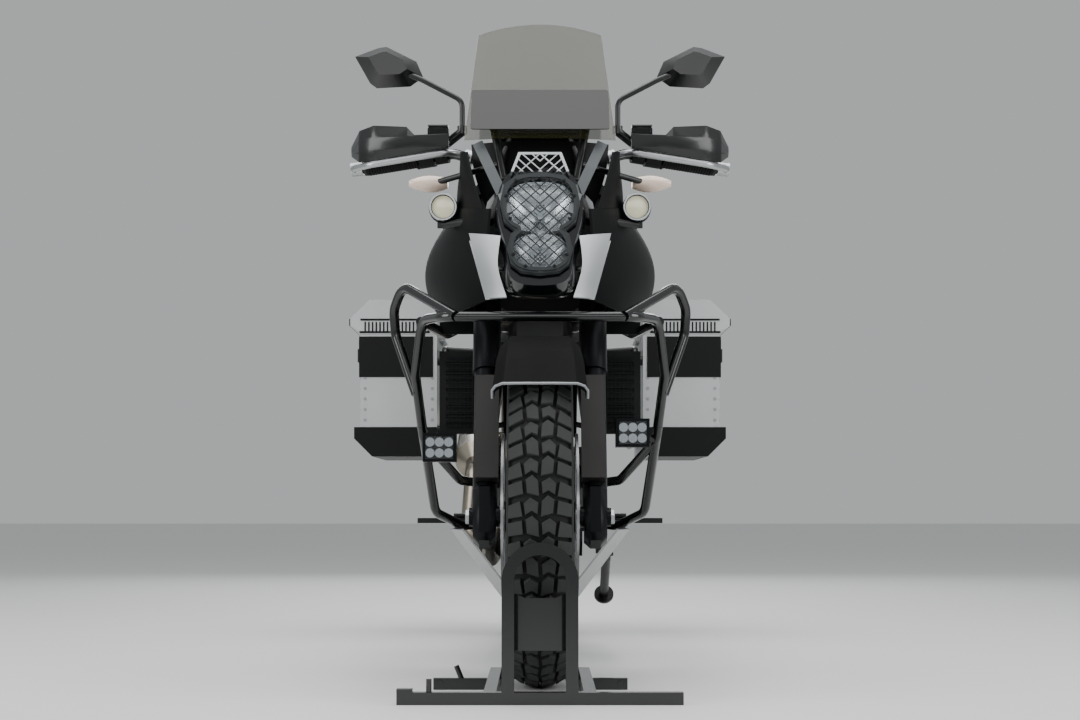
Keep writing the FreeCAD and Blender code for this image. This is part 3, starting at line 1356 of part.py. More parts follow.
def engine(frame):
    """Crankcase, two finned cylinders, side covers, a pocket for the front sprocket and the frame mounts."""
    half = CRANKCASE_HALF_WIDTH
    y1 = FRONT_AXLE_Y + CRANKCASE_REAR_Y
    case = box(-half, half, FRONT_AXLE_Y + CRANKCASE_FRONT_Y, y1,
               FRONT_TYRE_R + CRANKCASE_BOTTOM_H, FRONT_TYRE_R + CRANKCASE_TOP_H)
    case = case.makeChamfer(CRANKCASE_CHAMFER, edges_along(case, X_AXIS))
    centre = chassis(SPROCKET_POCKET_X, FRONT_SPROCKET_Y, FRONT_SPROCKET_H)
    pocket = rod(centre, centre + X_AXIS * half, SPROCKET_POCKET_R).fuse(
        box(SPROCKET_POCKET_X, SPROCKET_POCKET_X + half, centre.y, y1 + OVERRUN,
            centre.z - SPROCKET_POCKET_R, centre.z + SPROCKET_POCKET_R))
    spar = frame_points()
    spar_mount = spar["neck"] + (spar["lower"] - spar["neck"]) / 2
    head_mount = bank_point(CYLINDER_LEAN_DEG, CYLINDER_START + CYLINDER_LENGTH + HEAD_LENGTH / 2, 0)
    lug_y = y1 - REAR_LUG_LENGTH / 2
    lug_z = FRONT_TYRE_R + REAR_LUG_H
    lug = box(half - OVERRUN, PIVOT_PLATE_X, lug_y, lug_y + REAR_LUG_LENGTH, lug_z, lug_z + REAR_LUG_HEIGHT)
    pieces = [cylinder_bank(CYLINDER_LEAN_DEG), cylinder_bank(-CYLINDER_LEAN_DEG),
              side_cover(chassis(half, CRANK_Y, CRANK_H), 1, COVER_R),
              side_cover(chassis(-half, CRANK_Y + CLUTCH_COVER_SETBACK, CRANK_H), -1, CLUTCH_COVER_R)]
    pieces += both(rod(head_mount, spar_mount, ENGINE_MOUNT_R)) + both(lug)
    return {"engine": seated(case.cut(pocket).multiFuse(pieces), [frame])}


def silencer(entry, along):
    """The silencer can with its end caps and open mouth, and a hanger up to the subframe."""
    start = entry + along * SILENCER_CAP_LENGTH
    end = entry + along * (SILENCER_LENGTH - SILENCER_CAP_LENGTH)
    mouth = entry + along * SILENCER_LENGTH
    hang = entry + along * (SILENCER_LENGTH * SILENCER_HANGER_SHARE)
    x = -SUBFRAME_X
    half = SILENCER_HANGER_THICKNESS / 2
    y0 = hang.y - SILENCER_HANGER_WIDTH / 2
    y1 = hang.y + SILENCER_HANGER_WIDTH / 2
    foot_z = hang.z + SILENCER_R / 2
    hanger = box(x - half, x + half, y0, y1, foot_z, FRONT_TYRE_R + SUBFRAME_KINK_H + SUBFRAME_R)
    foot = box(hang.x, x + half, y0, y1, foot_z, foot_z + SILENCER_HANGER_THICKNESS)
    can = rod(start, end, SILENCER_R).multiFuse([
        cone(entry, start, HEADER_R, SILENCER_R),
        cone(end, mouth, SILENCER_R, SILENCER_MOUTH_R + SILENCER_LIP), hanger, foot])
    return can.cut(rod(end, mouth + along * OVERRUN, SILENCER_MOUTH_R))


def exhaust(carriers):
    """Headers from both cylinders into one pipe on the right side, and the silencer beside the wheel."""
    height = CYLINDER_START + CYLINDER_LENGTH + HEAD_LENGTH / 2
    face = HEAD_DEPTH / 2
    side = -HEADER_SIDE_X
    rise = math.radians(SILENCER_RISE_DEG)
    along = V(0, math.cos(rise), math.sin(rise))
    entry = chassis(-SILENCER_X, SILENCER_Y, SILENCER_H)
    approach = entry - along * 2 * SILENCER_R
    front_pipe = tube([
        bank_point(CYLINDER_LEAN_DEG, height, face - HEADER_REACH),
        bank_point(CYLINDER_LEAN_DEG, height, face + HEADER_REACH),
        chassis(side / 2, CRANKCASE_FRONT_Y - 2 * HEADER_R, CRANKCASE_TOP_H),
        chassis(side, CRANKCASE_FRONT_Y - HEADER_R, HEADER_KEEL_H / 2),
        chassis(side, CRANK_Y, HEADER_KEEL_H),
        chassis(side, CRANKCASE_REAR_Y - HEADER_R, HEADER_KEEL_H),
        chassis(-HEADER_ELBOW_X, HEADER_ELBOW_Y, HEADER_ELBOW_H),
        approach, entry + along * OVERRUN], HEADER_R, HEADER_BEND)
    rear_pipe = tube([
        bank_point(-CYLINDER_LEAN_DEG, height, HEADER_REACH - face),
        bank_point(-CYLINDER_LEAN_DEG, height, -face - HEADER_REACH),
        chassis(-PIVOT_PLATE_X, PIVOT_Y + PIVOT_PLATE_LENGTH / 2 + 2 * REAR_HEADER_R,
                PIVOT_PLATE_TOP - REAR_HEADER_R),
        (approach + entry) / 2], REAR_HEADER_R, HEADER_BEND)
    return {"exhaust": seated(front_pipe.multiFuse([rear_pipe, silencer(entry, along)]), carriers)}


def radiators(carriers):
    """Two upright radiators behind the front wheel, each a finned core between two tanks, on stays."""
    x0 = RADIATOR_INNER_X
    x1 = x0 + RADIATOR_WIDTH
    y0 = FRONT_AXLE_Y + RADIATOR_Y
    z0 = FRONT_TYRE_R + RADIATOR_BOTTOM_H
    z1 = z0 + RADIATOR_HEIGHT
    body = box(x0, x1, y0, y0 + RADIATOR_DEPTH, z0, z1)
    pitch = (RADIATOR_HEIGHT - 2 * RADIATOR_TANK) / RADIATOR_FINS
    grooves = []
    for i in range(RADIATOR_FINS):
        z = z0 + RADIATOR_TANK + pitch * i
        grooves.append(box(x0 + RADIATOR_TANK, x1 - RADIATOR_TANK, y0 - OVERRUN, y0 + RADIATOR_FIN_DEPTH,
                           z, z + pitch / 2))
    spar = frame_points()
    hook = spar["neck"] + (spar["lower"] - spar["neck"]) * BRACE_SHARES[0]
    top = V(x0 + 2 * RADIATOR_TANK, y0 + RADIATOR_DEPTH / 2, z1 - OVERRUN)
    low = V(x0 + RADIATOR_TANK, y0 + RADIATOR_DEPTH - OVERRUN, z0 + RADIATOR_TANK)
    barrel = bank_point(CYLINDER_LEAN_DEG, CYLINDER_START + RADIATOR_STAY_REACH, 0)
    stays = [rod(top, hook, RADIATOR_STAY_R), rod(low, barrel, RADIATOR_STAY_R)]
    return {"radiators": seated(pair(cut(body, grooves).multiFuse(stays)), carriers)}


def skid_wire(y, share, rise):
    """The tray's cross-section at one y, its width by a share and its keel by a rise."""
    keel = SKID_KEEL_HALF * share
    edge = SKID_HALF_WIDTH * share
    low = SKID_KEEL_H + rise
    wall = SKID_WALL
    outer = [chassis(edge, y, SKID_EDGE_H), chassis(keel, y, low)]
    inner = [chassis(keel - wall / 2, y, low + wall), chassis(edge - wall, y, SKID_EDGE_H + wall / 2)]
    other_side = [across(p) for p in reversed(outer)] + [across(p) for p in reversed(inner)]
    return polygon(outer + other_side + inner)


def skid_plate(engine_shape):
    """A bent aluminium tray under the engine, slotted in its sloping sides, on four posts."""
    rear = SKID_FRONT_Y + SKID_LENGTH
    tray = Part.makeLoft([
        skid_wire(SKID_FRONT_Y, SKID_NOSE_SHARE, SKID_NOSE_RISE),
        skid_wire(SKID_FRONT_Y + SKID_NOSE_LENGTH, 1, 0), skid_wire(rear, 1, 0)], True, True)
    slope = math.degrees(math.atan2(SKID_EDGE_H - SKID_KEEL_H, SKID_HALF_WIDTH - SKID_KEEL_HALF))
    slots = []
    for i in range(SKID_SLOTS):
        y = SKID_FRONT_Y + SKID_NOSE_LENGTH + SKID_SLOT_PITCH * i + SKID_SLOT_LENGTH / 2
        slot = box(-SKID_SLOT_WIDTH / 2, SKID_SLOT_WIDTH / 2, 0, SKID_SLOT_LENGTH, -2 * OVERRUN, 2 * OVERRUN)
        slot.rotate(ZERO, Y_AXIS, -slope)
        slot.translate(chassis((SKID_HALF_WIDTH + SKID_KEEL_HALF) / 2, y, (SKID_KEEL_H + SKID_EDGE_H) / 2))
        slots += both(slot)
    posts = []
    for y in (SKID_FRONT_Y + SKID_NOSE_LENGTH + SKID_POST_INSET, rear - SKID_POST_INSET):
        posts += both(rod(chassis(SKID_POST_X, y, SKID_KEEL_H + SKID_WALL / 2),
                          chassis(SKID_POST_X, y, CRANKCASE_BOTTOM_H + OVERRUN), SKID_POST_R))
    return {"skid_plate": seated(cut(tray, slots).multiFuse(posts), [engine_shape])}


def crash_points(shares):
    return [chassis(CRASH_HALF_WIDTH * a, CRASH_FRONT_Y + CRASH_REACH * b, CRASH_TOP_H + CRASH_DROP * c)
            for a, b, c in shares]


def crash_bars(carriers):
    """Bent tubes round the nose and the engine's sides, with one cross tube in front of the fork."""
    main = crash_points(CRASH_MAIN_SHARES)
    pieces = [tube([across(p) for p in reversed(main)] + main, CRASH_R, CRASH_BEND)]
    for shares in (CRASH_LOOP_SHARES, CRASH_FOOT_SHARES, CRASH_STAY_SHARES):
        pieces += both(tube(crash_points(shares), CRASH_R, CRASH_BEND))
    return {"crash_bars": seated(fused(pieces), carriers)}


# Swingarm, shock and chain

def swingarm():
    """Two box arms from the pivot to the rear axle, joined by a bridge, with M10 spool holes behind."""
    x0 = ARM_INNER_X
    x1 = x0 + ARM_THICKNESS
    pivot = chassis(0, PIVOT_Y, PIVOT_H)
    start = pivot.y + ARM_START
    axle = at_rear(0, 0, 0)
    hf = ARM_FRONT_HEIGHT / 2
    hr = ARM_REAR_HEIGHT / 2
    rear = axle.y + ARM_REAR_REACH
    arm = prism([V(x0, start, pivot.z - hf), V(x0, rear, axle.z - hr), V(x0, rear, axle.z + hr),
                 V(x0, start, pivot.z + hf)], X_AXIS * ARM_THICKNESS)
    spool = V(x1, axle.y - SPOOL_HOLE_SETBACK, axle.z)
    side = arm.cut(rod(spool - X_AXIS * SPOOL_HOLE_DEPTH, spool + X_AXIS * OVERRUN, SPOOL_HOLE_R))
    sprocket_face = CHAIN_X + SPROCKET_THICKNESS / 2 + FIT_GAP
    disc_face = REAR_DISC_X + DISC_THICKNESS / 2 + FIT_GAP
    head = rod(V(x1, axle.y, axle.z), V(x1 + AXLE_HEAD_THICKNESS, axle.y, axle.z), AXLE_HEAD_R)
    bridge_y = pivot.y + ARM_BRIDGE_START
    low = pivot.z - ARM_BRIDGE_HEIGHT / 2
    high = pivot.z + ARM_BRIDGE_HEIGHT / 2
    bridge = box(-x0 - OVERRUN, x0 + OVERRUN, bridge_y, bridge_y + ARM_BRIDGE_LENGTH, low, high)
    inner = PIVOT_PLATE_X - FIT_GAP
    link = box(inner - ARM_LINK_THICKNESS, inner, pivot.y, bridge_y + OVERRUN, low, high)
    pieces = [
        mirrored(side), bridge, link, mirrored(link), head, mirrored(head),
        rod(pivot - X_AXIS * inner, pivot + X_AXIS * inner, ARM_PIVOT_R),
        rod(V(sprocket_face, axle.y, axle.z), V(x0, axle.y, axle.z), AXLE_COLLAR_R),
        rod(V(-x0, axle.y, axle.z), V(-disc_face, axle.y, axle.z), AXLE_COLLAR_R),
        rod(V(-x1, axle.y, axle.z), V(x1, axle.y, axle.z), AXLE_R)]
    return {"swingarm": side.multiFuse(pieces)}


def around(centre, radius, angle, x):
    """A point of a circle about a centre, seen from the side."""
    return V(x, centre.y + radius * math.cos(angle), centre.z + radius * math.sin(angle))


def chain_loop(front, rear, offset, width):
    """A slab as wide as told, bounded by the chain's loop moved out by an offset."""
    big = sprocket_r(REAR_TEETH)
    small = sprocket_r(FRONT_TEETH)
    gap = rear - front
    base = math.atan2(gap.z, gap.y)
    spread = math.asin((big - small) / gap.Length)
    top = base + math.pi / 2 + spread
    low = base - math.pi / 2 - spread
    rb = big + offset
    rs = small + offset
    x = CHAIN_X - width / 2
    loop = Part.Wire([
        Part.LineSegment(around(front, rs, top, x), around(rear, rb, top, x)).toShape(),
        Part.Arc(around(rear, rb, top, x), around(rear, rb, base, x), around(rear, rb, low, x)).toShape(),
        Part.LineSegment(around(rear, rb, low, x), around(front, rs, low, x)).toShape(),
        Part.Arc(around(front, rs, low, x), around(front, rs, base + math.pi, x),
                 around(front, rs, top, x)).toShape(),
    ])
    return Part.Face(loop).extrude(X_AXIS * width)


def drive_chain(engine_shape):
    """The drive chain as one closed band of plates, with the front sprocket and its shaft inside it."""
    rear = at_rear(0, 0, 0)
    front = chassis(0, FRONT_SPROCKET_Y, FRONT_SPROCKET_H)
    half = CHAIN_PLATE_HEIGHT / 2
    width = 2 * CHAIN_HALF_WIDTH
    band = chain_loop(front, rear, half, width).cut(chain_loop(front, rear, -half, 2 * width))
    band = band.cut(chain_loop(front, rear, -CHAIN_ROLLER_R, width - 4 * CHAIN_PLATE_THICKNESS))
    shaft = rod(front + X_AXIS * (SPROCKET_POCKET_X - OVERRUN), front + X_AXIS * (CHAIN_X + CHAIN_HALF_WIDTH),
                OUTPUT_SHAFT_R)
    wheel = rod(front + X_AXIS * (CHAIN_X - SPROCKET_THICKNESS / 2),
                front + X_AXIS * (CHAIN_X + SPROCKET_THICKNESS / 2), sprocket_r(FRONT_TEETH) - CHAIN_ROLLER_R)
    return {"drive_chain": band.multiFuse([wheel, seated(shaft, [engine_shape])])}


def rear_shock(carriers):
    """The shock absorber from the subframe's cross tube to the swingarm's bridge."""
    top = subframe_point(SHOCK_TUBE_SHARE)
    top.x = 0
    bridge_top = chassis(0, PIVOT_Y + SHOCK_FOOT_SETBACK, PIVOT_H + ARM_BRIDGE_HEIGHT / 2)
    bottom = bridge_top + Z_AXIS * (SHOCK_EYE_R - FIT_GAP)
    along = bottom - top
    half = X_AXIS * SHOCK_EYE_WIDTH / 2
    pieces = [rod(p - half, p + half, SHOCK_EYE_R) for p in (top, bottom)]
    pieces += [rod(top + along * a, top + along * b, SHOCK_CUP_R) for a, b in SHOCK_CUP_SHARES]
    first = SHOCK_CUP_SHARES[0][1]
    last = SHOCK_CUP_SHARES[1][0]
    pitch = (last - first) / SHOCK_COILS
    for i in range(SHOCK_COILS):
        start = top + along * (first + pitch * i)
        crest = start + along * (pitch / 2)
        end = start + along * pitch
        pieces.append(cone(start, crest, SHOCK_SPRING_R, SHOCK_COIL_R))
        pieces.append(cone(crest, end, SHOCK_COIL_R, SHOCK_SPRING_R))
    body = rod(top, top + along * first, SHOCK_BODY_R)
    whole = body.multiFuse([rod(top, bottom, SHOCK_ROD_R)] + pieces)
    return {"rear_shock": seated(whole, carriers)}


# Subframe, rack and rails

def subframe_line():
    """The subframe's upper tube on the left side, from the main frame's waist to its tail end."""
    return [chassis(FRAME_HALF_WIDTH, FRAME_WAIST_Y, FRAME_WAIST_H),
            chassis(SUBFRAME_X, SUBFRAME_KINK_Y, SUBFRAME_KINK_H),
            chassis(SUBFRAME_X, SUBFRAME_REAR_Y, SUBFRAME_REAR_H)]


def subframe_point(share):
    """A point on the subframe's first run."""
    waist, kink, _ = subframe_line()
    return waist + (kink - waist) * share


def rail_loop():
    """The tube loop that a pannier hangs on, with pucks towards the box and braces to the subframe."""
    y0 = PANNIER_FRONT_Y + RAIL_INSET
    y1 = PANNIER_FRONT_Y + PANNIER_LENGTH - RAIL_INSET
    h0 = PANNIER_BOTTOM_H + RAIL_INSET
    h1 = PANNIER_BOTTOM_H + PANNIER_BODY_HEIGHT - RAIL_INSET
    middle = (y0 + y1) / 2
    pieces = [tube([chassis(RAIL_X, middle, h1), chassis(RAIL_X, y0, h1), chassis(RAIL_X, y0, h0),
                    chassis(RAIL_X, y1, h0), chassis(RAIL_X, y1, h1), chassis(RAIL_X, middle - RAIL_R, h1)],
                   RAIL_R, RAIL_BEND)]
    for y in (y0, y1):
        for h in (h0 + RAIL_BEND, h1 - RAIL_BEND):
            foot = chassis(RAIL_X, y, h)
            pieces.append(rod(foot, V(PANNIER_INNER_X, foot.y, foot.z), RAIL_PUCK_R))
    _, kink, rear = subframe_line()
    for y in (y0 + RAIL_BEND, y1 - RAIL_BEND):
        root = kink + (rear - kink) * ((y - SUBFRAME_KINK_Y) / (SUBFRAME_REAR_Y - SUBFRAME_KINK_Y))
        pieces.append(rod(root, chassis(RAIL_X, y, h1), RAIL_R))
    return pieces


def subframe(frame):
    """Two bent upper tubes with struts and cross tubes, and the pannier loops braced to them."""
    waist, kink, rear = subframe_line()
    foot = chassis(PIVOT_PLATE_X + PIVOT_PLATE_THICKNESS / 2,
                   PIVOT_Y + PIVOT_PLATE_LENGTH / 2 - SUBFRAME_R, PIVOT_PLATE_TOP - OVERRUN)
    strut_top = kink + (rear - kink) * SUBFRAME_STRUT_SHARE
    pieces = [rod(across(p), p, SUBFRAME_R) for p in (rear, strut_top, subframe_point(SHOCK_TUBE_SHARE))]
    side = [tube([waist, kink, rear], SUBFRAME_R, SUBFRAME_BEND), rod(foot, strut_top, SUBFRAME_R)]
    for piece in side + rail_loop():
        pieces += both(piece)
    return {"subframe": seated(fused(pieces), [frame])}


def luggage_rack(subframe_shape):
    """A slotted plate over the tail on four legs, with a grab handle along each side."""
    z1 = FRONT_TYRE_R + RACK_TOP_H
    z0 = z1 - RACK_PLATE_THICKNESS
    y0 = FRONT_AXLE_Y + RACK_FRONT_Y
    y1 = y0 + RACK_LENGTH
    plate = box(-RACK_HALF_WIDTH, RACK_HALF_WIDTH, y0, y1, z0, z1)
    plate = plate.makeFillet(RACK_CORNER_R, edges_along(plate, Z_AXIS))
    middle = V(0, (y0 + y1) / 2, z0 - OVERRUN)
    deep = Z_AXIS * (RACK_PLATE_THICKNESS + 2 * OVERRUN)
    tools = []
    for sx in SIDES:
        for sy in SIDES:
            foot = middle + V(sx * RACK_HOLE_X / 2, sy * RACK_HOLE_Y / 2, 0)
            tools.append(rod(foot, foot + deep, RACK_HOLE_R))
    tools += [block(V(x, middle.y, z0), RACK_SLOT_WIDTH, RACK_SLOT_LENGTH, 4 * OVERRUN)
              for x in (-RACK_SLOT_PITCH, 0, RACK_SLOT_PITCH)]
    under = z0 - RACK_TUBE_R + FIT_GAP
    handle = tube([
        V(0, y1 - RACK_LEG_INSET, under), V(GRAB_X, y1 - RACK_LEG_INSET, under),
        chassis(GRAB_X, GRAB_FRONT_Y, GRAB_FRONT_H),
        chassis(SUBFRAME_X, GRAB_FRONT_Y - GRAB_BEND, (SUBFRAME_KINK_H + SUBFRAME_REAR_H) / 2)],
        RACK_TUBE_R, GRAB_BEND)
    legs = [rod(chassis(SUBFRAME_X, y, SUBFRAME_REAR_H - SUBFRAME_R),
                V(SUBFRAME_X, FRONT_AXLE_Y + y, z0 + FIT_GAP), RACK_TUBE_R)
            for y in (RACK_FRONT_Y + RACK_LEG_INSET, SUBFRAME_REAR_Y - RACK_LEG_INSET / 2)]
    pieces = []
    for piece in [handle] + legs:
        pieces += both(piece)
    return {"luggage_rack": seated(cut(plate, tools).multiFuse(pieces), [subframe_shape])}


# Tank, seats and tail

def body_loft(shares, front_y, length, half_width, top_h, depth):
    """A smooth closed form from stations that give its top, widest point and bottom as shares."""
    wires = []
    for along, top, half, widest, bottom in shares:
        x = half_width * half
        y = FRONT_AXLE_Y + front_y + length * along
        high, wide, low = [FRONT_TYRE_R + top_h + depth * share for share in (top, widest, bottom)]
        left = [V(x * CROWN_WIDTH_SHARE, y, high - (high - wide) * CROWN_SHARE), V(x, y, wide),
                V(x * SILL_WIDTH_SHARE, y, low + (wide - low) * SILL_SHARE)]
        right = [across(p) for p in reversed(left)]
        wires.append(closed_spline([V(0, y, high)] + left + [V(0, y, low)] + right))
    return Part.makeLoft(wires, True, False)


def fuel_tank():
    """The tank, with a tunnel over the frame's spars and a raised filler cap."""
    tank = body_loft(TANK_STATION_SHARES, TANK_FRONT_Y, TANK_LENGTH, TANK_HALF_WIDTH, TANK_TOP_H, TANK_DEPTH)
    p = frame_points()
    half = FRAME_HALF_WIDTH + FRAME_TUBE_R + TANK_TUNNEL_GAP
    slope = math.atan2(p["top"].z - p["shoulder"].z, p["shoulder"].y - p["top"].y)
    lift = Z_AXIS * (FRAME_TUBE_R / math.cos(slope) + FIT_GAP)
    deep = Z_AXIS * TANK_DEPTH
    ceiling = [p["top"] + lift, p["shoulder"] + lift, p["waist"] + lift]
    outline = [V(-half, q.y, q.z) for q in ceiling + [p["waist"] - deep, p["top"] - deep * 2]]
    foot = chassis(0, CAP_Y, TANK_TOP_H - CAP_R)
    cap = rod(foot, foot + Z_AXIS * (CAP_R + CAP_HEIGHT), CAP_R)
    return {"fuel_tank": tank.cut(prism(outline, X_AXIS * 2 * half)).fuse(cap)}


def seats(tank):
    """The rider's seat against the tank, and the pillion's behind it."""
    rider_y = TANK_FRONT_Y + TANK_LENGTH - SEAT_OVERLAP
    pillion_y = rider_y + SEAT_LENGTH + SEAT_GAP
    rider = body_loft(SEAT_STATION_SHARES, rider_y, SEAT_LENGTH, SEAT_HALF_WIDTH, SEAT_TOP_H, SEAT_DEPTH)
    pillion = body_loft(PILLION_STATION_SHARES, pillion_y, PILLION_LENGTH, PILLION_HALF_WIDTH, PILLION_TOP_H,
                        PILLION_DEPTH)
    return {"seats": Part.makeCompound([seated(rider, [tank]), pillion])}


def mudflap():
    """A thin flap that hangs back from the tail."""
    wires = []
    for y, h, half in ((FLAP_TOP_Y, TAIL_TOP_H + TAIL_LAMP_HEIGHT, FLAP_TOP_HALF),
                       (FLAP_TOP_Y, FLAP_TOP_H, FLAP_TOP_HALF),
                       (TAIL_END_Y, FLAP_BOTTOM_H, FLAP_BOTTOM_HALF)):
        p = chassis(half, y, h)
        q = p - Y_AXIS * FLAP_WALL
        wires.append(polygon([across(q), q, p, across(p)]))
    return Part.makeLoft(wires, True, True)


def tail(carriers):
    """The tail housing under the seats, the mudflap behind it and the lamp on its end."""
    body = body_loft(TAIL_STATION_SHARES, TAIL_FRONT_Y, TAIL_LENGTH, TAIL_HALF_WIDTH, TAIL_TOP_H, TAIL_DEPTH)
    _, top, _, _, bottom = TAIL_STATION_SHARES[-1]
    middle = chassis(0, TAIL_FRONT_Y + TAIL_LENGTH + TAIL_LAMP_DEPTH / 2,
                     TAIL_TOP_H + TAIL_DEPTH * (top + bottom) / 2)
    lamp = bevelled(block(middle, TAIL_LAMP_WIDTH, TAIL_LAMP_DEPTH, TAIL_LAMP_HEIGHT), TAIL_LAMP_CHAMFER)
    return {"tail_unit": seated(body.fuse(mudflap()), carriers), "tail_lamp": lamp}


def rear_hugger(arm_shape):
    """The inner fender before the rear wheel, on a tab to each arm of the swingarm."""
    arch = arched_fender([HUGGER_HALF_WIDTH] * HUGGER_STATIONS, REAR_TYRE_R + HUGGER_GAP, HUGGER_WALL,
                         HUGGER_SKIRT, HUGGER_CHAMFER, HUGGER_FRONT_DEG, HUGGER_REAR_DEG)
    tab = box(HUGGER_HALF_WIDTH - HUGGER_WALL / 2, ARM_INNER_X, -HUGGER_TAB_REACH,
              HUGGER_TAB_LENGTH - HUGGER_TAB_REACH, HUGGER_TAB_LIFT, HUGGER_TAB_LIFT + HUGGER_TAB_HEIGHT)
    whole = arch.multiFuse(both(tab))
    whole.translate(at_rear(0, 0, 0))
    return {"rear_hugger": seated(whole, [arm_shape])}


def rear_caliper(arm_shape):
    """The rear caliper on a plate between the right arm and the disc."""
    body = caliper(-REAR_DISC_X, REAR_DISC_R, REAR_CALIPER_DEG)
    reach = REAR_DISC_R - CALIPER_DEPTH / 2
    a = math.radians(REAR_CALIPER_DEG)
    y = reach * math.sin(a)
    z = reach * math.cos(a)
    x = -ARM_INNER_X
    plate = prism([V(x, 0, 0), V(x, y, 0), V(x, y, z), V(x, y / 2, z), V(x, 0, 2 * AXLE_COLLAR_R)],
                  X_AXIS * REAR_CALIPER_PLATE)
    whole = body.fuse(plate).cut(disc_room(-REAR_DISC_X, REAR_DISC_R))
    whole.translate(at_rear(0, 0, 0))
    return {"rear_caliper": seated(whole, [arm_shape])}


# Nose, headlight, screen and plate

def lamp_place(shape):
    """Carries a shape from the headlight's own frame, facing -Y and upright, to its tilted place."""
    placed = shape.copy()
    placed.rotate(ZERO, X_AXIS, -LAMP_TILT_DEG)
    placed.translate(chassis(0, LAMP_Y, LAMP_H))
    return placed


def swelled(radius, ratio):
    """One coordinate of a rounded box shape: a circle's ratio pushed out towards its corners."""
    return math.copysign(radius * math.pow(abs(ratio), LAMP_SQUARE_SHARE), ratio)


def lamp_outline(grow, y0, y1):
    """The headlight's figure-of-eight outline as a slab between two depths."""
    parts = []
    for z, half, height in ((LAMP_SPREAD / 2, LAMP_UPPER_HALF, LAMP_UPPER_HEIGHT),
                            (-LAMP_SPREAD / 2, LAMP_LOWER_HALF, LAMP_LOWER_HEIGHT)):
        points = []
        for i in range(LAMP_OUTLINE_POINTS):
            t = 2 * math.pi * i / LAMP_OUTLINE_POINTS
            points.append(V(swelled(half + grow, math.cos(t)), y0, z + swelled(height + grow, math.sin(t))))
        parts.append(prism(points, Y_AXIS * (y1 - y0)))
    return parts[0].fuse(parts[1])


def chevrons(half, z_low, z_high, y0):
    """Bars that run up and out from the middle line on both sides, as a herringbone."""
    bars = []
    rise = half * GRILLE_SLOPE
    tall = Z_AXIS * GRILLE_BAR
    for i in range(int((z_high - z_low + rise) / GRILLE_PITCH)):
        z = z_low - rise + GRILLE_PITCH * (i + 1)
        root = V(0, y0, z)
        tip = V(half, y0, z + rise)
        bars += both(prism([root, tip, tip + tall, root + tall], Y_AXIS * GRILLE_BAR))
    return bars


def brow_outline(grow, y0, depth):
    """The small trapezoid above the headlight's guard."""
    foot = LAMP_SPREAD / 2 + LAMP_UPPER_HEIGHT
    low = BROW_BOTTOM_HALF + grow
    high = BROW_TOP_HALF + grow
    return prism([V(-low, y0, foot), V(low, y0, foot), V(high, y0, foot + BROW_HEIGHT + grow),
                  V(-high, y0, foot + BROW_HEIGHT + grow)], Y_AXIS * depth)


def headlight_guard():
    """The headlight, and its mesh guard: bezel, frame, herringbone bars, posts and the small mesh on top."""
    y0 = -GRILLE_STANDOFF - GRILLE_BAR
    inner = lamp_outline(LAMP_BEZEL / 2, y0, y0 + GRILLE_BAR)
    frame = lamp_outline(LAMP_BEZEL / 2 + GRILLE_FRAME, y0, y0 + GRILLE_BAR).cut(
        lamp_outline(LAMP_BEZEL / 2, y0 - OVERRUN, y0 + OVERRUN))
    low = -LAMP_SPREAD / 2 - LAMP_LOWER_HEIGHT - LAMP_BEZEL
    top = LAMP_SPREAD / 2 + LAMP_UPPER_HEIGHT + BROW_HEIGHT
    field = fused(chevrons(LAMP_UPPER_HALF + LAMP_BEZEL, low, top, y0))
    brow = brow_outline(GRILLE_FRAME, y0, GRILLE_BAR).cut(brow_outline(0, y0 - OVERRUN, 3 * OVERRUN))
    bezel = lamp_outline(LAMP_BEZEL, 0, LAMP_BEZEL_DEPTH).cut(lamp_outline(0, -OVERRUN, LAMP_DEPTH))
    brow_bars = field.common(brow_outline(0, y0, GRILLE_BAR)).cut(inner)
    pieces = [field.common(inner), brow.cut(inner), brow_bars, bezel]
    for z, x in ((LAMP_SPREAD / 2, LAMP_UPPER_HALF), (-LAMP_SPREAD / 2, LAMP_LOWER_HALF)):
        p = V(x + LAMP_BEZEL / 2, 0, z)
        pieces += both(rod(p + Y_AXIS * y0, p + Y_AXIS * OVERRUN, GRILLE_POST_R))
    return {"headlight": lamp_place(lamp_outline(0, LAMP_LENS_SETBACK, LAMP_DEPTH)),
            "headlight_guard": lamp_place(frame.multiFuse(pieces))}


def cowl_wire(y, half, top, bottom, wall):
    """One outline of the nose cowl, wide at the cheeks and narrow at the chin."""
    x = COWL_HALF_WIDTH * half - wall
    high = COWL_HEIGHT * top - wall
    low = COWL_HEIGHT * bottom + wall
    side = [V(x * a, y, high * b) for a, b in COWL_OUTLINE_SHARES]
    side += [V(x * a, y, low * b) for a, b in COWL_CHIN_SHARES]
    return closed_spline([V(0, y, high)] + side + [V(0, y, low)] + [across(p) for p in reversed(side)])


def nose_cowl(carriers):
    """The black surround of the headlight, a short open shell with a front wall round the lamp."""
    outer = []
    inner = []
    for along, half, top, bottom in COWL_STATION_SHARES:
        y = COWL_LENGTH * along
        outer.append(cowl_wire(y, half, top, bottom, 0))
        inner.append(cowl_wire(y + (2 * along - 1) * OVERRUN, half, top, bottom, COWL_WALL))
    solid = Part.makeLoft(outer, True, False)
    wide = 2 * COWL_HALF_WIDTH
    wall = solid.common(box(-wide, wide, 0, COWL_WALL, -COWL_HEIGHT, COWL_HEIGHT))
    shell = solid.cut(Part.makeLoft(inner, True, False))
    return {"nose_cowl": seated(lamp_place(shell.fuse(wall)), carriers)}


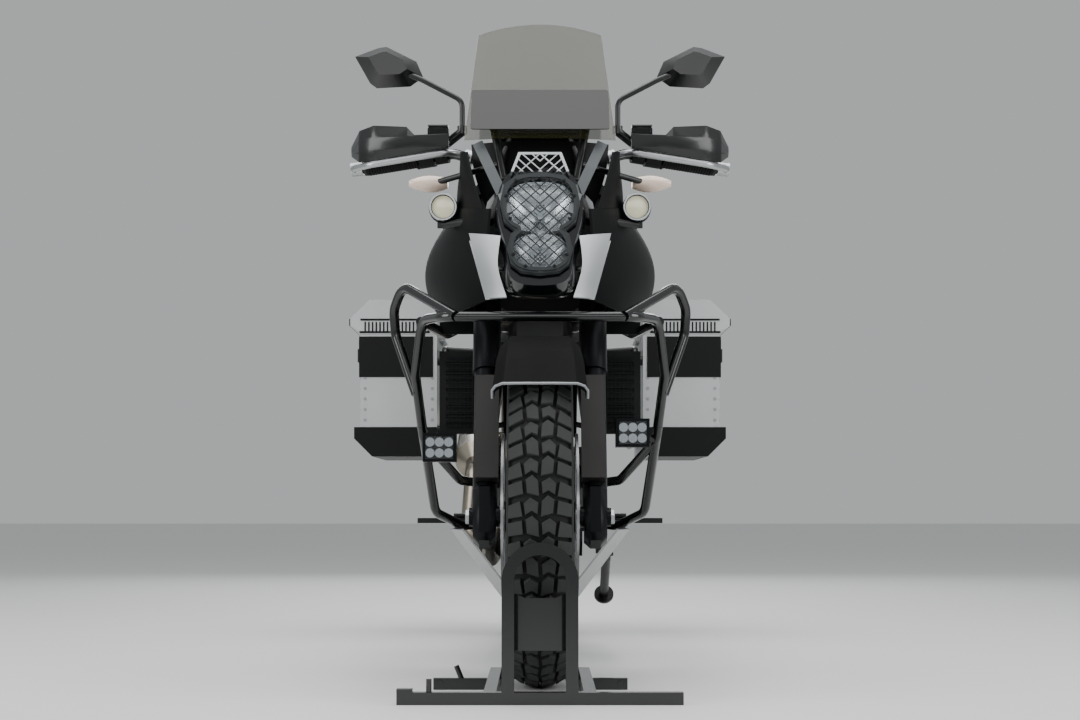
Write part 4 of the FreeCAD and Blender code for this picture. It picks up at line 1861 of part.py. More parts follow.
def nose_strips(carriers):
    """The two bright curved strips beside the headlight, each on a lug to the cowl."""
    wires = []
    for height, inner_x, outer_x, inner_y, outer_y in STRIP_SHARES:
        h = STRIP_BOTTOM_H + STRIP_HEIGHT * height
        front = [chassis(STRIP_X * inner_x, STRIP_Y * inner_y, h),
                 chassis(STRIP_X * outer_x, STRIP_Y * outer_y, h)]
        wires.append(polygon(front + [p + Y_AXIS * STRIP_WALL for p in reversed(front)]))
    _, inner_x, outer_x, inner_y, outer_y = STRIP_SHARES[1]
    back = chassis(STRIP_X * (inner_x + outer_x) / 2, STRIP_Y * (inner_y + outer_y) / 2 + STRIP_WALL / 2,
                   STRIP_BOTTOM_H + STRIP_HEIGHT / 2)
    lug = rod(back, V(STRIP_LUG_X, back.y + 2 * STRIP_WALL, back.z), STRIP_LUG_R)
    return {"nose_strips": seated(pair(Part.makeLoft(wires, True, False).fuse(lug)), carriers)}


def side_shrouds(carriers):
    """Black side fairings from the nose back over the tank's flanks, with a stay to the tank's side."""
    wires = []
    for along, x0, h0, x1, h1, x2, h2 in SHROUD_STATION_SHARES:
        y = SHROUD_FRONT_Y + SHROUD_LENGTH * along
        outer = [chassis(SHROUD_HALF_WIDTH * x, y, SHROUD_H + SHROUD_HEIGHT * h)
                 for x, h in ((x0, h0), (x1, h1), (x2, h2))]
        inner = [p - X_AXIS * SHROUD_WALL for p in reversed(outer)]
        wires.append(Part.Wire([spline(outer), Part.LineSegment(outer[-1], inner[0]).toShape(), spline(inner),
                                Part.LineSegment(inner[-1], outer[0]).toShape()]))
    sheet = Part.makeLoft(wires, True, False)
    y = SHROUD_FRONT_Y + SHROUD_LENGTH - 2 * SHROUD_STAY_R
    stay = rod(chassis(FRAME_HALF_WIDTH, y, SHROUD_H), chassis(SHROUD_HALF_WIDTH + SHROUD_WALL, y, SHROUD_H),
               SHROUD_STAY_R)
    return {"side_shrouds": seated(pair(sheet.fuse(stay)), carriers)}


def screen_point(share):
    """A point on the screen's middle line, from its foot at 0 to its top at 1."""
    return chassis(0, SCREEN_BOTTOM_Y + (SCREEN_TOP_Y - SCREEN_BOTTOM_Y) * share,
                   SCREEN_BOTTOM_H + (SCREEN_TOP_H - SCREEN_BOTTOM_H) * share)


def windscreen():
    """A clear sheet curved across, cut to its outline as seen from the front."""
    low = screen_point(-SCREEN_OVER_SHARE)
    high = screen_point(1 + SCREEN_OVER_SHARE)
    half = SCREEN_BOTTOM_HALF * (1 + SCREEN_OVER_SHARE)
    depth = SCREEN_CURVE_R - math.sqrt(SCREEN_CURVE_R ** 2 - half ** 2)
    front = [low + V(-half, depth, 0), low, low + V(half, depth, 0)]
    back = [p + Y_AXIS * SCREEN_WALL for p in reversed(front)]
    section = Part.Wire([
        Part.Arc(*front).toShape(), Part.LineSegment(front[-1], back[0]).toShape(),
        Part.Arc(*back).toShape(), Part.LineSegment(back[-1], front[0]).toShape()])
    sheet = Part.Face(section).extrude(high - low)
    foot = chassis(SCREEN_BOTTOM_HALF, 0, SCREEN_BOTTOM_H)
    shoulder = chassis(SCREEN_TOP_HALF, 0, SCREEN_TOP_H - SCREEN_CROWN)
    outline = Part.Wire([
        Part.LineSegment(across(foot), foot).toShape(), Part.LineSegment(foot, shoulder).toShape(),
        Part.Arc(shoulder, chassis(0, 0, SCREEN_TOP_H), across(shoulder)).toShape(),
        Part.LineSegment(across(shoulder), across(foot)).toShape()])
    return {"windscreen": sheet.common(Part.Face(outline).extrude(Y_AXIS * (SCREEN_TOP_Y + SCREEN_CURVE_R)))}


def front_plate(screen):
    """A blank number plate before the screen's foot, on two stand-offs."""
    slope = math.degrees(math.atan2(SCREEN_TOP_Y - SCREEN_BOTTOM_Y, SCREEN_TOP_H - SCREEN_BOTTOM_H))
    plate = box(-PLATE_WIDTH / 2, PLATE_WIDTH / 2, -PLATE_THICKNESS, 0, 0, PLATE_HEIGHT)
    plate = plate.makeFillet(PLATE_CORNER_R, edges_along(plate, Y_AXIS))
    posts = [rod(V(s * PLATE_WIDTH / 4, -PLATE_THICKNESS / 2, PLATE_HEIGHT / 2),
                 V(s * PLATE_WIDTH / 4, 2 * PLATE_STANDOFF, PLATE_HEIGHT / 2), PLATE_CORNER_R) for s in SIDES]
    whole = plate.multiFuse(posts)
    whole.rotate(ZERO, X_AXIS, -slope)
    foot = screen_point((PLATE_H - SCREEN_BOTTOM_H) / (SCREEN_TOP_H - SCREEN_BOTTOM_H))
    whole.translate(foot - Y_AXIS * PLATE_STANDOFF)
    return {"front_plate": seated(whole, [screen])}


def dash():
    """The instrument housing behind the screen, tilted towards the rider."""
    body = bevelled(block(ZERO, DASH_WIDTH, DASH_DEPTH, DASH_HEIGHT), DASH_CHAMFER)
    body.rotate(ZERO, X_AXIS, -DASH_TILT_DEG)
    body.translate(chassis(0, DASH_Y, DASH_H))
    return {"dash": body}


def fairing_stay(carriers):
    """The tube bracket ahead of the head tube that carries headlight, screen, dash and front lamps."""
    root = steered_point(0, FORK_OFFSET - (HEAD_TUBE_R + STEM_R) / 2, STAY_H)
    front = chassis(0, STAY_FRONT_Y, STAY_FRONT_H)
    lamp_back = chassis(0, LAMP_Y + LAMP_DEPTH / 2, LAMP_H)
    post = chassis(STAY_POST_X, STAY_POST_Y, STAY_POST_H)
    elbow = front + X_AXIS * STAY_POST_X * STAY_WAIST_SHARE
    waist = elbow + (post - elbow) * STAY_WAIST_SHARE
    spot_foot = chassis(SPOT_X, SPOT_Y + SPOT_DEPTH / 2, SPOT_H - SPOT_R - SPOT_FOOT / 2)
    lamp_end = chassis(INDICATOR_X, INDICATOR_Y, INDICATOR_H)
    dash_end = chassis(DASH_WIDTH / 2 - DASH_DEPTH, DASH_Y, DASH_H)
    side = [
        tube([front, elbow, post], STAY_ARM_R, STAY_BEND),
        rod(post, post - Y_AXIS * 2 * STAY_ARM_R, STAY_ARM_R),
        rod(waist, dash_end, STAY_ARM_R),
        tube([elbow, (elbow + spot_foot) / 2 - Y_AXIS * STAY_BEND, spot_foot], STAY_ARM_R, STAY_BEND),
        rod(waist, lamp_end, INDICATOR_STALK_R),
    ]
    pieces = [rod(front, lamp_back, STAY_R), Part.makeSphere(STAY_R, front)]
    for piece in side:
        pieces += both(piece)
    return {"fairing_stay": seated(rod(root, front, STAY_R).multiFuse(pieces), carriers)}


# Lamps and indicators

def auxiliary_lamps(bars):
    """Two round spot lamps and two square work lamps, each on its bracket."""
    centre = chassis(SPOT_X, SPOT_Y, SPOT_H)
    can = rod(centre, centre + Y_AXIS * SPOT_DEPTH, SPOT_R).cut(
        rod(centre - Y_AXIS * OVERRUN, centre + Y_AXIS * SPOT_RECESS, SPOT_R * SPOT_RIM_SHARE))
    foot = block(centre + V(0, SPOT_DEPTH / 2, -SPOT_R), 2 * SPOT_FOOT, SPOT_FOOT, 2 * SPOT_FOOT)
    lamps = both(can.fuse(foot))
    bar = crash_points(CRASH_MAIN_SHARES)[CRASH_LAMP_POINT]
    for x, h in WORK_LAMP_PLACES:
        middle = chassis(x, WORK_LAMP_Y + WORK_LAMP_DEPTH / 2, h)
        body = block(middle, WORK_LAMP_WIDTH, WORK_LAMP_DEPTH, WORK_LAMP_HEIGHT)
        stay = rod(middle, V(math.copysign(bar.x, x), bar.y, bar.z), WORK_LAMP_STAY_R)
        lamps.append(seated(body.fuse(stay), [bars]))
    return {"auxiliary_lamps": Part.makeCompound(lamps)}


def indicator(centre):
    """A leaf-shaped lamp that tapers outwards."""
    wires = []
    widest = INDICATOR_SECTION_SHARES[1][0]
    for along, scale in INDICATOR_SECTION_SHARES:
        x = centre.x + INDICATOR_LENGTH * (along - widest)
        y = INDICATOR_DEPTH / 2 * scale
        z = INDICATOR_HEIGHT / 2 * scale
        wires.append(closed_spline([V(x, centre.y + y, centre.z), V(x, centre.y, centre.z + z),
                                    V(x, centre.y - y, centre.z), V(x, centre.y, centre.z - z)]))
    return Part.makeLoft(wires, True, False)


def indicators(tail_unit):
    """Four indicators; the rear pair stand on stalks from the tail."""
    centre = chassis(REAR_INDICATOR_X, REAR_INDICATOR_Y, REAR_INDICATOR_H)
    stalk = rod(V(TAIL_HALF_WIDTH / 2, centre.y, centre.z), centre, INDICATOR_STALK_R)
    rear = seated(indicator(centre).fuse(stalk), [tail_unit])
    front = indicator(chassis(INDICATOR_X, INDICATOR_Y, INDICATOR_H))
    return {"indicators": Part.makeCompound(both(front) + both(rear))}


# Footrests and side stand

def stand_directions():
    """Unit vectors along the side stand's leg, folded and down, and the hinge's axis."""
    slope = math.radians(STAND_FOLDED_SLOPE_DEG)
    folded = V(0, math.cos(slope), -math.sin(slope))
    lean = math.radians(STAND_LEAN_DEG)
    forward = math.radians(STAND_FORWARD_DEG)
    down = V(math.sin(lean), -math.sin(forward) * math.cos(lean), -math.cos(forward) * math.cos(lean))
    return folded, down, folded.cross(down).normalize()


def stand_pivot():
    return chassis(STAND_PIVOT_X, STAND_PIVOT_Y, STAND_PIVOT_H)


def side_stand():
    """The side stand folded along the bike: knuckle, flat neck, leg and foot pad."""
    folded, _, axis = stand_directions()
    pivot = stand_pivot()
    half = axis * (STAND_KNUCKLE_THICKNESS / 2)
    side = folded.cross(axis).normalize() * STAND_R
    neck_end = pivot + folded * STAND_NECK
    tip = pivot + folded * STAND_LENGTH
    knuckle = rod(pivot - half, pivot + half, STAND_KNUCKLE_R)
    far = folded * (STAND_NECK + STAND_R)
    neck = prism([pivot - half + side, pivot - half - side, pivot + far - half - side, pivot + far - half + side],
                 half * 2)
    leg = rod(neck_end, tip, STAND_R)
    foot = rod(tip, tip + folded * STAND_FOOT_THICKNESS, STAND_FOOT_R)
    hole = rod(pivot - half * 2, pivot + half * 2, STAND_PIN_R + AXLE_PLAY)
    return {"side_stand": knuckle.multiFuse([neck, leg, foot]).cut(hole)}


def stand_bracket():
    """The pin, cheek and arm that hold the side stand's knuckle."""
    _, _, axis = stand_directions()
    out = axis * math.copysign(1, axis.x)
    pivot = stand_pivot()
    reach = STAND_KNUCKLE_THICKNESS / 2 + FIT_GAP
    deep = reach + HANGER_THICKNESS
    x = PIVOT_PLATE_X + PIVOT_PLATE_THICKNESS
    arm = prism([chassis(x, PIVOT_Y, 0),
                 chassis(x, PIVOT_Y - PIVOT_PLATE_LENGTH / 2, 0),
                 chassis(x, STAND_PIVOT_Y - STAND_KNUCKLE_R / 2, STAND_PIVOT_H + STAND_KNUCKLE_R / 2),
                 chassis(x, STAND_PIVOT_Y + STAND_KNUCKLE_R / 2, STAND_PIVOT_H - STAND_KNUCKLE_R / 2),
                 chassis(x, PIVOT_Y, PIVOT_PLATE_BOTTOM)], X_AXIS * HANGER_THICKNESS)
    return [rod(pivot - out * deep, pivot + out * (reach + STAND_PIN_HEAD), STAND_PIN_R),
            rod(pivot + out * reach, pivot + out * (reach + STAND_PIN_HEAD), STAND_KNUCKLE_R),
            rod(pivot - out * deep, pivot - out * reach, STAND_KNUCKLE_R), arm]


def footrests(frame):
    """Hanger plates on the frame with flat pegs, foot levers, and the side stand's bracket on the left."""
    x0 = PIVOT_PLATE_X + PIVOT_PLATE_THICKNESS
    peg = chassis(PEG_INNER_X, PEG_Y, PEG_H)
    bar = block(peg + X_AXIS * PEG_LENGTH / 2, PEG_LENGTH, 2 * PEG_HALF_WIDTH, PEG_THICKNESS)
    plate = prism([chassis(x0, PIVOT_Y - PIVOT_PLATE_LENGTH / 2, PIVOT_H + HANGER_EDGE),
                   chassis(x0, PIVOT_Y, PIVOT_H - HANGER_EDGE), chassis(x0, PIVOT_Y, 0),
                   chassis(x0, PEG_Y, PEG_H - HANGER_EDGE), chassis(x0, PEG_Y - HANGER_EDGE, PEG_H + HANGER_EDGE)],
                  X_AXIS * HANGER_THICKNESS)
    stub = rod(V(x0, peg.y, peg.z), peg + X_AXIS * OVERRUN, PEG_STUB_R)
    toe = V(x0 + HANGER_THICKNESS, peg.y - PEDAL_REACH, peg.z + PEDAL_RISE)
    pedal = rod(V(toe.x, peg.y, peg.z), toe, PEDAL_R)
    pad = rod(toe, toe + X_AXIS * PEDAL_TOE, PEDAL_R)
    side = plate.multiFuse([stub, bar, pedal, pad])
    left = side.multiFuse(stand_bracket())
    return {"footrests": seated(Part.makeCompound([left, mirrored(side)]), [frame])}


# Panniers

def box_slab(x0, x1, z0, z1, chamfer, y0, y1):
    """A slab across the bike with its lower outer edge cut off."""
    return prism([V(x0, y0, z0), V(x1 - chamfer, y0, z0), V(x1, y0, z0 + chamfer), V(x1, y0, z1), V(x0, y0, z1)],
                 Y_AXIS * (y1 - y0))


def lid_slab(z0, z1, y0, y1, wall):
    """The lid's block: a rim, an overhanging band and a slope up to the flat top, or its hollow."""
    x0 = PANNIER_INNER_X + wall
    x1 = PANNIER_INNER_X + PANNIER_WIDTH - wall
    out = x1 + LID_OVERHANG
    return prism([
        V(x0, y0, z0 - wall), V(x1, y0, z0 - wall), V(x1, y0, z0 + LID_RIM + wall),
        V(out, y0, z0 + LID_RIM + LID_LIP_HEIGHT + wall), V(out, y0, z0 + LID_CREASE_HEIGHT - wall),
        V(x1 - LID_TOP_INSET, y0, z1 - wall), V(x0, y0, z1 - wall)], Y_AXIS * (y1 - y0))


def hinge_axis():
    """The lid hinge's middle point on the left pannier."""
    return chassis(PANNIER_INNER_X - HINGE_R - FIT_GAP, PANNIER_FRONT_Y + PANNIER_LENGTH / 2,
                   PANNIER_BOTTOM_H + PANNIER_BODY_HEIGHT)


def hinge_knuckles(on_lid):
    """The hinge's barrels on the body or on the lid, each with a leaf to its wall."""
    axis = hinge_axis()
    end = PANNIER_INNER_X + PANNIER_WALL / 2
    z0 = axis.z + FIT_GAP if on_lid else axis.z - HINGE_R
    z1 = axis.z + HINGE_R if on_lid else axis.z
    pieces = []
    for i in range(HINGE_KNUCKLES):
        if (i % 2 == 1) == on_lid:
            y0 = axis.y + HINGE_KNUCKLE_LENGTH * (i - HINGE_KNUCKLES / 2) + HINGE_GAP / 2
            y1 = y0 + HINGE_KNUCKLE_LENGTH - HINGE_GAP
            pieces.append(rod(V(axis.x, y0, axis.z), V(axis.x, y1, axis.z), HINGE_R))
            pieces.append(box(axis.x, end, y0, y1, z0, z1))
    return pieces


def panniers():
    """Aluminium boxes, each with a hinged lid, a dark tray below and a dark band round its top."""
    x0 = PANNIER_INNER_X
    x1 = x0 + PANNIER_WIDTH
    y0 = FRONT_AXLE_Y + PANNIER_FRONT_Y
    y1 = y0 + PANNIER_LENGTH
    z0 = FRONT_TYRE_R + PANNIER_BOTTOM_H
    z1 = z0 + PANNIER_BODY_HEIGHT
    wall = PANNIER_WALL
    body = box_slab(x0, x1, z0, z1, PANNIER_CHAMFER, y0, y1).cut(
        box_slab(x0 + wall, x1 - wall, z0 + wall, z1 + OVERRUN, PANNIER_CHAMFER, y0 + wall, y1 - wall))
    lid_z = z1 + FIT_GAP
    lid = lid_slab(lid_z, z1 + LID_HEIGHT, y0 - wall, y1 + wall, 0).cut(
        lid_slab(lid_z, z1 + LID_HEIGHT, y0, y1, wall))
    lid = lid.multiFuse(hinge_knuckles(True))
    skin = TRIM_WALL + FIT_GAP
    tray = box_slab(x0, x1 + TRIM_FLARE, z0 - skin, z0 + TRIM_HEIGHT, TRIM_CHAMFER, y0 - skin, y1 + skin).cut(
        box_slab(x0 - OVERRUN, x1 + FIT_GAP, z0 - FIT_GAP, z0 + TRIM_HEIGHT + OVERRUN, PANNIER_CHAMFER,
                 y0 - FIT_GAP, y1 + FIT_GAP))
    top = z1 - BAND_DROP
    band = box(x0 + BAND_INSET, x1 + skin, y0 - skin, y1 + skin, top - BAND_HEIGHT, top).cut(
        box(x0, x1 + FIT_GAP, y0 - FIT_GAP, y1 + FIT_GAP, top - BAND_HEIGHT - OVERRUN, z1))
    return {
        "panniers": pair(body.multiFuse(hinge_knuckles(False))),
        "lid_left": lid,
        "lid_right": mirrored(lid),
        "pannier_trims": Part.makeCompound(both(tray) + both(band)),
    }


def build():
    """Makes every node. A piece that rests on others is given their shapes."""
    n = {}
    n.update(wheels())
    n.update(fork())
    n.update(fork_guards())
    n.update(front_fender())
    n.update(front_calipers(n["fork_legs"]))
    n.update(handlebar())
    n.update(hand_controls())
    n.update(handguards(n["handlebar"]))
    n.update(mirrors(n["hand_controls"]))
    n.update(wheel_chock())
    n.update(main_frame())
    n.update(engine(n["main_frame"]))
    n.update(subframe(n["main_frame"]))
    n.update(exhaust([n["engine"], n["subframe"]]))
    n.update(radiators([n["main_frame"], n["engine"]]))
    n.update(skid_plate(n["engine"]))
    n.update(crash_bars([n["main_frame"], n["engine"]]))
    n.update(swingarm())
    n.update(drive_chain(n["engine"]))
    n.update(rear_shock([n["subframe"], n["swingarm"]]))
    n.update(luggage_rack(n["subframe"]))
    n.update(fuel_tank())
    n.update(seats(n["fuel_tank"]))
    n.update(tail([n["subframe"], n["seats"], n["luggage_rack"], n["main_frame"]]))
    n.update(rear_hugger(n["swingarm"]))
    n.update(rear_caliper(n["swingarm"]))
    n.update(headlight_guard())
    n.update(windscreen())
    n.update(front_plate(n["windscreen"]))
    n.update(dash())
    n.update(auxiliary_lamps(n["crash_bars"]))
    n.update(indicators(n["tail_unit"]))
    n.update(fairing_stay([n["main_frame"], n["headlight"], n["windscreen"], n["dash"], n["auxiliary_lamps"],
                           n["indicators"]]))
    n.update(nose_cowl([n["headlight"], n["headlight_guard"], n["fairing_stay"]]))
    n.update(nose_strips([n["nose_cowl"]]))
    n.update(side_shrouds([n["fuel_tank"], n["nose_strips"], n["fairing_stay"], n["nose_cowl"],
                           n["auxiliary_lamps"]]))
    n.update(footrests(n["main_frame"]))
    n.update(side_stand())
    n.update(panniers())
    return n


def main():
    os.makedirs("parts", exist_ok=True)
    for name, shape in build().items():
        if not shape.isValid():
            print("not valid:", name)
        shape.exportStep(os.path.join("parts", name + ".step"))


if __name__ == "__main__":
    main()
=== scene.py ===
# %% [markdown]
# An adventure motorcycle, nose to the camera, held upright by a front wheel chock.
# The CAD model is the frame: its nodes are loaded where they are, and nothing here moves them.
# The scene adds finishes, tyre tread, chain links, lamps, fasteners, seats and other small forms.

# %% Load the frame
import bpy
import bmesh
import math
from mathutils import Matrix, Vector


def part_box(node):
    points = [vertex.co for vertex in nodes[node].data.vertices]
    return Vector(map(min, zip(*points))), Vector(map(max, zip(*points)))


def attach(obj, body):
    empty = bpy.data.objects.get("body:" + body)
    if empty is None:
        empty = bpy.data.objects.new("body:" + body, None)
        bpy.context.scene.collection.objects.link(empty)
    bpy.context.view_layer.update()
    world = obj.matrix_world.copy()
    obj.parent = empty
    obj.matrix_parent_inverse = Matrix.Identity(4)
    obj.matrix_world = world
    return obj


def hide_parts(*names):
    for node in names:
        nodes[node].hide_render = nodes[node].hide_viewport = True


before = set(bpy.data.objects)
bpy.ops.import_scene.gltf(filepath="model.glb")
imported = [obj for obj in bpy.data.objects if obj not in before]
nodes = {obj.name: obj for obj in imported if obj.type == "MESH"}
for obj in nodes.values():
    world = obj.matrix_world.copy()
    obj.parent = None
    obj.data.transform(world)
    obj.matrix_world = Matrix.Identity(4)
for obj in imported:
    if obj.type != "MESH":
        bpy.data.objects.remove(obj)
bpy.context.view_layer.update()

# %% [markdown]
# Places on the motorcycle are given as its maker would: y back from the front axle and h up from it.
# The fork has its own upright frame, leaned back by the rake, and so has the headlight.
# All sizes are in millimetres and turned to metres in one place.

# %% Places on the motorcycle
MM = 0.001
RAKE = math.radians(26.0)
LAMP_TILT = math.radians(20.0)
X_AXIS, Y_AXIS, Z_AXIS = Vector((1, 0, 0)), Vector((0, 1, 0)), Vector((0, 0, 1))
SIDES = (-1, 1)


def middle_of(node):
    """The middle of a CAD node's box."""
    low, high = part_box(node)
    return (Vector(low) + Vector(high)) / 2


FRONT_AXLE = middle_of("front_tyre")
REAR_AXLE = middle_of("rear_tyre")


def on_bike(x, y, h):
    """A place measured from the front axle."""
    return FRONT_AXLE + Vector((x, y, h)) * MM


def at_rear(x, y, h):
    """A place measured from the rear axle."""
    return REAR_AXLE + Vector((x, y, h)) * MM


def leaned(origin, angle, x, y, z):
    """A place in a frame about an origin that leans back by an angle."""
    back = Vector((0, math.cos(angle), -math.sin(angle)))
    up = Vector((0, math.sin(angle), math.cos(angle)))
    return origin + (X_AXIS * x + back * y + up * z) * MM


def on_fork(x, y, z):
    """A place in the fork's leaned frame."""
    return leaned(FRONT_AXLE, RAKE, x, y, z)


def on_lamp(x, y, z):
    """A place in the headlight's leaned frame."""
    return leaned(on_bike(0, 62, 562), LAMP_TILT, x, y, z)


def bar_at(x):
    """A point on the handlebar's line, x millimetres from the middle on the left side."""
    tip, bend, middle = on_fork(384, 110.4, 892), on_fork(185, 58.4, 893), on_fork(95, 55.4, 861)
    start = tip if x > 185 else middle
    return bend + (start - bend) * ((x * MM - bend.x) / (start.x - bend.x))


print("front axle", [round(c, 4) for c in FRONT_AXLE], "rear axle", [round(c, 4) for c in REAR_AXLE])

# %% [markdown]
# One function adds a node, with its settings and its links. It serves materials and Geometry Nodes alike.
# A setting is a property of the node or the value of one of its sockets, by name or by number.

# %% Adding a node


def add(tree, kind, settings=None, links=None):
    """A new node of a kind, with its settings made and its inputs linked."""
    node = tree.nodes.new(kind)
    for name, value in (settings or {}).items():
        if isinstance(name, int):
            node.inputs[name].default_value = value
        elif name in node.inputs:
            node.inputs[name].default_value = value
        else:
            setattr(node, name, value)
    for name, (source, output) in (links or {}).items():
        tree.links.new(source.outputs[output], node.inputs[name])
    return node


def linear(hexcode):
    """An sRGB hex colour as linear RGBA."""
    channels = [int(hexcode[i:i + 2], 16) / 255 for i in (1, 3, 5)]
    return tuple(c / 12.92 if c <= 0.04045 else ((c + 0.055) / 1.055) ** 2.4 for c in channels) + (1.0,)


# %% [markdown]
# A finish starts from the real surface: its colour, whether it is bare metal, and how rough it is.
# Grain is a bump whose size in millimetres is that of the real texture, and wear is a slow change of roughness.
# Both patterns read Object coordinates, which are the motorcycle's own millimetres divided by a thousand.

# %% A finish


def finish(name, hexcode, metallic, roughness, grain=0.0, depth=0.0, wear=0.0, coat=0.0, stretch=(1, 1, 1),
           see_through=0.0, ior=1.5, shade=0.0, alpha=1.0, shine=0.5):
    """A material. grain and depth are in millimetres, and stretch draws the grain out along an axis."""
    material = bpy.data.materials.new(name)
    material.use_nodes = True
    tree = material.node_tree
    shader = tree.nodes["Principled BSDF"]
    shader.inputs["Base Color"].default_value = linear(hexcode)
    shader.inputs["Metallic"].default_value = metallic
    shader.inputs["Roughness"].default_value = roughness
    shader.inputs["IOR"].default_value = ior
    shader.inputs["Specular IOR Level"].default_value = shine
    shader.inputs["Coat Weight"].default_value = coat
    shader.inputs["Coat Roughness"].default_value = 0.05
    shader.inputs["Transmission Weight"].default_value = see_through
    shader.inputs["Alpha"].default_value = alpha
    place = add(tree, "ShaderNodeTexCoord")
    drawn = add(tree, "ShaderNodeMapping", {"Scale": stretch}, {"Vector": (place, "Object")})
    if grain:
        noise = add(tree, "ShaderNodeTexNoise", {"Scale": 1000 / grain, "Detail": 2.0},
                    {"Vector": (drawn, "Vector")})
        bump = add(tree, "ShaderNodeBump", {"Strength": 0.6, "Distance": depth * MM}, {"Height": (noise, 0)})
        tree.links.new(bump.outputs["Normal"], shader.inputs["Normal"])
    slow = add(tree, "ShaderNodeTexNoise", {"Scale": 14.0, "Detail": 5.0}, {"Vector": (place, "Object")})
    if wear:
        spread = add(tree, "ShaderNodeMapRange", {"To Min": roughness - wear, "To Max": roughness + wear},
                     {"Value": (slow, 0)})
        tree.links.new(spread.outputs["Result"], shader.inputs["Roughness"])
    if shade:
        dark, light = [tuple(c * k for c in linear(hexcode)[:3]) + (1.0,) for k in (1 - shade, 1 + shade)]
        ramp = add(tree, "ShaderNodeValToRGB", {}, {"Fac": (slow, 0)})
        ramp.color_ramp.elements[0].color = dark
        ramp.color_ramp.elements[1].color = light
        tree.links.new(ramp.outputs["Color"], shader.inputs["Base Color"])
    return material


# %% [markdown]
# The metals. Powder coat is thick and slightly wavy, so its reflections wobble.
# Brushed aluminium has scratches drawn out along the bike, and cast aluminium keeps the sand's grain.
# Anodised tubes are smoother and duller than paint, and stainless steel round the engine yellows with heat.

# %% Metal finishes
# Tubes dipped in thick powder coat: deep black with a slow wobble in every long highlight.
powder_coat = finish("gloss black powder coat", "#08090b", 0.0, 0.22, grain=9, depth=0.05, wear=0.05, coat=0.5)
# Sprayed frame paint: a softer, broader highlight than the powder coat beside it.
frame_paint = finish("satin black frame paint", "#090a0b", 0.0, 0.38, grain=5, depth=0.04, wear=0.08, coat=0.15,
                     shine=0.35)
# Two-layer lacquer on the tank and cowl: sharp reflections that slide over the curves.
lacquer = finish("gloss black lacquer", "#05070a", 0.0, 0.16, grain=40, depth=0.03, wear=0.03, coat=1.0)
# Anodised fork tubes: dark metal, so the highlight keeps the tube's own colour.
anodised = finish("black anodised aluminium", "#141518", 0.8, 0.38, grain=0.8, depth=0.01, wear=0.05)
# Brushed plate and bars: fine scratches along the bike stretch the light into bands.
brushed = finish("brushed aluminium", "#b4b6b8", 1.0, 0.36, grain=1.2, depth=0.03, wear=0.08, stretch=(1, 0.05, 1))
# Rolled sheet of the side boxes: pale, even metal with faint upright streaks.
sheet_aluminium = finish("pannier sheet aluminium", "#c3c5c6", 1.0, 0.44, grain=1.5, depth=0.03, wear=0.07,
                         stretch=(1, 1, 0.06), shade=0.05)
# Coated sand casting of the engine: a rough grain that breaks up the light.
cast_black = finish("coated aluminium casting", "#161719", 0.35, 0.58, grain=1.4, depth=0.12, wear=0.08, shade=0.12)
# Ground brake steel: bright, with a fine even grind.
disc_steel = finish("ground disc steel", "#a6a7a9", 1.0, 0.30, grain=0.9, depth=0.02, wear=0.06)
# Stainless pipes near the engine: a straw tint, uneven from heat.
exhaust_steel = finish("heat-stained stainless steel", "#8f887c", 1.0, 0.34, grain=1.0, depth=0.02, wear=0.08,
                       stretch=(1, 0.08, 1), shade=0.16)
# Oiled chain plates: warm grey metal, darker where the oil sits.
chain_steel = finish("oiled chain steel", "#6b665e", 1.0, 0.42, grain=2.0, depth=0.03, wear=0.1, shade=0.2)
# Lacquered spring: a clean black highlight on each coil.
spring_paint = finish("black spring lacquer", "#141519", 0.0, 0.28, grain=6, depth=0.03, wear=0.05, coat=0.6)
# Zinc plating on bolts, nipples, nuts and the front sprocket: small bright points.
zinc = finish("zinc-plated steel", "#a3a5a8", 1.0, 0.34, grain=0.7, depth=0.01, wear=0.08)
# Black oxide steel of bolts and stone guards: dull, it shows at its edges only. Thin dark discs of it also fill the
# brake discs' holes as painted shade.
black_bolt = finish("black oxide steel", "#1d1e20", 0.7, 0.45, grain=0.7, depth=0.02, wear=0.08)
# Metallised cups and shields in the lamps: mirror bright.
chrome = finish("vacuum-metallised reflector", "#e6e8ea", 1.0, 0.08, grain=14, depth=0.02)
# Silvered glass of the mirrors: a clean mirror with a slow wobble that can hardly be seen.
mirror_silver = finish("silvered mirror glass", "#dfe4e8", 1.0, 0.03, grain=60, depth=0.01)
# Painted radiator fins: nearly black, since little light comes back out of them.
core_metal = finish("radiator fin metal", "#0e0f10", 0.4, 0.6, grain=1.0, depth=0.1, wear=0.08)
# Metallic paint of the nose strips: bright flat areas that frame the headlight.
silver_paint = finish("silver metallic paint", "#b0b3b5", 0.75, 0.40, grain=0.8, depth=0.02, wear=0.06, coat=0.4)
# Powder coat of the headlight guard: dark bars against the bright bowls.
GUARD_DARK, GUARD_PALE = "#24282a", "#c2c6c8"
guard_grey = finish("satin grey powder coat", GUARD_DARK, 0.2, 0.42, grain=3, depth=0.03, wear=0.06)
# Hard-coated fork guards: dark brownish metal with a broad sheen.
hard_coat = finish("dark hard-coated aluminium", "#2a2827", 0.4, 0.46, grain=0.8, depth=0.02, wear=0.05)
# Painted steel straps: mid grey, so they stand out from the black panel behind.
strap_grey = finish("grey painted strap", "#515557", 0.2, 0.42, grain=1.5, depth=0.02, wear=0.05)
# Pale grey bead on the fender's rolled lip: a painted highlight, one light line over the tyre.
fender_lip_highlight = finish("painted highlight on the fender lip", "#8d8f92", 0.4, 0.34, grain=1.5, depth=0.02, wear=0.08)
# Satin reflector of the headlight: light spreads over the whole bowl instead of one spot.
reflector = finish("satin metallised reflector", "#eceeef", 1.0, 0.27, grain=5, depth=0.08)
print("metal finishes made")

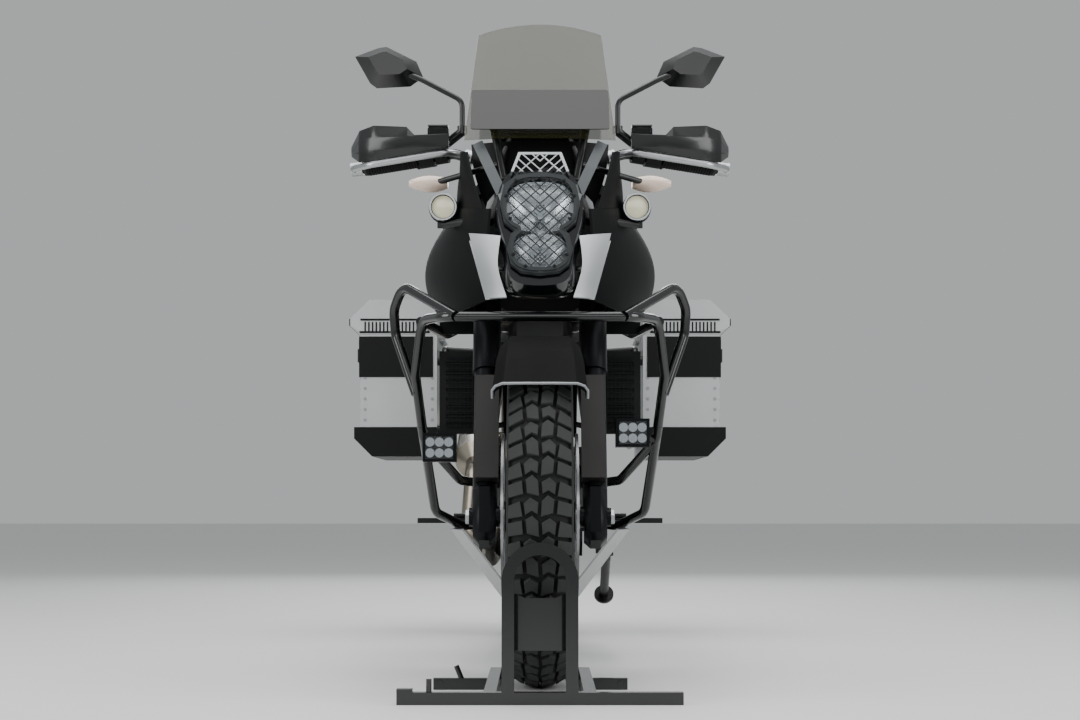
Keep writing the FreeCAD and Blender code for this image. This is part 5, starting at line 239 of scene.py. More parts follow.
# %% [markdown]
# The plastics and rubbers. Moulded ABS has a fine leather grain, polycarbonate is clear and very smooth,
# and tyre rubber is dark grey with a bloom, never pure black. The seat's vinyl is embossed with a 1.5 mm pebble.

# %% Plastic, rubber and vinyl finishes
# Grained ABS: a fine leather grain that keeps the black panels from shining.
grained_abs = finish("grained black ABS", "#090a0b", 0.0, 0.50, grain=0.9, depth=0.06, wear=0.06, shine=0.22)
# Unpainted fender plastic with painted shade: colour and sheen set to the darkest, dullest black on the bike, for
# the shade under the nose.
fender_black_with_shade = finish("matt black fender plastic with painted shade", "#050505", 0.0, 0.70, grain=0.9, depth=0.06, wear=0.05,
                        shine=0.08)
# Moulded shrouds and fins: dull black with a soft glow along the curves.
shroud_plastic = finish("moulded black shroud", "#060809", 0.0, 0.50, grain=1.1, depth=0.05, wear=0.05, shine=0.14)
# Satin ABS of the handguards and mirror shells: smooth, with a clear edge to the light.
smooth_abs = finish("satin black ABS", "#08090a", 0.0, 0.30, grain=20, depth=0.03, wear=0.05, coat=0.2)
# Side walls: dark grey rubber with a bloom, mottled slightly.
tyre_rubber = finish("tyre rubber", "#161617", 0.0, 0.70, grain=1.6, depth=0.10, wear=0.08, shade=0.18, shine=0.3)
# Tread blocks: paler than the walls from dust and wear, so the pattern reads.
tread_rubber = finish("dusty tread rubber", "#363737", 0.0, 0.80, grain=1.6, depth=0.12, wear=0.06, shade=0.22,
                      shine=0.25)
# Grips: soft black rubber with almost no highlight.
grip_rubber = finish("soft grip rubber", "#0e0e0f", 0.0, 0.68, grain=0.9, depth=0.08, wear=0.05, shine=0.25)
# Seat vinyl: a pebble of 1.5 mm that sparkles a little on the crown.
seat_vinyl = finish("pebbled seat vinyl", "#101112", 0.0, 0.54, grain=1.5, depth=0.16, wear=0.06, shine=0.35)
# Tinted screen: thin smoky sheet, the wall shows through it greenish grey.
smoke_screen = finish("smoked polycarbonate", "#3c3b26", 0.0, 0.06, grain=90, depth=0.02, ior=1.49, alpha=0.46)
# Clear polycarbonate lenses: seen only by their reflections and bent light.
clear_lens = finish("clear polycarbonate", "#f2f5f7", 0.0, 0.03, grain=70, depth=0.01, see_through=1.0, ior=1.49)
# Frosted spot lenses: a warm cream disc that looks lit from within.
warm_lens = finish("frosted warm lens", "#e7e3c4", 0.0, 0.16, grain=3, depth=0.06, coat=0.6)
# Indicator lenses: clear plastic over amber, so they look pale pink.
pale_lens = finish("clear lens over amber", "#e6cfbd", 0.0, 0.14, grain=4, depth=0.05, coat=0.8)
# Tail lamp: saturated red acrylic with a wet coat.
red_lens = finish("red acrylic", "#8a0f12", 0.0, 0.12, grain=5, depth=0.05, coat=0.8)
# Blank front plate: dark acrylic that mirrors the room dimly.
gloss_plate = finish("satin black acrylic", "#151413", 0.0, 0.34, grain=60, depth=0.03, coat=0.25, shine=0.3)
# Dash display, switched off: black glass.
dark_glass = finish("display_glass", "#05070a", 0.0, 0.06, grain=80, depth=0.01, coat=1.0)
print("plastic finishes made")

# %% [markdown]
# Each CAD node takes the finish of the real piece. The CAD's facets are shaded smooth across shallow angles:
# a Weld joins the facets' corners and an Edge Split keeps the true edges sharp. No point moves.

# %% Finishes for the CAD nodes
FINISH_OF_NODE = {
    "front_rim": frame_paint, "front_discs": disc_steel, "rear_rim": frame_paint, "rear_rotors": disc_steel,
    "fork_legs": anodised, "triple_clamps": anodised, "fork_guards": hard_coat, "front_fender": fender_black_with_shade,
    "front_calipers": frame_paint, "handlebar": frame_paint, "hand_controls": grained_abs,
    "handguard_bars": brushed, "handguards": smooth_abs, "mirrors": smooth_abs, "wheel_chock": powder_coat,
    "main_frame": frame_paint, "engine": cast_black, "subframe": frame_paint, "exhaust": exhaust_steel,
    "radiators": core_metal, "skid_plate": brushed, "crash_bars": powder_coat, "swingarm": frame_paint,
    "rear_shock": spring_paint, "luggage_rack": powder_coat, "fuel_tank": lacquer, "tail_unit": grained_abs,
    "tail_lamp": red_lens, "rear_hugger": grained_abs, "rear_caliper": frame_paint, "headlight_guard": guard_grey,
    "nose_cowl": lacquer, "nose_strips": silver_paint, "windscreen": smoke_screen, "front_plate": gloss_plate,
    "dash": grained_abs, "auxiliary_lamps": frame_paint, "indicators": pale_lens, "fairing_stay": frame_paint,
    "side_shrouds": shroud_plastic, "footrests": frame_paint, "side_stand": frame_paint,
    "panniers": sheet_aluminium,
    "lid_left": sheet_aluminium, "lid_right": sheet_aluminium, "pannier_trims": grained_abs,
    "drive_chain": chain_steel, "seats": seat_vinyl, "front_tyre": tyre_rubber, "rear_tyre": tyre_rubber,
    "headlight": chrome,
}
SHARP_ANGLE = math.radians(38.0)
for node, material in FINISH_OF_NODE.items():
    piece = nodes[node]
    piece.data.materials.clear()
    piece.data.materials.append(material)
    piece.data.polygons.foreach_set("use_smooth", [True] * len(piece.data.polygons))
    weld = piece.modifiers.new("Weld", "WELD")
    weld.merge_threshold = 0.00002
    split = piece.modifiers.new("Edge Split", "EDGE_SPLIT")
    split.split_angle = SHARP_ANGLE
print("finishes on", len(FINISH_OF_NODE), "of", len(nodes), "nodes")

# %% [markdown]
# The guard's small upper mesh is painted silver, and the rest of it grey. Both are one bent part,
# so its finish changes colour at a height on the motorcycle, just above the lamp's bezel.

# %% Two colours on the guard
BROW_HEIGHT = 1.0035
tree = guard_grey.node_tree
place = add(tree, "ShaderNodeTexCoord")
height = add(tree, "ShaderNodeSeparateXYZ", {}, {"Vector": (place, "Object")})
above = add(tree, "ShaderNodeMath", {"operation": "GREATER_THAN", 1: BROW_HEIGHT}, {0: (height, "Z")})
colour = add(tree, "ShaderNodeMix", {"data_type": "RGBA"}, {0: (above, "Value")})
colour.inputs[6].default_value = linear(GUARD_DARK)
colour.inputs[7].default_value = linear(GUARD_PALE)
tree.links.new(colour.outputs[2], tree.nodes["Principled BSDF"].inputs["Base Color"])
print("guard in two colours, above", BROW_HEIGHT, "metres")

# %% [markdown]
# A piece of the scene is one mesh in metres, at the origin, riding on a body. Its faces are turned outwards.
# Most small parts of a motorcycle are turned on a lathe, so one function spins an outline about an axis,
# and another joins outlines of the same number of points into a closed skin.

# %% Making a piece


def piece_from(name, points, faces, material, body, smooth=False, slot=None):
    """A piece of the scene with one material, riding on a body, its faces turned outwards."""
    mesh = bpy.data.meshes.new(name)
    mesh.from_pydata([tuple(p) for p in points], [], faces)
    work = bmesh.new()
    work.from_mesh(mesh)
    bmesh.ops.remove_doubles(work, verts=work.verts, dist=0.00001)
    bmesh.ops.recalc_face_normals(work, faces=work.faces)
    work.to_mesh(mesh)
    work.free()
    mesh.polygons.foreach_set("use_smooth", [smooth] * len(mesh.polygons))
    mesh.materials.append(material)
    piece = bpy.data.objects.new(name, mesh)
    bpy.context.scene.collection.objects.link(piece)
    if smooth:
        split = piece.modifiers.new("Edge Split", "EDGE_SPLIT")
        split.split_angle = SHARP_ANGLE
    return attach(piece, body)


def skin(rings, closed=True):
    """Points and faces of a skin over rings of equal count, with its two ends closed."""
    count = len(rings[0])
    points = [p for ring in rings for p in ring]
    faces = []
    for i in range(len(rings) - 1):
        for j in range(count):
            k = (j + 1) % count
            faces.append((i * count + j, i * count + k, (i + 1) * count + k, (i + 1) * count + j))
    if closed:
        faces.append(tuple(range(count)))
        faces.append(tuple(range((len(rings) - 1) * count, len(rings) * count)))
    return points, faces


def joined(parts):
    """Several lists of points and faces as one."""
    points, faces = [], []
    for more_points, more_faces in parts:
        start = len(points)
        points += more_points
        faces += [tuple(i + start for i in face) for face in more_faces]
    return points, faces


def turned(outline, start, axis, steps=24, ring=False):
    """A lathe outline of (along, radius) millimetres, spun about an axis from a start point.
    A ring's outline is a closed section, and any other outline is closed by flat ends."""
    axis = axis.normalized()
    side = axis.orthogonal().normalized()
    other = axis.cross(side)
    rings = []
    for along, radius in outline:
        rings.append([start + (axis * along + (side * math.cos(a) + other * math.sin(a)) * radius) * MM
                      for a in (2 * math.pi * i / steps for i in range(steps))])
    if ring:
        return skin(rings + rings[:1], closed=False)
    return skin(rings)


def block(centre, x, y, z):
    """A box of x, y and z millimetres about its centre."""
    points = [centre + Vector((sx * x, sy * y, sz * z)) * (MM / 2)
              for sx in SIDES for sy in SIDES for sz in SIDES]
    return points, [(0, 1, 3, 2), (4, 6, 7, 5), (0, 4, 5, 1), (2, 3, 7, 6), (0, 2, 6, 4), (1, 5, 7, 3)]


def mirrored(parts):
    """The same part on the other side, with its faces turned round."""
    points, faces = parts
    return [Vector((-p[0], p[1], p[2])) for p in points], [tuple(reversed(face)) for face in faces]


def both(parts):
    """A part and its mirror image, as one."""
    return joined([parts, mirrored(parts)])


# %% [markdown]
# Geometry Nodes make what repeats. A plain mesh carries the places, as single points with a direction on each,
# and a tree puts one shape at every point, makes the copies real and gives them their finish.
# The result is turned into a plain mesh, and the tree's modifier goes.

# %% Trees that repeat a shape


def new_tree(name, sizes):
    """A tree with a geometry input, the named sizes as inputs, and a geometry output."""
    tree = bpy.data.node_groups.new(name, "GeometryNodeTree")
    tree.interface.new_socket("Geometry", in_out="INPUT", socket_type="NodeSocketGeometry")
    for title, kind, value in sizes:
        socket = tree.interface.new_socket(title, in_out="INPUT", socket_type=kind)
        socket.default_value = value
    tree.interface.new_socket("Geometry", in_out="OUTPUT", socket_type="NodeSocketGeometry")
    return tree, add(tree, "NodeGroupInput"), add(tree, "NodeGroupOutput")


def finish_tree(tree, result, output, exit_node, material):
    """Ends a tree in Realize Instances and Set Material."""
    real = add(tree, "GeometryNodeRealizeInstances", {}, {"Geometry": (result, output)})
    coated = add(tree, "GeometryNodeSetMaterial", {"Material": material}, {"Geometry": (real, "Geometry")})
    tree.links.new(coated.outputs["Geometry"], exit_node.inputs["Geometry"])


def grown(name, base, tree, values, body, smooth=False):
    """Runs a tree on a base mesh and keeps the result as a plain piece that rides on a body."""
    modifier = base.modifiers.new("grow", "NODES")
    modifier.node_group = tree
    identifiers = {item.name: item.identifier for item in tree.interface.items_tree if item.in_out == "INPUT"}
    for title, value in values.items():
        modifier[identifiers[title]] = value
    bpy.context.view_layer.update()
    evaluated = base.evaluated_get(bpy.context.evaluated_depsgraph_get())
    mesh = bpy.data.meshes.new_from_object(evaluated)
    bpy.data.objects.remove(base)
    mesh.name = name
    mesh.polygons.foreach_set("use_smooth", [smooth] * len(mesh.polygons))
    piece = bpy.data.objects.new(name, mesh)
    bpy.context.scene.collection.objects.link(piece)
    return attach(piece, body)


def places_mesh(places):
    """A mesh of loose points, each with the direction that its copy faces."""
    mesh = bpy.data.meshes.new("places")
    mesh.from_pydata([tuple(p) for p, _ in places], [], [])
    facing = mesh.attributes.new("facing", "FLOAT_VECTOR", "POINT")
    facing.data.foreach_set("vector", [c for _, d in places for c in d.normalized()])
    carrier = bpy.data.objects.new("places", mesh)
    bpy.context.scene.collection.objects.link(carrier)
    return carrier


# %% [markdown]
# Fasteners. A bolt seen from outside is a washer with a hexagonal or round head on it, a rivet is a low round head.
# One tree makes them all: only the number of sides and the sizes change.

# %% Bolts and rivets


def fastener_tree(material):
    """A head on a washer at every place, facing the place's direction."""
    tree, inputs, exit_node = new_tree("fasteners", [
        ("Head radius", "NodeSocketFloat", 0.006), ("Head height", "NodeSocketFloat", 0.005),
        ("Sides", "NodeSocketInt", 6), ("Washer radius", "NodeSocketFloat", 0.009)])
    head = add(tree, "GeometryNodeMeshCylinder", {}, {
        "Vertices": (inputs, "Sides"), "Radius": (inputs, "Head radius"), "Depth": (inputs, "Head height")})
    lift = add(tree, "ShaderNodeCombineXYZ", {}, {"Z": (inputs, "Head height")})
    raised = add(tree, "GeometryNodeTransform", {}, {"Geometry": (head, "Mesh"), "Translation": (lift, "Vector")})
    washer = add(tree, "GeometryNodeMeshCylinder", {"Vertices": 16}, {
        "Radius": (inputs, "Washer radius"), "Depth": (inputs, "Head height")})
    shape = add(tree, "GeometryNodeJoinGeometry")
    tree.links.new(raised.outputs["Geometry"], shape.inputs["Geometry"])
    tree.links.new(washer.outputs["Mesh"], shape.inputs["Geometry"])
    facing = add(tree, "GeometryNodeInputNamedAttribute", {"data_type": "FLOAT_VECTOR", "Name": "facing"})
    turn = add(tree, "FunctionNodeAlignRotationToVector", {"axis": "Z"}, {"Vector": (facing, "Attribute")})
    copies = add(tree, "GeometryNodeInstanceOnPoints", {}, {
        "Points": (inputs, "Geometry"), "Instance": (shape, "Geometry"), "Rotation": (turn, "Rotation")})
    finish_tree(tree, copies, "Instances", exit_node, material)
    return tree


ZINC_FASTENERS = fastener_tree(zinc)
BLACK_FASTENERS = fastener_tree(black_bolt)
WASHER_SHARE = 1.35


def fasteners(name, places, body, radius=6.0, height=3.0, sides=6, tree=BLACK_FASTENERS):
    """Bolt heads at places of (point, direction), with their sizes in millimetres."""
    values = {"Head radius": radius * MM, "Head height": height * MM, "Sides": sides,
              "Washer radius": radius * WASHER_SHARE * MM}
    piece = grown(name, places_mesh(places), tree, values, body)
    print(name, len(places), "heads")
    return piece


# %% [markdown]
# Tyres. The CAD tyre is smooth out to the tips of its tread, so the real carcass lies inside it.
# The carcass is spun from its section, with two moulding lines on each wall.
# The tread is a dual-purpose pattern: rows of chunky angled blocks with open grooves between them.
# One pitch of blocks is drawn as outlines on the crown, and a tree repeats it round the wheel.

# %% Tyre sections
TREAD_DEPTH = 9.0


def circle_through(a, b, c):
    """Centre and radius of the circle through three points of a section."""
    (ax, ay), (bx, by), (cx, cy) = a, b, c
    d = 2 * (ax * (by - cy) + bx * (cy - ay) + cx * (ay - by))
    ux = ((ax ** 2 + ay ** 2) * (by - cy) + (bx ** 2 + by ** 2) * (cy - ay) + (cx ** 2 + cy ** 2) * (ay - by)) / d
    uy = ((ax ** 2 + ay ** 2) * (cx - bx) + (bx ** 2 + by ** 2) * (ax - cx) + (cx ** 2 + cy ** 2) * (bx - ax)) / d
    return (ux, uy), math.hypot(ax - ux, ay - uy)


def tyre_section(radius, half, bead_r, bead_half):
    """The left half of a carcass's section, from the bead up to the crown, as (x, radius)."""
    shoulder = (half * 0.93, radius - 22)
    belly = (half, bead_r + (radius - bead_r) * 0.58)
    lip = (bead_half, bead_r + 14)
    (cx, cy), wall_r = circle_through(lip, belly, shoulder)
    start = math.atan2(lip[1] - cy, lip[0] - cx)
    end = math.atan2(shoulder[1] - cy, shoulder[0] - cx)
    section = [(bead_half, bead_r)]
    for i in range(17):
        a = start + (end - start) * i / 16
        inset = 0.0 if i in (5, 9) else 0.9
        section.append((cx + (wall_r - inset) * math.cos(a), cy + (wall_r - inset) * math.sin(a)))
    crown_r = ((half * 0.93) ** 2 + 22 ** 2) / 44
    for i in range(1, 11):
        x = half * 0.93 * (1 - i / 10)
        section.append((x, radius - crown_r + math.sqrt(crown_r ** 2 - x ** 2) - TREAD_DEPTH))
    return section, crown_r


def carcass(name, axle, radius, half, bead_r, bead_half, body):
    """The tyre under its tread, as a closed ring."""
    section, crown_r = tyre_section(radius, half, bead_r, bead_half)
    whole = section + [(-x, r) for x, r in reversed(section[:-1])]
    piece = piece_from(name, *turned(whole, axle, X_AXIS, steps=96, ring=True), tyre_rubber, body, smooth=True,
                       slot="tyre")
    print(name, len(piece.data.polygons), "faces")
    return piece, crown_r


# %% Tread blocks
# Each block's outline is in shares of the tread's half width and of one pitch round the tyre.
TREAD_BLOCKS = [
    [(0.03, 0.04), (0.40, 0.12), (0.44, 0.46), (0.24, 0.56), (0.06, 0.42)],
    [(0.08, 0.60), (0.26, 0.68), (0.46, 0.58), (0.50, 0.86), (0.30, 1.00), (0.05, 0.88)],
    [(0.52, 0.10), (0.98, 0.02), (1.00, 0.36), (0.56, 0.44)],
    [(0.54, 0.54), (1.00, 0.48), (0.98, 0.82), (0.62, 0.92)],
]
BLOCK_DRAFT = 1.06


def tread_pitch(radius, crown_r, half, pitches):
    """One pitch of blocks about an axle at zero, at the top of the wheel, with the right side half a pitch on."""
    step = 2 * math.pi / pitches

    def on_crown(u, v, depth):
        x = u * half
        r = radius - crown_r + math.sqrt(crown_r ** 2 - x ** 2) - depth
        return Vector((x, r * math.sin(v * step), r * math.cos(v * step))) * MM

    parts = []
    for side, shift in ((1, 0.0), (-1, 0.5)):
        for outline in TREAD_BLOCKS:
            u0 = sum(u for u, _ in outline) / len(outline)
            v0 = sum(v for _, v in outline) / len(outline)
            top = [on_crown(side * min(u, 1.0), v + shift, 0.3) for u, v in outline]
            low = [on_crown(side * min(u0 + (u - u0) * BLOCK_DRAFT, 1.0), v0 + (v - v0) * BLOCK_DRAFT + shift,
                            TREAD_DEPTH + 1.5) for u, v in outline]
            chamfer = [on_crown(side * (u0 + (u - u0) * 0.94), v0 + (v - v0) * 0.94 + shift, 0.0)
                       for u, v in outline]
            top = [t.lerp(b, 0.12) for t, b in zip(top, low)]
            parts.append(skin([low, top, chamfer]))
    return joined(parts)


def wheel_tree(name, material):
    """Repeats the base shape round an axle along x."""
    tree, inputs, exit_node = new_tree(name, [
        ("Copies", "NodeSocketInt", 24), ("Axle", "NodeSocketVector", (0, 0, 0))])
    points = add(tree, "GeometryNodePoints", {}, {"Count": (inputs, "Copies"), "Position": (inputs, "Axle")})
    number = add(tree, "GeometryNodeInputIndex")
    share = add(tree, "ShaderNodeMath", {"operation": "DIVIDE"}, {0: (number, "Index"), 1: (inputs, "Copies")})
    angle = add(tree, "ShaderNodeMath", {"operation": "MULTIPLY", 1: 2 * math.pi}, {0: (share, "Value")})
    turn = add(tree, "ShaderNodeCombineXYZ", {}, {"X": (angle, "Value")})
    copies = add(tree, "GeometryNodeInstanceOnPoints", {}, {
        "Points": (points, 0), "Instance": (inputs, "Geometry"), "Rotation": (turn, "Vector")})
    finish_tree(tree, copies, "Instances", exit_node, material)
    return tree


def round_wheel(name, parts, copies, axle, tree, body):
    """One shape, made about an axle at zero, repeated round the real axle."""
    mesh = bpy.data.meshes.new("one")
    mesh.from_pydata([tuple(p) for p in parts[0]], [], parts[1])
    work = bmesh.new()
    work.from_mesh(mesh)
    bmesh.ops.recalc_face_normals(work, faces=work.faces)
    work.to_mesh(mesh)
    work.free()
    base = bpy.data.objects.new("one", mesh)
    bpy.context.scene.collection.objects.link(base)
    piece = grown(name, base, tree, {"Copies": copies, "Axle": tuple(axle)}, body)
    print(name, len(piece.data.polygons), "faces in", copies, "copies")
    return piece


RUBBER_ROUND = wheel_tree("tread round the wheel", tread_rubber)
for label, axle, radius, half, bead_r, bead_half, pitches in (
        ("front", FRONT_AXLE, 325, 61, 241, 38, 28), ("rear", REAR_AXLE, 318, 75, 216, 52, 26)):
    body = label + "_wheel"
    wall, crown_r = carcass(label + "_tyre_carcass", axle, radius, half, bead_r, bead_half, body)
    blocks = tread_pitch(radius, crown_r, half * 0.93, pitches)
    round_wheel(label + "_tyre_tread", blocks, pitches, axle, RUBBER_ROUND, body)
    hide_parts(label + "_tyre")

# %% [markdown]
# Wheels. Each spoke ends in a plated nipple in the rim's well. The brake discs are drilled, and each hole is a thin
# dark disc of painted shade, in rings; the discs are bolted to the hub.

# %% Nipples, disc holes and disc bolts
ZINC_ROUND = wheel_tree("plated round the wheel", zinc)
HOLE_SHADE_ROUND = wheel_tree("holes round the wheel", black_bolt)
for label, axle, well_r, x in (("front", FRONT_AXLE, 220, 9), ("rear", REAR_AXLE, 195, 13)):
    pin = [turned([(-7, 3.2), (4, 2.6)], Vector((s * x * MM, 0, well_r * MM)), Z_AXIS, steps=8) for s in SIDES]
    round_wheel(label + "_spoke_nipples", joined(pin), 36, axle, ZINC_ROUND, label + "_wheel")
# Each drilled hole is a thin dark disc on the brake disc's face: painted shade, not an open hole.
for label, axle, faces_x, radii, copies in (
        ("front", FRONT_AXLE, (-72.5, -67.5, 67.5, 72.5), (134, 142, 150), 16),
        ("rear", REAR_AXLE, (-92.5, -87.5), (108, 116, 124), 14)):
    holes = []
    for i, r in enumerate(radii):
        a = math.radians(7.0 * i)
        for x in faces_x:
            holes.append(turned([(-0.25, 3.6), (0.25, 3.6)],
                                Vector((x, r * math.sin(a), r * math.cos(a))) * MM, X_AXIS, steps=10))
    round_wheel(label + "_disc_holes", joined(holes), copies, axle, HOLE_SHADE_ROUND, label + "_wheel")
for axle, x, body in ((FRONT_AXLE, 72.5, "front_wheel"), (REAR_AXLE, 92.5, "rear_wheel")):
    for s in (SIDES if body == "front_wheel" else (-1,)):
        places = [(axle + Vector((s * x, 36 * math.sin(a), 36 * math.cos(a))) * MM, X_AXIS * s)
                  for a in (math.pi * i / 3 for i in range(6))]
        label = "left" if s > 0 else "right"
        fasteners(f"{body}_disc_bolts_{label}", places, body, 5.0, 2.5, tree=ZINC_FASTENERS)

# %% [markdown]
# The drive chain. The CAD has the closed band that the chain fills. The real one is a roller chain:
# pairs of figure-of-eight plates on rollers. The loop is a curve, resampled to whole links,
# and a tree lays one pair of inner and outer plates along it.

# %% Chain loop and links
CHAIN_X = 96.0
PITCH = 15.875
FRONT_TEETH, REAR_TEETH = 17, 42
FRONT_SPROCKET = on_bike(CHAIN_X, 888, 68)


def pitch_circle(teeth):
    """The radius on which the chain's pins lie round a sprocket."""
    return PITCH / (2 * math.sin(math.pi / teeth))


def chain_path():
    """Points along the chain's pitch line, from the front sprocket's top run round and back."""
    front, rear = FRONT_SPROCKET, at_rear(CHAIN_X, 0, 0)
    small, big = pitch_circle(FRONT_TEETH) * MM, pitch_circle(REAR_TEETH) * MM
    gap = rear - front
    base = math.atan2(gap.z, gap.y)
    spread = math.asin((big - small) / gap.length)
    path = []
    for centre, r, first, last in ((rear, big, base + math.pi / 2 + spread, base - math.pi / 2 - spread),
                                   (front, small, base - math.pi / 2 - spread, base - 3 * math.pi / 2 + spread)):
        for i in range(25):
            a = first + (last - first) * i / 24
            path.append(centre + Vector((0, r * math.cos(a), r * math.sin(a))))
    return path


def link_plate(x, length, height, thickness):
    """One plate along y, with round ends, as a slab across x."""
    outline = []
    for i in range(16):
        a = 2 * math.pi * i / 16
        y = math.copysign(length / 2 - height / 2, math.cos(a)) + height / 2 * math.cos(a)
        outline.append((y, height / 2 * math.sin(a)))
    rings = [[Vector((x + s * thickness / 2, y, z)) * MM for y, z in outline] for s in SIDES]
    return skin(rings)


def link_parts():
    """Two pitches of chain about zero: two outer plates, two inner plates and two rollers."""
    parts = []
    for s in SIDES:
        outer = link_plate(s * 7.8, PITCH + 13, 13, 1.9)
        inner = link_plate(s * 5.6, PITCH + 13, 13, 1.9)
        parts += [([p - Y_AXIS * PITCH / 2 * MM for p in outer[0]], outer[1]),
                  ([p + Y_AXIS * PITCH / 2 * MM for p in inner[0]], inner[1])]
        pin = Vector((0, -PITCH * (1 + s) / 2 * MM, 0))
        parts.append(turned([(-8.9, 2.4), (8.9, 2.4)], pin, X_AXIS, steps=8))
    for y in (0, -PITCH):
        parts.append(turned([(-4.6, 5.0), (4.6, 5.0)], Vector((0, y * MM, 0)), X_AXIS, steps=10))
    return joined(parts)


def link_tree(link, material):
    """One double link at every step of a closed loop."""
    tree, inputs, exit_node = new_tree("links along the loop", [("Links", "NodeSocketInt", 56)])
    curve = add(tree, "GeometryNodeMeshToCurve", {}, {"Mesh": (inputs, "Geometry")})
    even = add(tree, "GeometryNodeResampleCurve", {}, {"Curve": (curve, "Curve"), "Count": (inputs, "Links")})
    shape = add(tree, "GeometryNodeObjectInfo", {"Object": link})
    tangent = add(tree, "GeometryNodeInputTangent")
    turn = add(tree, "FunctionNodeAlignRotationToVector", {"axis": "Y", "pivot_axis": "X"},
               {"Vector": (tangent, "Tangent")})
    copies = add(tree, "GeometryNodeInstanceOnPoints", {}, {
        "Points": (even, "Curve"), "Instance": (shape, "Geometry"), "Rotation": (turn, "Rotation")})
    finish_tree(tree, copies, "Instances", exit_node, material)
    return tree


link_points, link_faces = link_parts()
link_mesh = bpy.data.meshes.new("link")
link_mesh.from_pydata([tuple(p) for p in link_points], [], link_faces)
link = bpy.data.objects.new("link", link_mesh)
bpy.context.scene.collection.objects.link(link)
path = chain_path()
loop_mesh = bpy.data.meshes.new("loop")
loop_mesh.from_pydata([tuple(p) for p in path], [(i, (i + 1) % len(path)) for i in range(len(path))], [])
loop = bpy.data.objects.new("loop", loop_mesh)
bpy.context.scene.collection.objects.link(loop)
length = sum((path[i] - path[i - 1]).length for i in range(len(path)))
chain = grown("drive_chain_links", loop, link_tree(link, chain_steel), {"Links": round(length / (2 * PITCH * MM))},
              "frame")
bpy.data.objects.remove(link)
print("chain", round(length * 1000), "mm,", round(length / (PITCH * MM)), "pitches")
small_r = pitch_circle(FRONT_TEETH)
teeth = []
for i in range(2 * FRONT_TEETH):
    a = math.pi * i / FRONT_TEETH
    r = small_r + (2.5 if i % 2 else -5.5)
    teeth.append((r * math.cos(a), r * math.sin(a)))
piece_from("front_sprocket", *joined([
    skin([[FRONT_SPROCKET + Vector((s * 3, y, z)) * MM for y, z in teeth] for s in SIDES]),
    turned([(-20, 14), (9, 14), (9, 8)], FRONT_SPROCKET, X_AXIS)]), zinc, "frame", slot="chain_steel")
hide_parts("drive_chain")
big_r = pitch_circle(REAR_TEETH)
tooth = [(-4.2, big_r - 8), (-1.6, big_r + 2.5), (1.6, big_r + 2.5), (4.2, big_r - 8)]
rim_teeth = skin([[Vector((CHAIN_X + s * 2.6, y, z)) * MM for y, z in tooth] for s in SIDES])
round_wheel("rear_sprocket_teeth", rim_teeth, REAR_TEETH, REAR_AXLE, ZINC_ROUND, "rear_wheel")

# %% [markdown]
# The headlight. Behind the mesh guard stand two clear lenses, one above the other, each over a bright bowl
# with a bulb in it. A bowl is a row of shrinking outlines that ends in a pole, and the lens is a thin
# crowned shell, so the guard's bars stand out against bright metal as they do in the photograph.

# %% Headlight bowls, bulbs and lenses
LOBES = ((50.0, 70.0, 60.0), (-50.0, 55.0, 45.0))
LOBE_POINTS = 40


def lobe_ring(z, half, height, scale, y):
    """One outline of a lobe, scaled about its middle and set back by y in the lamp's frame."""
    ring = []
    for i in range(LOBE_POINTS):
        t = 2 * math.pi * i / LOBE_POINTS
        x = math.copysign(half * abs(math.cos(t)) ** 0.75, math.cos(t))
        up = math.copysign(height * abs(math.sin(t)) ** 0.75, math.sin(t))
        ring.append(on_lamp(x * scale, y, z + up * scale))
    return ring


LAMP_BACK = on_lamp(0, 1, 0) - on_lamp(0, 0, 0)
BOWL_FRONT, BOWL_DEPTH = 11, 36
BOWL_SHARES = (0.12, 0.3, 0.5, 0.68, 0.83, 0.95)
bowls, lenses, bulbs = [], [], []
for z, half, height in LOBES:
    front = [lobe_ring(z, half, height, scale, BOWL_FRONT + BOWL_DEPTH * (1 - scale ** 2)) for scale in BOWL_SHARES]
    back = [lobe_ring(z, half, height, 0.98, y) for y in (10, 57)]
    bowls.append(skin(front + back))
    lens = [lobe_ring(z, half, height, scale, y) for scale, y in (
        (0.2, 7.0), (0.6, 7.6), (0.94, 9.6), (0.97, 9.2), (0.94, 7.0), (0.7, 4.4), (0.4, 2.6), (0.15, 2.0))]
    lenses.append(skin(lens))
    bulbs.append(turned([(0, 13), (6, 13), (10, 9), (22, 8)], on_lamp(0, 18, z), LAMP_BACK, steps=20))
bowl = piece_from("headlight_bowls", *joined(bowls), reflector, "frame", smooth=True, slot="lamp_glass")
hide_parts("headlight")
piece_from("headlight_lenses", *joined(lenses), clear_lens, "frame", smooth=True, slot="lamp_glass")
piece_from("headlight_bulb_shields", *joined(bulbs), chrome, "frame", smooth=True)
print("headlight made,", len(bowl.data.polygons), "bowl faces")

# %% [markdown]
# The auxiliary lamps. The round spots have a warm frosted lens in a bright ring, with cooling fins behind.
# The square work lamps on the crash bars have six small bowls under one clear cover, and fins behind too.

# %% Spots and work lamps
SPOT = on_bike(196, 196, 625)
spot_lens = turned([(0.2, 6), (1.0, 16), (2.5, 23), (8, 4)], SPOT, Y_AXIS, steps=28)
piece_from("spot_lenses", *both(spot_lens), warm_lens, "frame", smooth=True, slot="lamp_glass")
ring = turned([(-2.5, 24.5), (-2.5, 27.5), (1.0, 28.6), (5.0, 28.6), (5.0, 24.0)], SPOT, Y_AXIS,
              steps=32, ring=True)
piece_from("spot_rings", *both(ring), brushed, "frame", smooth=True, slot="alloy")
fins = [turned([(y, 22), (y, 29.5), (y + 2.2, 29.5), (y + 2.2, 22)], SPOT, Y_AXIS, steps=28, ring=True)
        for y in (14, 20, 26, 32)]
piece_from("spot_cooling_fins", *both(joined(fins)), anodised, "frame", smooth=True, slot="lamp_black")

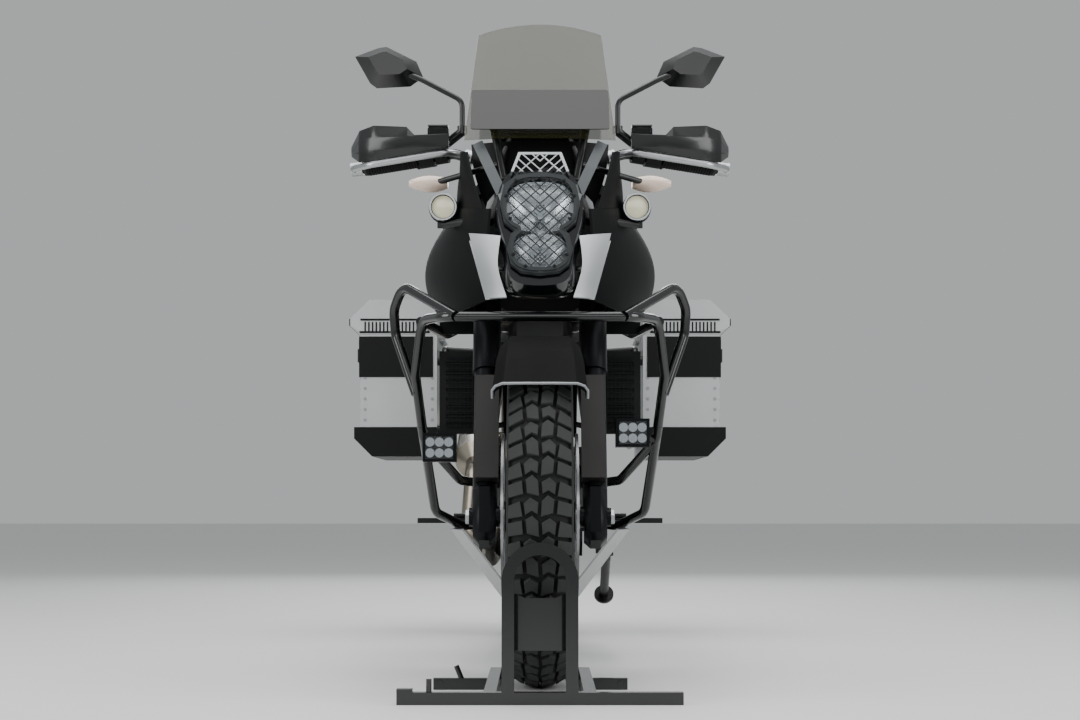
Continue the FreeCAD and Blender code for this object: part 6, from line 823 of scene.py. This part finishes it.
WORK_LAMPS = [on_bike(-205, 232, 140), on_bike(189, 232, 170)]
bezels, bowls, covers, heat_fins = [], [], [], []
for middle in WORK_LAMPS:
    for x, z, w, h in ((0, 26, 68, 6), (0, -26, 68, 6), (31, 0, 6, 46), (-31, 0, 6, 46)):
        bezels.append(block(middle + Vector((x, -3, z)) * MM, w, 7, h))
    for x in (-19, 0, 19):
        for z in (-11, 11):
            spot = middle + Vector((x, 0.5, z)) * MM
            bowls.append(turned([(-4, 9.4), (-3.6, 9.0), (0, 4), (0, 1), (-0.5, 9.6)], spot, Y_AXIS, steps=16))
            bowls.append(block(spot - Y_AXIS * 2 * MM, 3.5, 2, 3.5))
    covers.append(block(middle + Vector((0, -5.2, 0)) * MM, 56, 1.0, 46))
    for x in range(-28, 29, 8):
        heat_fins.append(block(middle + Vector((x, 46, 0)) * MM, 2.2, 7, 54))
piece_from("work_lamp_bezels", *joined(bezels), anodised, "frame", slot="lamp_black")
piece_from("work_lamp_bowls", *joined(bowls), chrome, "frame", smooth=True, slot="lamp_glass")
piece_from("work_lamp_covers", *joined(covers), clear_lens, "frame", slot="lamp_glass")
piece_from("work_lamp_fins", *joined(heat_fins), anodised, "frame", slot="lamp_black")
print("auxiliary lamps made")

# %% [markdown]
# The stone guard over the headlight is a herringbone: the long bars of each side rise outwards,
# and short bars cross from one to the next, each row shifted by half a step as bricks are.
# A tree lays a slim bar at each place, along the direction that the place carries.

# %% Herringbone cross bars


def bar_tree(material):
    """A bar at every place, its length along the place's direction."""
    tree, inputs, exit_node = new_tree("bars along a direction", [
        ("Bar size", "NodeSocketVector", (0.01, 0.002, 0.002))])
    bar = add(tree, "GeometryNodeMeshCube", {}, {"Size": (inputs, "Bar size")})
    facing = add(tree, "GeometryNodeInputNamedAttribute", {"data_type": "FLOAT_VECTOR", "Name": "facing"})
    turn = add(tree, "FunctionNodeAlignRotationToVector", {"axis": "X"}, {"Vector": (facing, "Attribute")})
    copies = add(tree, "GeometryNodeInstanceOnPoints", {}, {
        "Points": (inputs, "Geometry"), "Instance": (bar, "Mesh"), "Rotation": (turn, "Rotation")})
    finish_tree(tree, copies, "Instances", exit_node, material)
    return tree


GUARD_EDGE = 3
LOBE_POWER = 2.7
BROW_LOW, BROW_HIGH, BROW_HALF, BROW_TAPER = 112, 156, 52, 0.4
BAR_PITCH = 19.0
FIRST_BAR = -162.0
FIRST_CROSSING = 9.0
BAR_Y = -11.2


def in_lobe(x, z):
    """Whether a point of the lamp's face lies inside the guard's two-lobed outline."""
    for middle, half, height in LOBES:
        across, up = abs(x) / (half + GUARD_EDGE), abs(z - middle) / (height + GUARD_EDGE)
        if across ** LOBE_POWER + up ** LOBE_POWER < 1:
            return True
    return False


def in_brow(x, z):
    """Whether it lies inside the small mesh above the lamp."""
    return BROW_LOW < z < BROW_HIGH and abs(x) < BROW_HALF - BROW_TAPER * (z - BROW_LOW)


crossings = []
for k in range(18):
    root = FIRST_BAR + BAR_PITCH * k
    for m in range(9):
        x = FIRST_CROSSING + BAR_PITCH * m + (BAR_PITCH / 2 if k % 2 else 0)
        x, z = x - BAR_PITCH / 4, root + x + BAR_PITCH / 4
        if (in_lobe(x, z) or in_brow(x, z)) and x > GUARD_EDGE:
            for s in SIDES:
                along = on_lamp(-s, 0, 1) - on_lamp(0, 0, 0)
                crossings.append((on_lamp(s * x, BAR_Y, z), along))
grown("headlight_guard_cross_bars", places_mesh(crossings), bar_tree(guard_grey),
      {"Bar size": (13.0 * MM, 2.0 * MM, 2.0 * MM)}, "frame")

# %% [markdown]
# The mesh is held in a flat rim with small bolts. The two lobes overlap at a waist, and every point of their
# joint outline can be seen from there, so the outline is found by walking outwards from the waist.

# %% Guard rim
WAIST = -7.0
WALK = 0.25
RIM_STEPS = 72
RIM_WIDTH = 7.0
RIM_BACK, RIM_FRONT = -12.0, -14.6
frame_line = []
for k in range(RIM_STEPS):
    angle = 2 * math.pi * k / RIM_STEPS
    reach = 0.0
    while in_lobe(reach * math.cos(angle), WAIST + reach * math.sin(angle)):
        reach += WALK
    frame_line.append(Vector((reach * math.cos(angle), WAIST + reach * math.sin(angle))))
rings = []
for k, p in enumerate(frame_line):
    along = (frame_line[(k + 1) % RIM_STEPS] - frame_line[k - 1]).normalized()
    inner = p + Vector((-along.y, along.x)) * RIM_WIDTH
    rings.append([on_lamp(p.x, RIM_BACK, p.y), on_lamp(p.x, RIM_FRONT, p.y),
                  on_lamp(inner.x, RIM_FRONT, inner.y), on_lamp(inner.x, RIM_BACK, inner.y)])
piece_from("headlight_guard_rim", *skin(rings + rings[:1], closed=False), guard_grey, "frame", smooth=True,
           slot="guard_steel")
bolts = [(on_lamp(s * x, -14.5, z), -LAMP_BACK)
         for x, z in ((47, 98), (67, 64), (58, 14), (52, -64), (28, -89)) for s in SIDES]
fasteners("headlight_guard_bolts", bolts, "frame", 2.6, 1.4, 6)
print("guard has", len(crossings), "cross bars")

# %% [markdown]
# Beside and above the headlight stand thin mouldings. A black inner panel closes the view to the dash,
# a fin on each side rises from the shroud towards the screen, and two grey straps brace the guard
# to the screen's foot.
# A moulding is drawn as rows of points up the machine, eased into a smooth sheet and given its real thickness.

# %% Thin mouldings


def eased(rows, steps):
    """Rows of points with more rows between them, on a smooth path through each."""
    smooth = []
    for i in range(len(rows) - 1):
        before, after = rows[max(i - 1, 0)], rows[min(i + 2, len(rows) - 1)]
        for step in range(steps):
            t = step / steps
            row = []
            for p0, p1, p2, p3 in zip(before, rows[i], rows[i + 1], after):
                row.append(0.5 * (2 * p1 + (p2 - p0) * t + (2 * p0 - 5 * p1 + 4 * p2 - p3) * t ** 2
                                  + (3 * p1 - p0 - 3 * p2 + p3) * t ** 3))
            smooth.append(row)
    return smooth + [rows[-1]]


def moulding(rows, thickness, steps=5):
    """A closed sheet over rows of points, its wall laid behind it by a thickness in millimetres."""
    wall = thickness * MM
    return skin([row + [p + wall for p in reversed(row)] for row in eased(rows, steps)])


FIN_BOW, STRIP_BOW = 9, -3


def bowed(a, b, u, bow):
    """A point at share u from a to b, pushed out by a bow of so many millimetres in the middle."""
    return a.lerp(b, u) + bow * (MM * 4 * u * (1 - u))


rows = []
for h, half, y_middle, y_side in (
        (578, 92, 130, 164), (640, 116, 150, 190), (700, 134, 168, 214), (757, 140, 186, 230)):
    rows.append([on_bike(half * u, y_middle + (y_side - y_middle) * u * u, h) for u in
                 (-1, -0.75, -0.5, -0.25, 0, 0.25, 0.5, 0.75, 1)])
piece_from("inner_fairing", *moulding(rows, Y_AXIS * 3.5), grained_abs, "frame", smooth=True, slot="guard_black")
rows = []
for front, back in (((104, 98, 566), (171, 238, 622)), ((124, 128, 632), (168, 240, 674)),
                    ((140, 158, 690), (162, 241, 716)), ((149, 190, 735), (157, 239, 744))):
    a, b = on_bike(*front), on_bike(*back)
    rows.append([bowed(a, b, u, X_AXIS * FIN_BOW) for u in (0, 0.2, 0.4, 0.6, 0.8, 1)])
piece_from("cheek_fins", *both(moulding(rows, X_AXIS * -4)), shroud_plastic, "frame", smooth=True,
           slot="paint_black")


def strap(start, end, width, thickness):
    """A flat bar between two points, broad across x."""
    along = (end - start).normalized()
    across = along.cross(Y_AXIS).normalized() * (width * MM / 2)
    deep = along.cross(across).normalized() * (thickness * MM)
    return skin([[p - across, p + across, p + across + deep, p - across + deep]
                 for p in (start, start.lerp(end, 0.5) - Y_AXIS * 2 * MM, end)])


straps = joined([strap(on_bike(75, 92, 634), on_bike(124, 150, 744), 21, 4),
                 strap(on_bike(75, 92, 634), on_bike(60, 60, 590), 16, 4)])
piece_from("guard_straps", *both(straps), strap_grey, "frame", slot="guard_steel")
rows = []
for inner, outer in (((77, 69, 549), (141, 127, 562)), ((82, 54, 488), (124, 101, 491)),
                     ((65, 45, 427), (107, 82, 427))):
    rows.append([bowed(on_bike(*inner), on_bike(*outer), u, Y_AXIS * STRIP_BOW) for u in (0, 0.25, 0.5, 0.75, 1)])
piece_from("nose_strip_covers", *both(moulding(rows, Y_AXIS * 4, 6)), silver_paint, "frame", smooth=True,
           slot="strip_silver")
rows = [[on_bike(137 + width * u, 336, h) for u in (0, 0.5, 1)] for h, width in ((380, 71), (425, 75), (470, 79))]
piece_from("radiator_ducts", *both(moulding(rows, Y_AXIS * 3)), shroud_plastic, "frame", smooth=True,
           slot="guard_black")
print("nose mouldings made")

# %% [markdown]
# The front fender ends in a rolled lip, drawn as a pale grey bead: a painted highlight for the light it catches. It
# follows the fender's cross-section at its front end, 46 degrees ahead of the wheel's top.

# %% Fender lip


def bead(points, radius, sides=8):
    """A round bead along a bent line, mitred at each corner."""
    rings = []
    for i, p in enumerate(points):
        before, after = points[max(i - 1, 0)], points[min(i + 1, len(points) - 1)]
        along = ((after - p).normalized() if after != p else Vector()) + \
                ((p - before).normalized() if before != p else Vector())
        side = along.cross(Vector((0.31, 0.9, 0.3))).normalized()
        other = along.normalized().cross(side)
        rings.append([p + (side * math.cos(a) + other * math.sin(a)) * radius * MM
                      for a in (2 * math.pi * j / sides for j in range(sides))])
    return skin(rings)


FENDER_FRONT = math.radians(46.0)
section = [(-86, 311), (-86, 329), (-80, 340), (-67, 346), (-30, 346.5),
           (30, 346.5), (67, 346), (80, 340), (86, 329), (86, 311)]
lip = [on_bike(x, -r * math.sin(FENDER_FRONT), r * math.cos(FENDER_FRONT)) for x, r in section]
# The bead's pale grey is a painted highlight along the lip.
piece_from("fender_lip", *bead(lip, 2.6), fender_lip_highlight, "steering", smooth=True, slot="fender_black")
print("fender lip made")

# %% [markdown]
# Hand controls. The rubber grips are ribbed sleeves over the bar. The reservoirs have a flat screwed lid,
# and the mirrors a silvered glass behind.

# %% Grips, lids and glasses
parts = []
axis = bar_at(380) - bar_at(262)
outline = [(0, 17.2), (0, 21.5), (3, 21.5), (4, 17.6)]
for i in range(18):
    outline += [(6 + i * 6, 17.6), (7 + i * 6, 18.4), (9 + i * 6, 18.4), (10 + i * 6, 17.6)]
outline += [(116, 17.6), (117, 16.0)]
grips = both(turned(outline, bar_at(262), axis, steps=28))
piece_from("ribbed_grips", *grips, grip_rubber, "steering", smooth=True, slot="matte_black")
cup = bar_at(217) + Vector((0, -31, 43)) * MM
lid = block(cup + Z_AXIS * 14.0 * MM, 43, 32, 3.0)
piece_from("reservoir_lids", *both(lid), smooth_abs, "steering", slot="matte_black")
screws = [(Vector((side * cup.x, cup.y, cup.z)) + Vector((s * 15, 0, 16)) * MM, Z_AXIS)
          for side in SIDES for s in SIDES]
fasteners("reservoir_screws", screws, "steering", 2.4, 1.0, 12, ZINC_FASTENERS)
NECK = on_bike(253, 462, 939)
GLASS = [(0.0, 0.12), (0.10, 0.50), (0.54, 0.86), (0.66, 0.83),
         (1.0, 0.62), (0.78, -0.02), (0.68, -0.144), (0.19, -0.10)]
MIRROR_WIDTH, MIRROR_HEIGHT = 148, 90
centre_x = sum(a for a, _ in GLASS) / len(GLASS)
centre_z = sum(b for _, b in GLASS) / len(GLASS)


def glass_ring(scale, y):
    """The mirror's outline, scaled about its middle and set back by y."""
    return [NECK + Vector((MIRROR_WIDTH * (centre_x + (a - centre_x) * scale), y,
                           MIRROR_HEIGHT * (centre_z + (b - centre_z) * scale))) * MM for a, b in GLASS]


piece_from("mirror_glasses", *both(skin([glass_ring(0.90, 22), glass_ring(0.90, 23.6)])), mirror_silver, "steering",
           slot="disc_steel")
print("hand controls dressed")

# %% [markdown]
# Seats. Both are foam under stretched vinyl, so the CAD solids are inflated a little by the cloth solver:
# the skin is remeshed to even squares, pressed out from inside with gravity off, and no point may move
# further than a few millimetres.

# %% Padded seats
SKIN_STIFFNESS = 40
CLOTH_FRAMES = 15


def pad(name, source, voxel, pressure, reach):
    """A stuffed copy of a solid: remeshed, pressed out by the cloth solver, and held near its first shape."""
    piece = bpy.data.objects.new(name, source.copy())
    bpy.context.scene.collection.objects.link(piece)
    remesh = piece.modifiers.new("Remesh", "REMESH")
    remesh.mode = "VOXEL"
    remesh.voxel_size = voxel
    bpy.context.view_layer.update()
    even = bpy.data.meshes.new_from_object(piece.evaluated_get(bpy.context.evaluated_depsgraph_get()))
    piece.modifiers.clear()
    piece.data = even
    first = [v.co.copy() for v in even.vertices]
    cloth = piece.modifiers.new("Cloth", "CLOTH")
    cloth.settings.use_pressure = True
    cloth.settings.uniform_pressure_force = pressure
    cloth.settings.tension_stiffness = SKIN_STIFFNESS
    cloth.settings.effector_weights.gravity = 0
    scene = bpy.context.scene
    for number in range(1, CLOTH_FRAMES):
        scene.frame_set(number)
    pressed = bpy.data.meshes.new_from_object(piece.evaluated_get(bpy.context.evaluated_depsgraph_get()))
    piece.modifiers.clear()
    piece.data = pressed
    scene.frame_set(1)
    for vertex, start in zip(pressed.vertices, first):
        move = vertex.co - start
        if move.length > reach:
            vertex.co = start + move * (reach / move.length)
    piece.data.materials.clear()
    piece.data.materials.append(seat_vinyl)
    piece.data.polygons.foreach_set("use_smooth", [True] * len(piece.data.polygons))
    return piece


def loose_parts(obj):
    """The separate closed skins of a node, largest first, as meshes with their doubles merged."""
    work = bmesh.new()
    work.from_mesh(obj.data)
    bmesh.ops.remove_doubles(work, verts=work.verts, dist=0.00002)
    left = set(work.verts)
    islands = []
    while left:
        todo = [left.pop()]
        island = set(todo)
        while todo:
            for edge in todo.pop().link_edges:
                for vertex in edge.verts:
                    if vertex in left:
                        left.discard(vertex)
                        island.add(vertex)
                        todo.append(vertex)
        islands.append(island)
    meshes = []
    for island in sorted(islands, key=len, reverse=True):
        part = work.copy()
        part.verts.ensure_lookup_table()
        keep = {v.index for v in island}
        bmesh.ops.delete(part, geom=[v for v in part.verts if v.index not in keep], context="VERTS")
        mesh = bpy.data.meshes.new("part")
        part.to_mesh(mesh)
        part.free()
        meshes.append(mesh)
    work.free()
    return meshes


seat_meshes = sorted(loose_parts(nodes["seats"]), key=lambda m: min(v.co.y for v in m.vertices))
for name, mesh in zip(("rider_seat_pad", "pillion_seat_pad"), seat_meshes):
    seat = pad(name, mesh, voxel=0.007, pressure=3.0, reach=0.003)
    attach(seat, "frame")
    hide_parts("seats")
    print(name, len(seat.data.polygons), "faces")

# %% [markdown]
# The side boxes. Each lid has a ribbed vent band on its rim, a black carry handle and two latches
# on the outer side. The body is riveted along its corners. Ribs and rivets are placed by Geometry Nodes.

# %% Ribs in rows


def row_tree(material):
    """A row of equal bars from a start point, one step apart."""
    tree, inputs, exit_node = new_tree("row of bars", [
        ("Count", "NodeSocketInt", 8), ("Start", "NodeSocketVector", (0, 0, 0)),
        ("Step", "NodeSocketVector", (0.01, 0, 0)), ("Bar size", "NodeSocketVector", (0.002, 0.002, 0.02))])
    line = add(tree, "GeometryNodeMeshLine", {"mode": "OFFSET"}, {
        "Count": (inputs, "Count"), "Start Location": (inputs, "Start"), "Offset": (inputs, "Step")})
    bar = add(tree, "GeometryNodeMeshCube", {}, {"Size": (inputs, "Bar size")})
    copies = add(tree, "GeometryNodeInstanceOnPoints", {}, {"Points": (line, "Mesh"), "Instance": (bar, "Mesh")})
    finish_tree(tree, copies, "Instances", exit_node, material)
    return tree


ABS_ROW = row_tree(grained_abs)
METAL_ROW = row_tree(black_bolt)


def row(name, start, step, count, size, body, tree=ABS_ROW, slot=None):
    """A row of bars, with step and size in millimetres."""
    base = bpy.data.objects.new("row", bpy.data.meshes.new("row"))
    bpy.context.scene.collection.objects.link(base)
    return grown(name, base, tree, {"Count": count, "Start": tuple(start), "Step": tuple(c * MM for c in step),
                                    "Bar size": tuple(c * MM for c in size)}, body)


# %% Side boxes
BOX_FRONT, BOX_REAR = 1244.0, 1694.0
for side, label in ((1, "left"), (-1, "right")):
    lid_body = "lid_" + label
    for y, face in ((BOX_FRONT - 3, -1), (BOX_REAR + 3, 1)):
        start = on_bike(side * 286, y + face * 0.8, 478)
        row(f"{label}_lid_vent_ribs_{'front' if face < 0 else 'rear'}", start, (side * 9.5, 0, 0), 18,
            (4.0, 2.4, 26), lid_body, slot="matte_black")
    rail = []
    for y, face in ((BOX_FRONT - 3, -1), (BOX_REAR + 3, 1)):
        rail.append(block(on_bike(side * 362, y + face * 0.8, 497), 196, 3.0, 5))
        rail.append(block(on_bike(side * 372, y + face * 0.8, 465), 180, 3.0, 5))
    rail.append(block(on_bike(side * 487, (BOX_FRONT + BOX_REAR) / 2, 490), 3.0, 456, 18))
    piece_from(label + "_lid_edge_trims", *joined(rail), grained_abs, lid_body, slot="matte_black")
    handle = []
    for y in (1390, 1548):
        handle.append(block(on_bike(side * 350, y, 552), 26, 22, 9))
    handle.append(block(on_bike(side * 350, 1469, 559), 20, 176, 7))
    piece_from(label + "_lid_handle", *joined(handle), grained_abs, lid_body, slot="matte_black")
    latches = []
    for y in (1330, 1608):
        latches.append(block(on_bike(side * 466, y, 420), 7, 54, 62))
        latches.append(block(on_bike(side * 471, y, 410), 5, 40, 34))
    piece_from(label + "_box_latches", *joined(latches), smooth_abs, "frame", slot="matte_black")
    places = []
    for h in range(240, 350, 27):
        for x in (276, 448):
            places.append((on_bike(side * x, BOX_FRONT - 0.2, h), -Y_AXIS))
            places.append((on_bike(side * x, BOX_REAR + 0.2, h), Y_AXIS))
        for y in (BOX_FRONT + 12, BOX_REAR - 12):
            places.append((on_bike(side * 460.2, y, h), X_AXIS * side))
    fasteners(label + "_box_rivets", places, "frame", 3.2, 1.2, 12, ZINC_FASTENERS)

# %% [markdown]
# Radiators. The CAD has the grooved cores. Each wears a stone guard in front, a fine grid of slim bars.

# %% Stone guards
for side, label in ((1, "left"), (-1, "right")):
    start = on_bike(side * 116, 330, 258)
    row(label + "_stone_guard_uprights", start, (side * 8.4, 0, 0), 10, (1.6, 1.6, 150), "frame", METAL_ROW,
        slot="radiator_black")
    start = on_bike(side * 154, 329, 188)
    row(label + "_stone_guard_bars", start, (0, 0, 10), 15, (84, 1.4, 1.6), "frame", METAL_ROW,
        slot="radiator_black")

# %% [markdown]
# Small metal and plastic parts that carry the eye round the machine: the filler's ring, lid and bolts,
# the display, the axle nuts, and the engine's cover rims, bolts and oil filler.

# %% Trim pieces
cap = on_bike(0, 618, 670)
filler_ring = turned([(-1, 26), (0.5, 40), (2.6, 40), (3.2, 36), (3.2, 27)], cap, Z_AXIS, steps=36)
piece_from("filler_cap_ring", *filler_ring, brushed, "frame", smooth=True, slot="alloy")
piece_from("filler_cap_lid", *turned([(0, 25), (5, 25), (6, 22)], cap, Z_AXIS, steps=36), lacquer, "frame",
           smooth=True, slot="paint_black")
fasteners("filler_cap_bolts", [(cap + Vector((33 * math.cos(a), 33 * math.sin(a), 3.6)) * MM, Z_AXIS)
                               for a in (math.pi * i / 4 for i in range(8))], "frame", 2.6, 1.2, 6)
DASH_TILT = math.radians(38.0)


def on_dash(x, y, z):
    """A place on the display's leaned face."""
    return leaned(on_bike(0, 250, 798), DASH_TILT, x, y, z)


display = [[on_dash(sx * 74, y, sz * 38) for sx, sz in ((-1, -1), (1, -1), (1, 1), (-1, 1))] for y in (16.0, 17.6)]
piece_from("display_glass", *skin(display), dark_glass, "frame", slot="plate_dark")
nut = turned([(0, 14), (6, 14), (7, 12)], FRONT_AXLE + X_AXIS * 136 * MM, X_AXIS, steps=6)
piece_from("axle_nuts", *both(nut), zinc, "steering")
nut = turned([(0, 14), (8, 14), (9, 12)], REAR_AXLE + X_AXIS * 147.5 * MM, X_AXIS, steps=6)
piece_from("rear_axle_nuts", *both(nut), zinc, "frame")
places = []
for s, y, r in ((1, 655, 76), (-1, 699, 88)):
    for i in range(10):
        a = 2 * math.pi * i / 10
        places.append((on_bike(s * 125.5, y + r * math.cos(a), 62 + r * math.sin(a)), X_AXIS * s))
fasteners("engine_cover_bolts", places, "frame", 4.6, 3.0, 6, ZINC_FASTENERS)
covers = [turned([(0, 58), (3, 58), (5, 54)], on_bike(131, 655, 62), X_AXIS, steps=40),
          turned([(0, 66), (3, 66), (5, 60)], on_bike(-131, 699, 62), -X_AXIS, steps=40),
          turned([(0, 13), (9, 13), (11, 10)], on_bike(-120, 760, 112), -X_AXIS, steps=18)]
piece_from("engine_cover_rims", *joined(covers), cast_black, "frame", smooth=True, slot="engine_black")
print("trim pieces made")

# %% [markdown]
# The floor is plain and pale, and the light is soft: one large panel above, and smaller ones
# on each side, in front and behind.
# The camera stands where the photographer's did, 3.7 m ahead of the front axle and 0.35 m above the floor.

# %% Floor, light and camera
# Painted studio floor: pale and even, with a soft pool of light.
floor_paint = finish("pale studio floor", "#dedfdd", 0.0, 0.55, grain=30, depth=0.02, wear=0.05)
mesh = bpy.data.meshes.new("floor")
mesh.from_pydata([(-30, -30, 0), (30, -30, 0), (30, 30, 0), (-30, 30, 0)], [], [(0, 1, 2, 3)])
mesh.materials.append(floor_paint)
floor = bpy.data.objects.new("floor", mesh)
bpy.context.scene.collection.objects.link(floor)

world = bpy.data.worlds.new("studio")
world.use_nodes = True
world.node_tree.nodes["Background"].inputs["Color"].default_value = linear("#c9cdce")
world.node_tree.nodes["Background"].inputs["Strength"].default_value = 0.75
bpy.context.scene.world = world


def panel(name, place, target, size, watts):
    """A soft rectangular light at a place, turned to its target."""
    lamp = bpy.data.lights.new(name, "AREA")
    lamp.shape = "RECTANGLE"
    lamp.size, lamp.size_y = size
    lamp.energy = watts
    holder = bpy.data.objects.new(name, lamp)
    holder.location = place
    holder.rotation_mode = "QUATERNION"
    holder.rotation_quaternion = (Vector(target) - Vector(place)).to_track_quat("-Z", "Y")
    bpy.context.scene.collection.objects.link(holder)


panel("top panel", (0, -0.4, 3.6), (0, 0, 0.6), (3.2, 3.6), 120)
panel("left panel", (3.0, -2.0, 1.9), (0, -0.2, 0.7), (1.6, 2.2), 60)
panel("right panel", (-3.0, -2.0, 1.9), (0, -0.2, 0.7), (1.6, 2.2), 60)
panel("front panel", (0, -5.2, 2.2), (0, -0.5, 0.7), (3.0, 1.2), 28)
panel("rear panel", (0, 4.4, 2.4), (0, 0.3, 0.8), (2.6, 1.6), 60)

camera = bpy.data.cameras.new("camera")
camera.sensor_width = 36.0
camera.lens = 36.0 * 1930 / 1080
camera.shift_y = (504 - 360) / 1080
camera_holder = bpy.data.objects.new("camera", camera)
camera_holder.location = (0, FRONT_AXLE.y - 3.7, 0.35)
camera_holder.rotation_euler = (math.pi / 2, 0, 0)
bpy.context.scene.collection.objects.link(camera_holder)
bpy.context.scene.camera = camera_holder
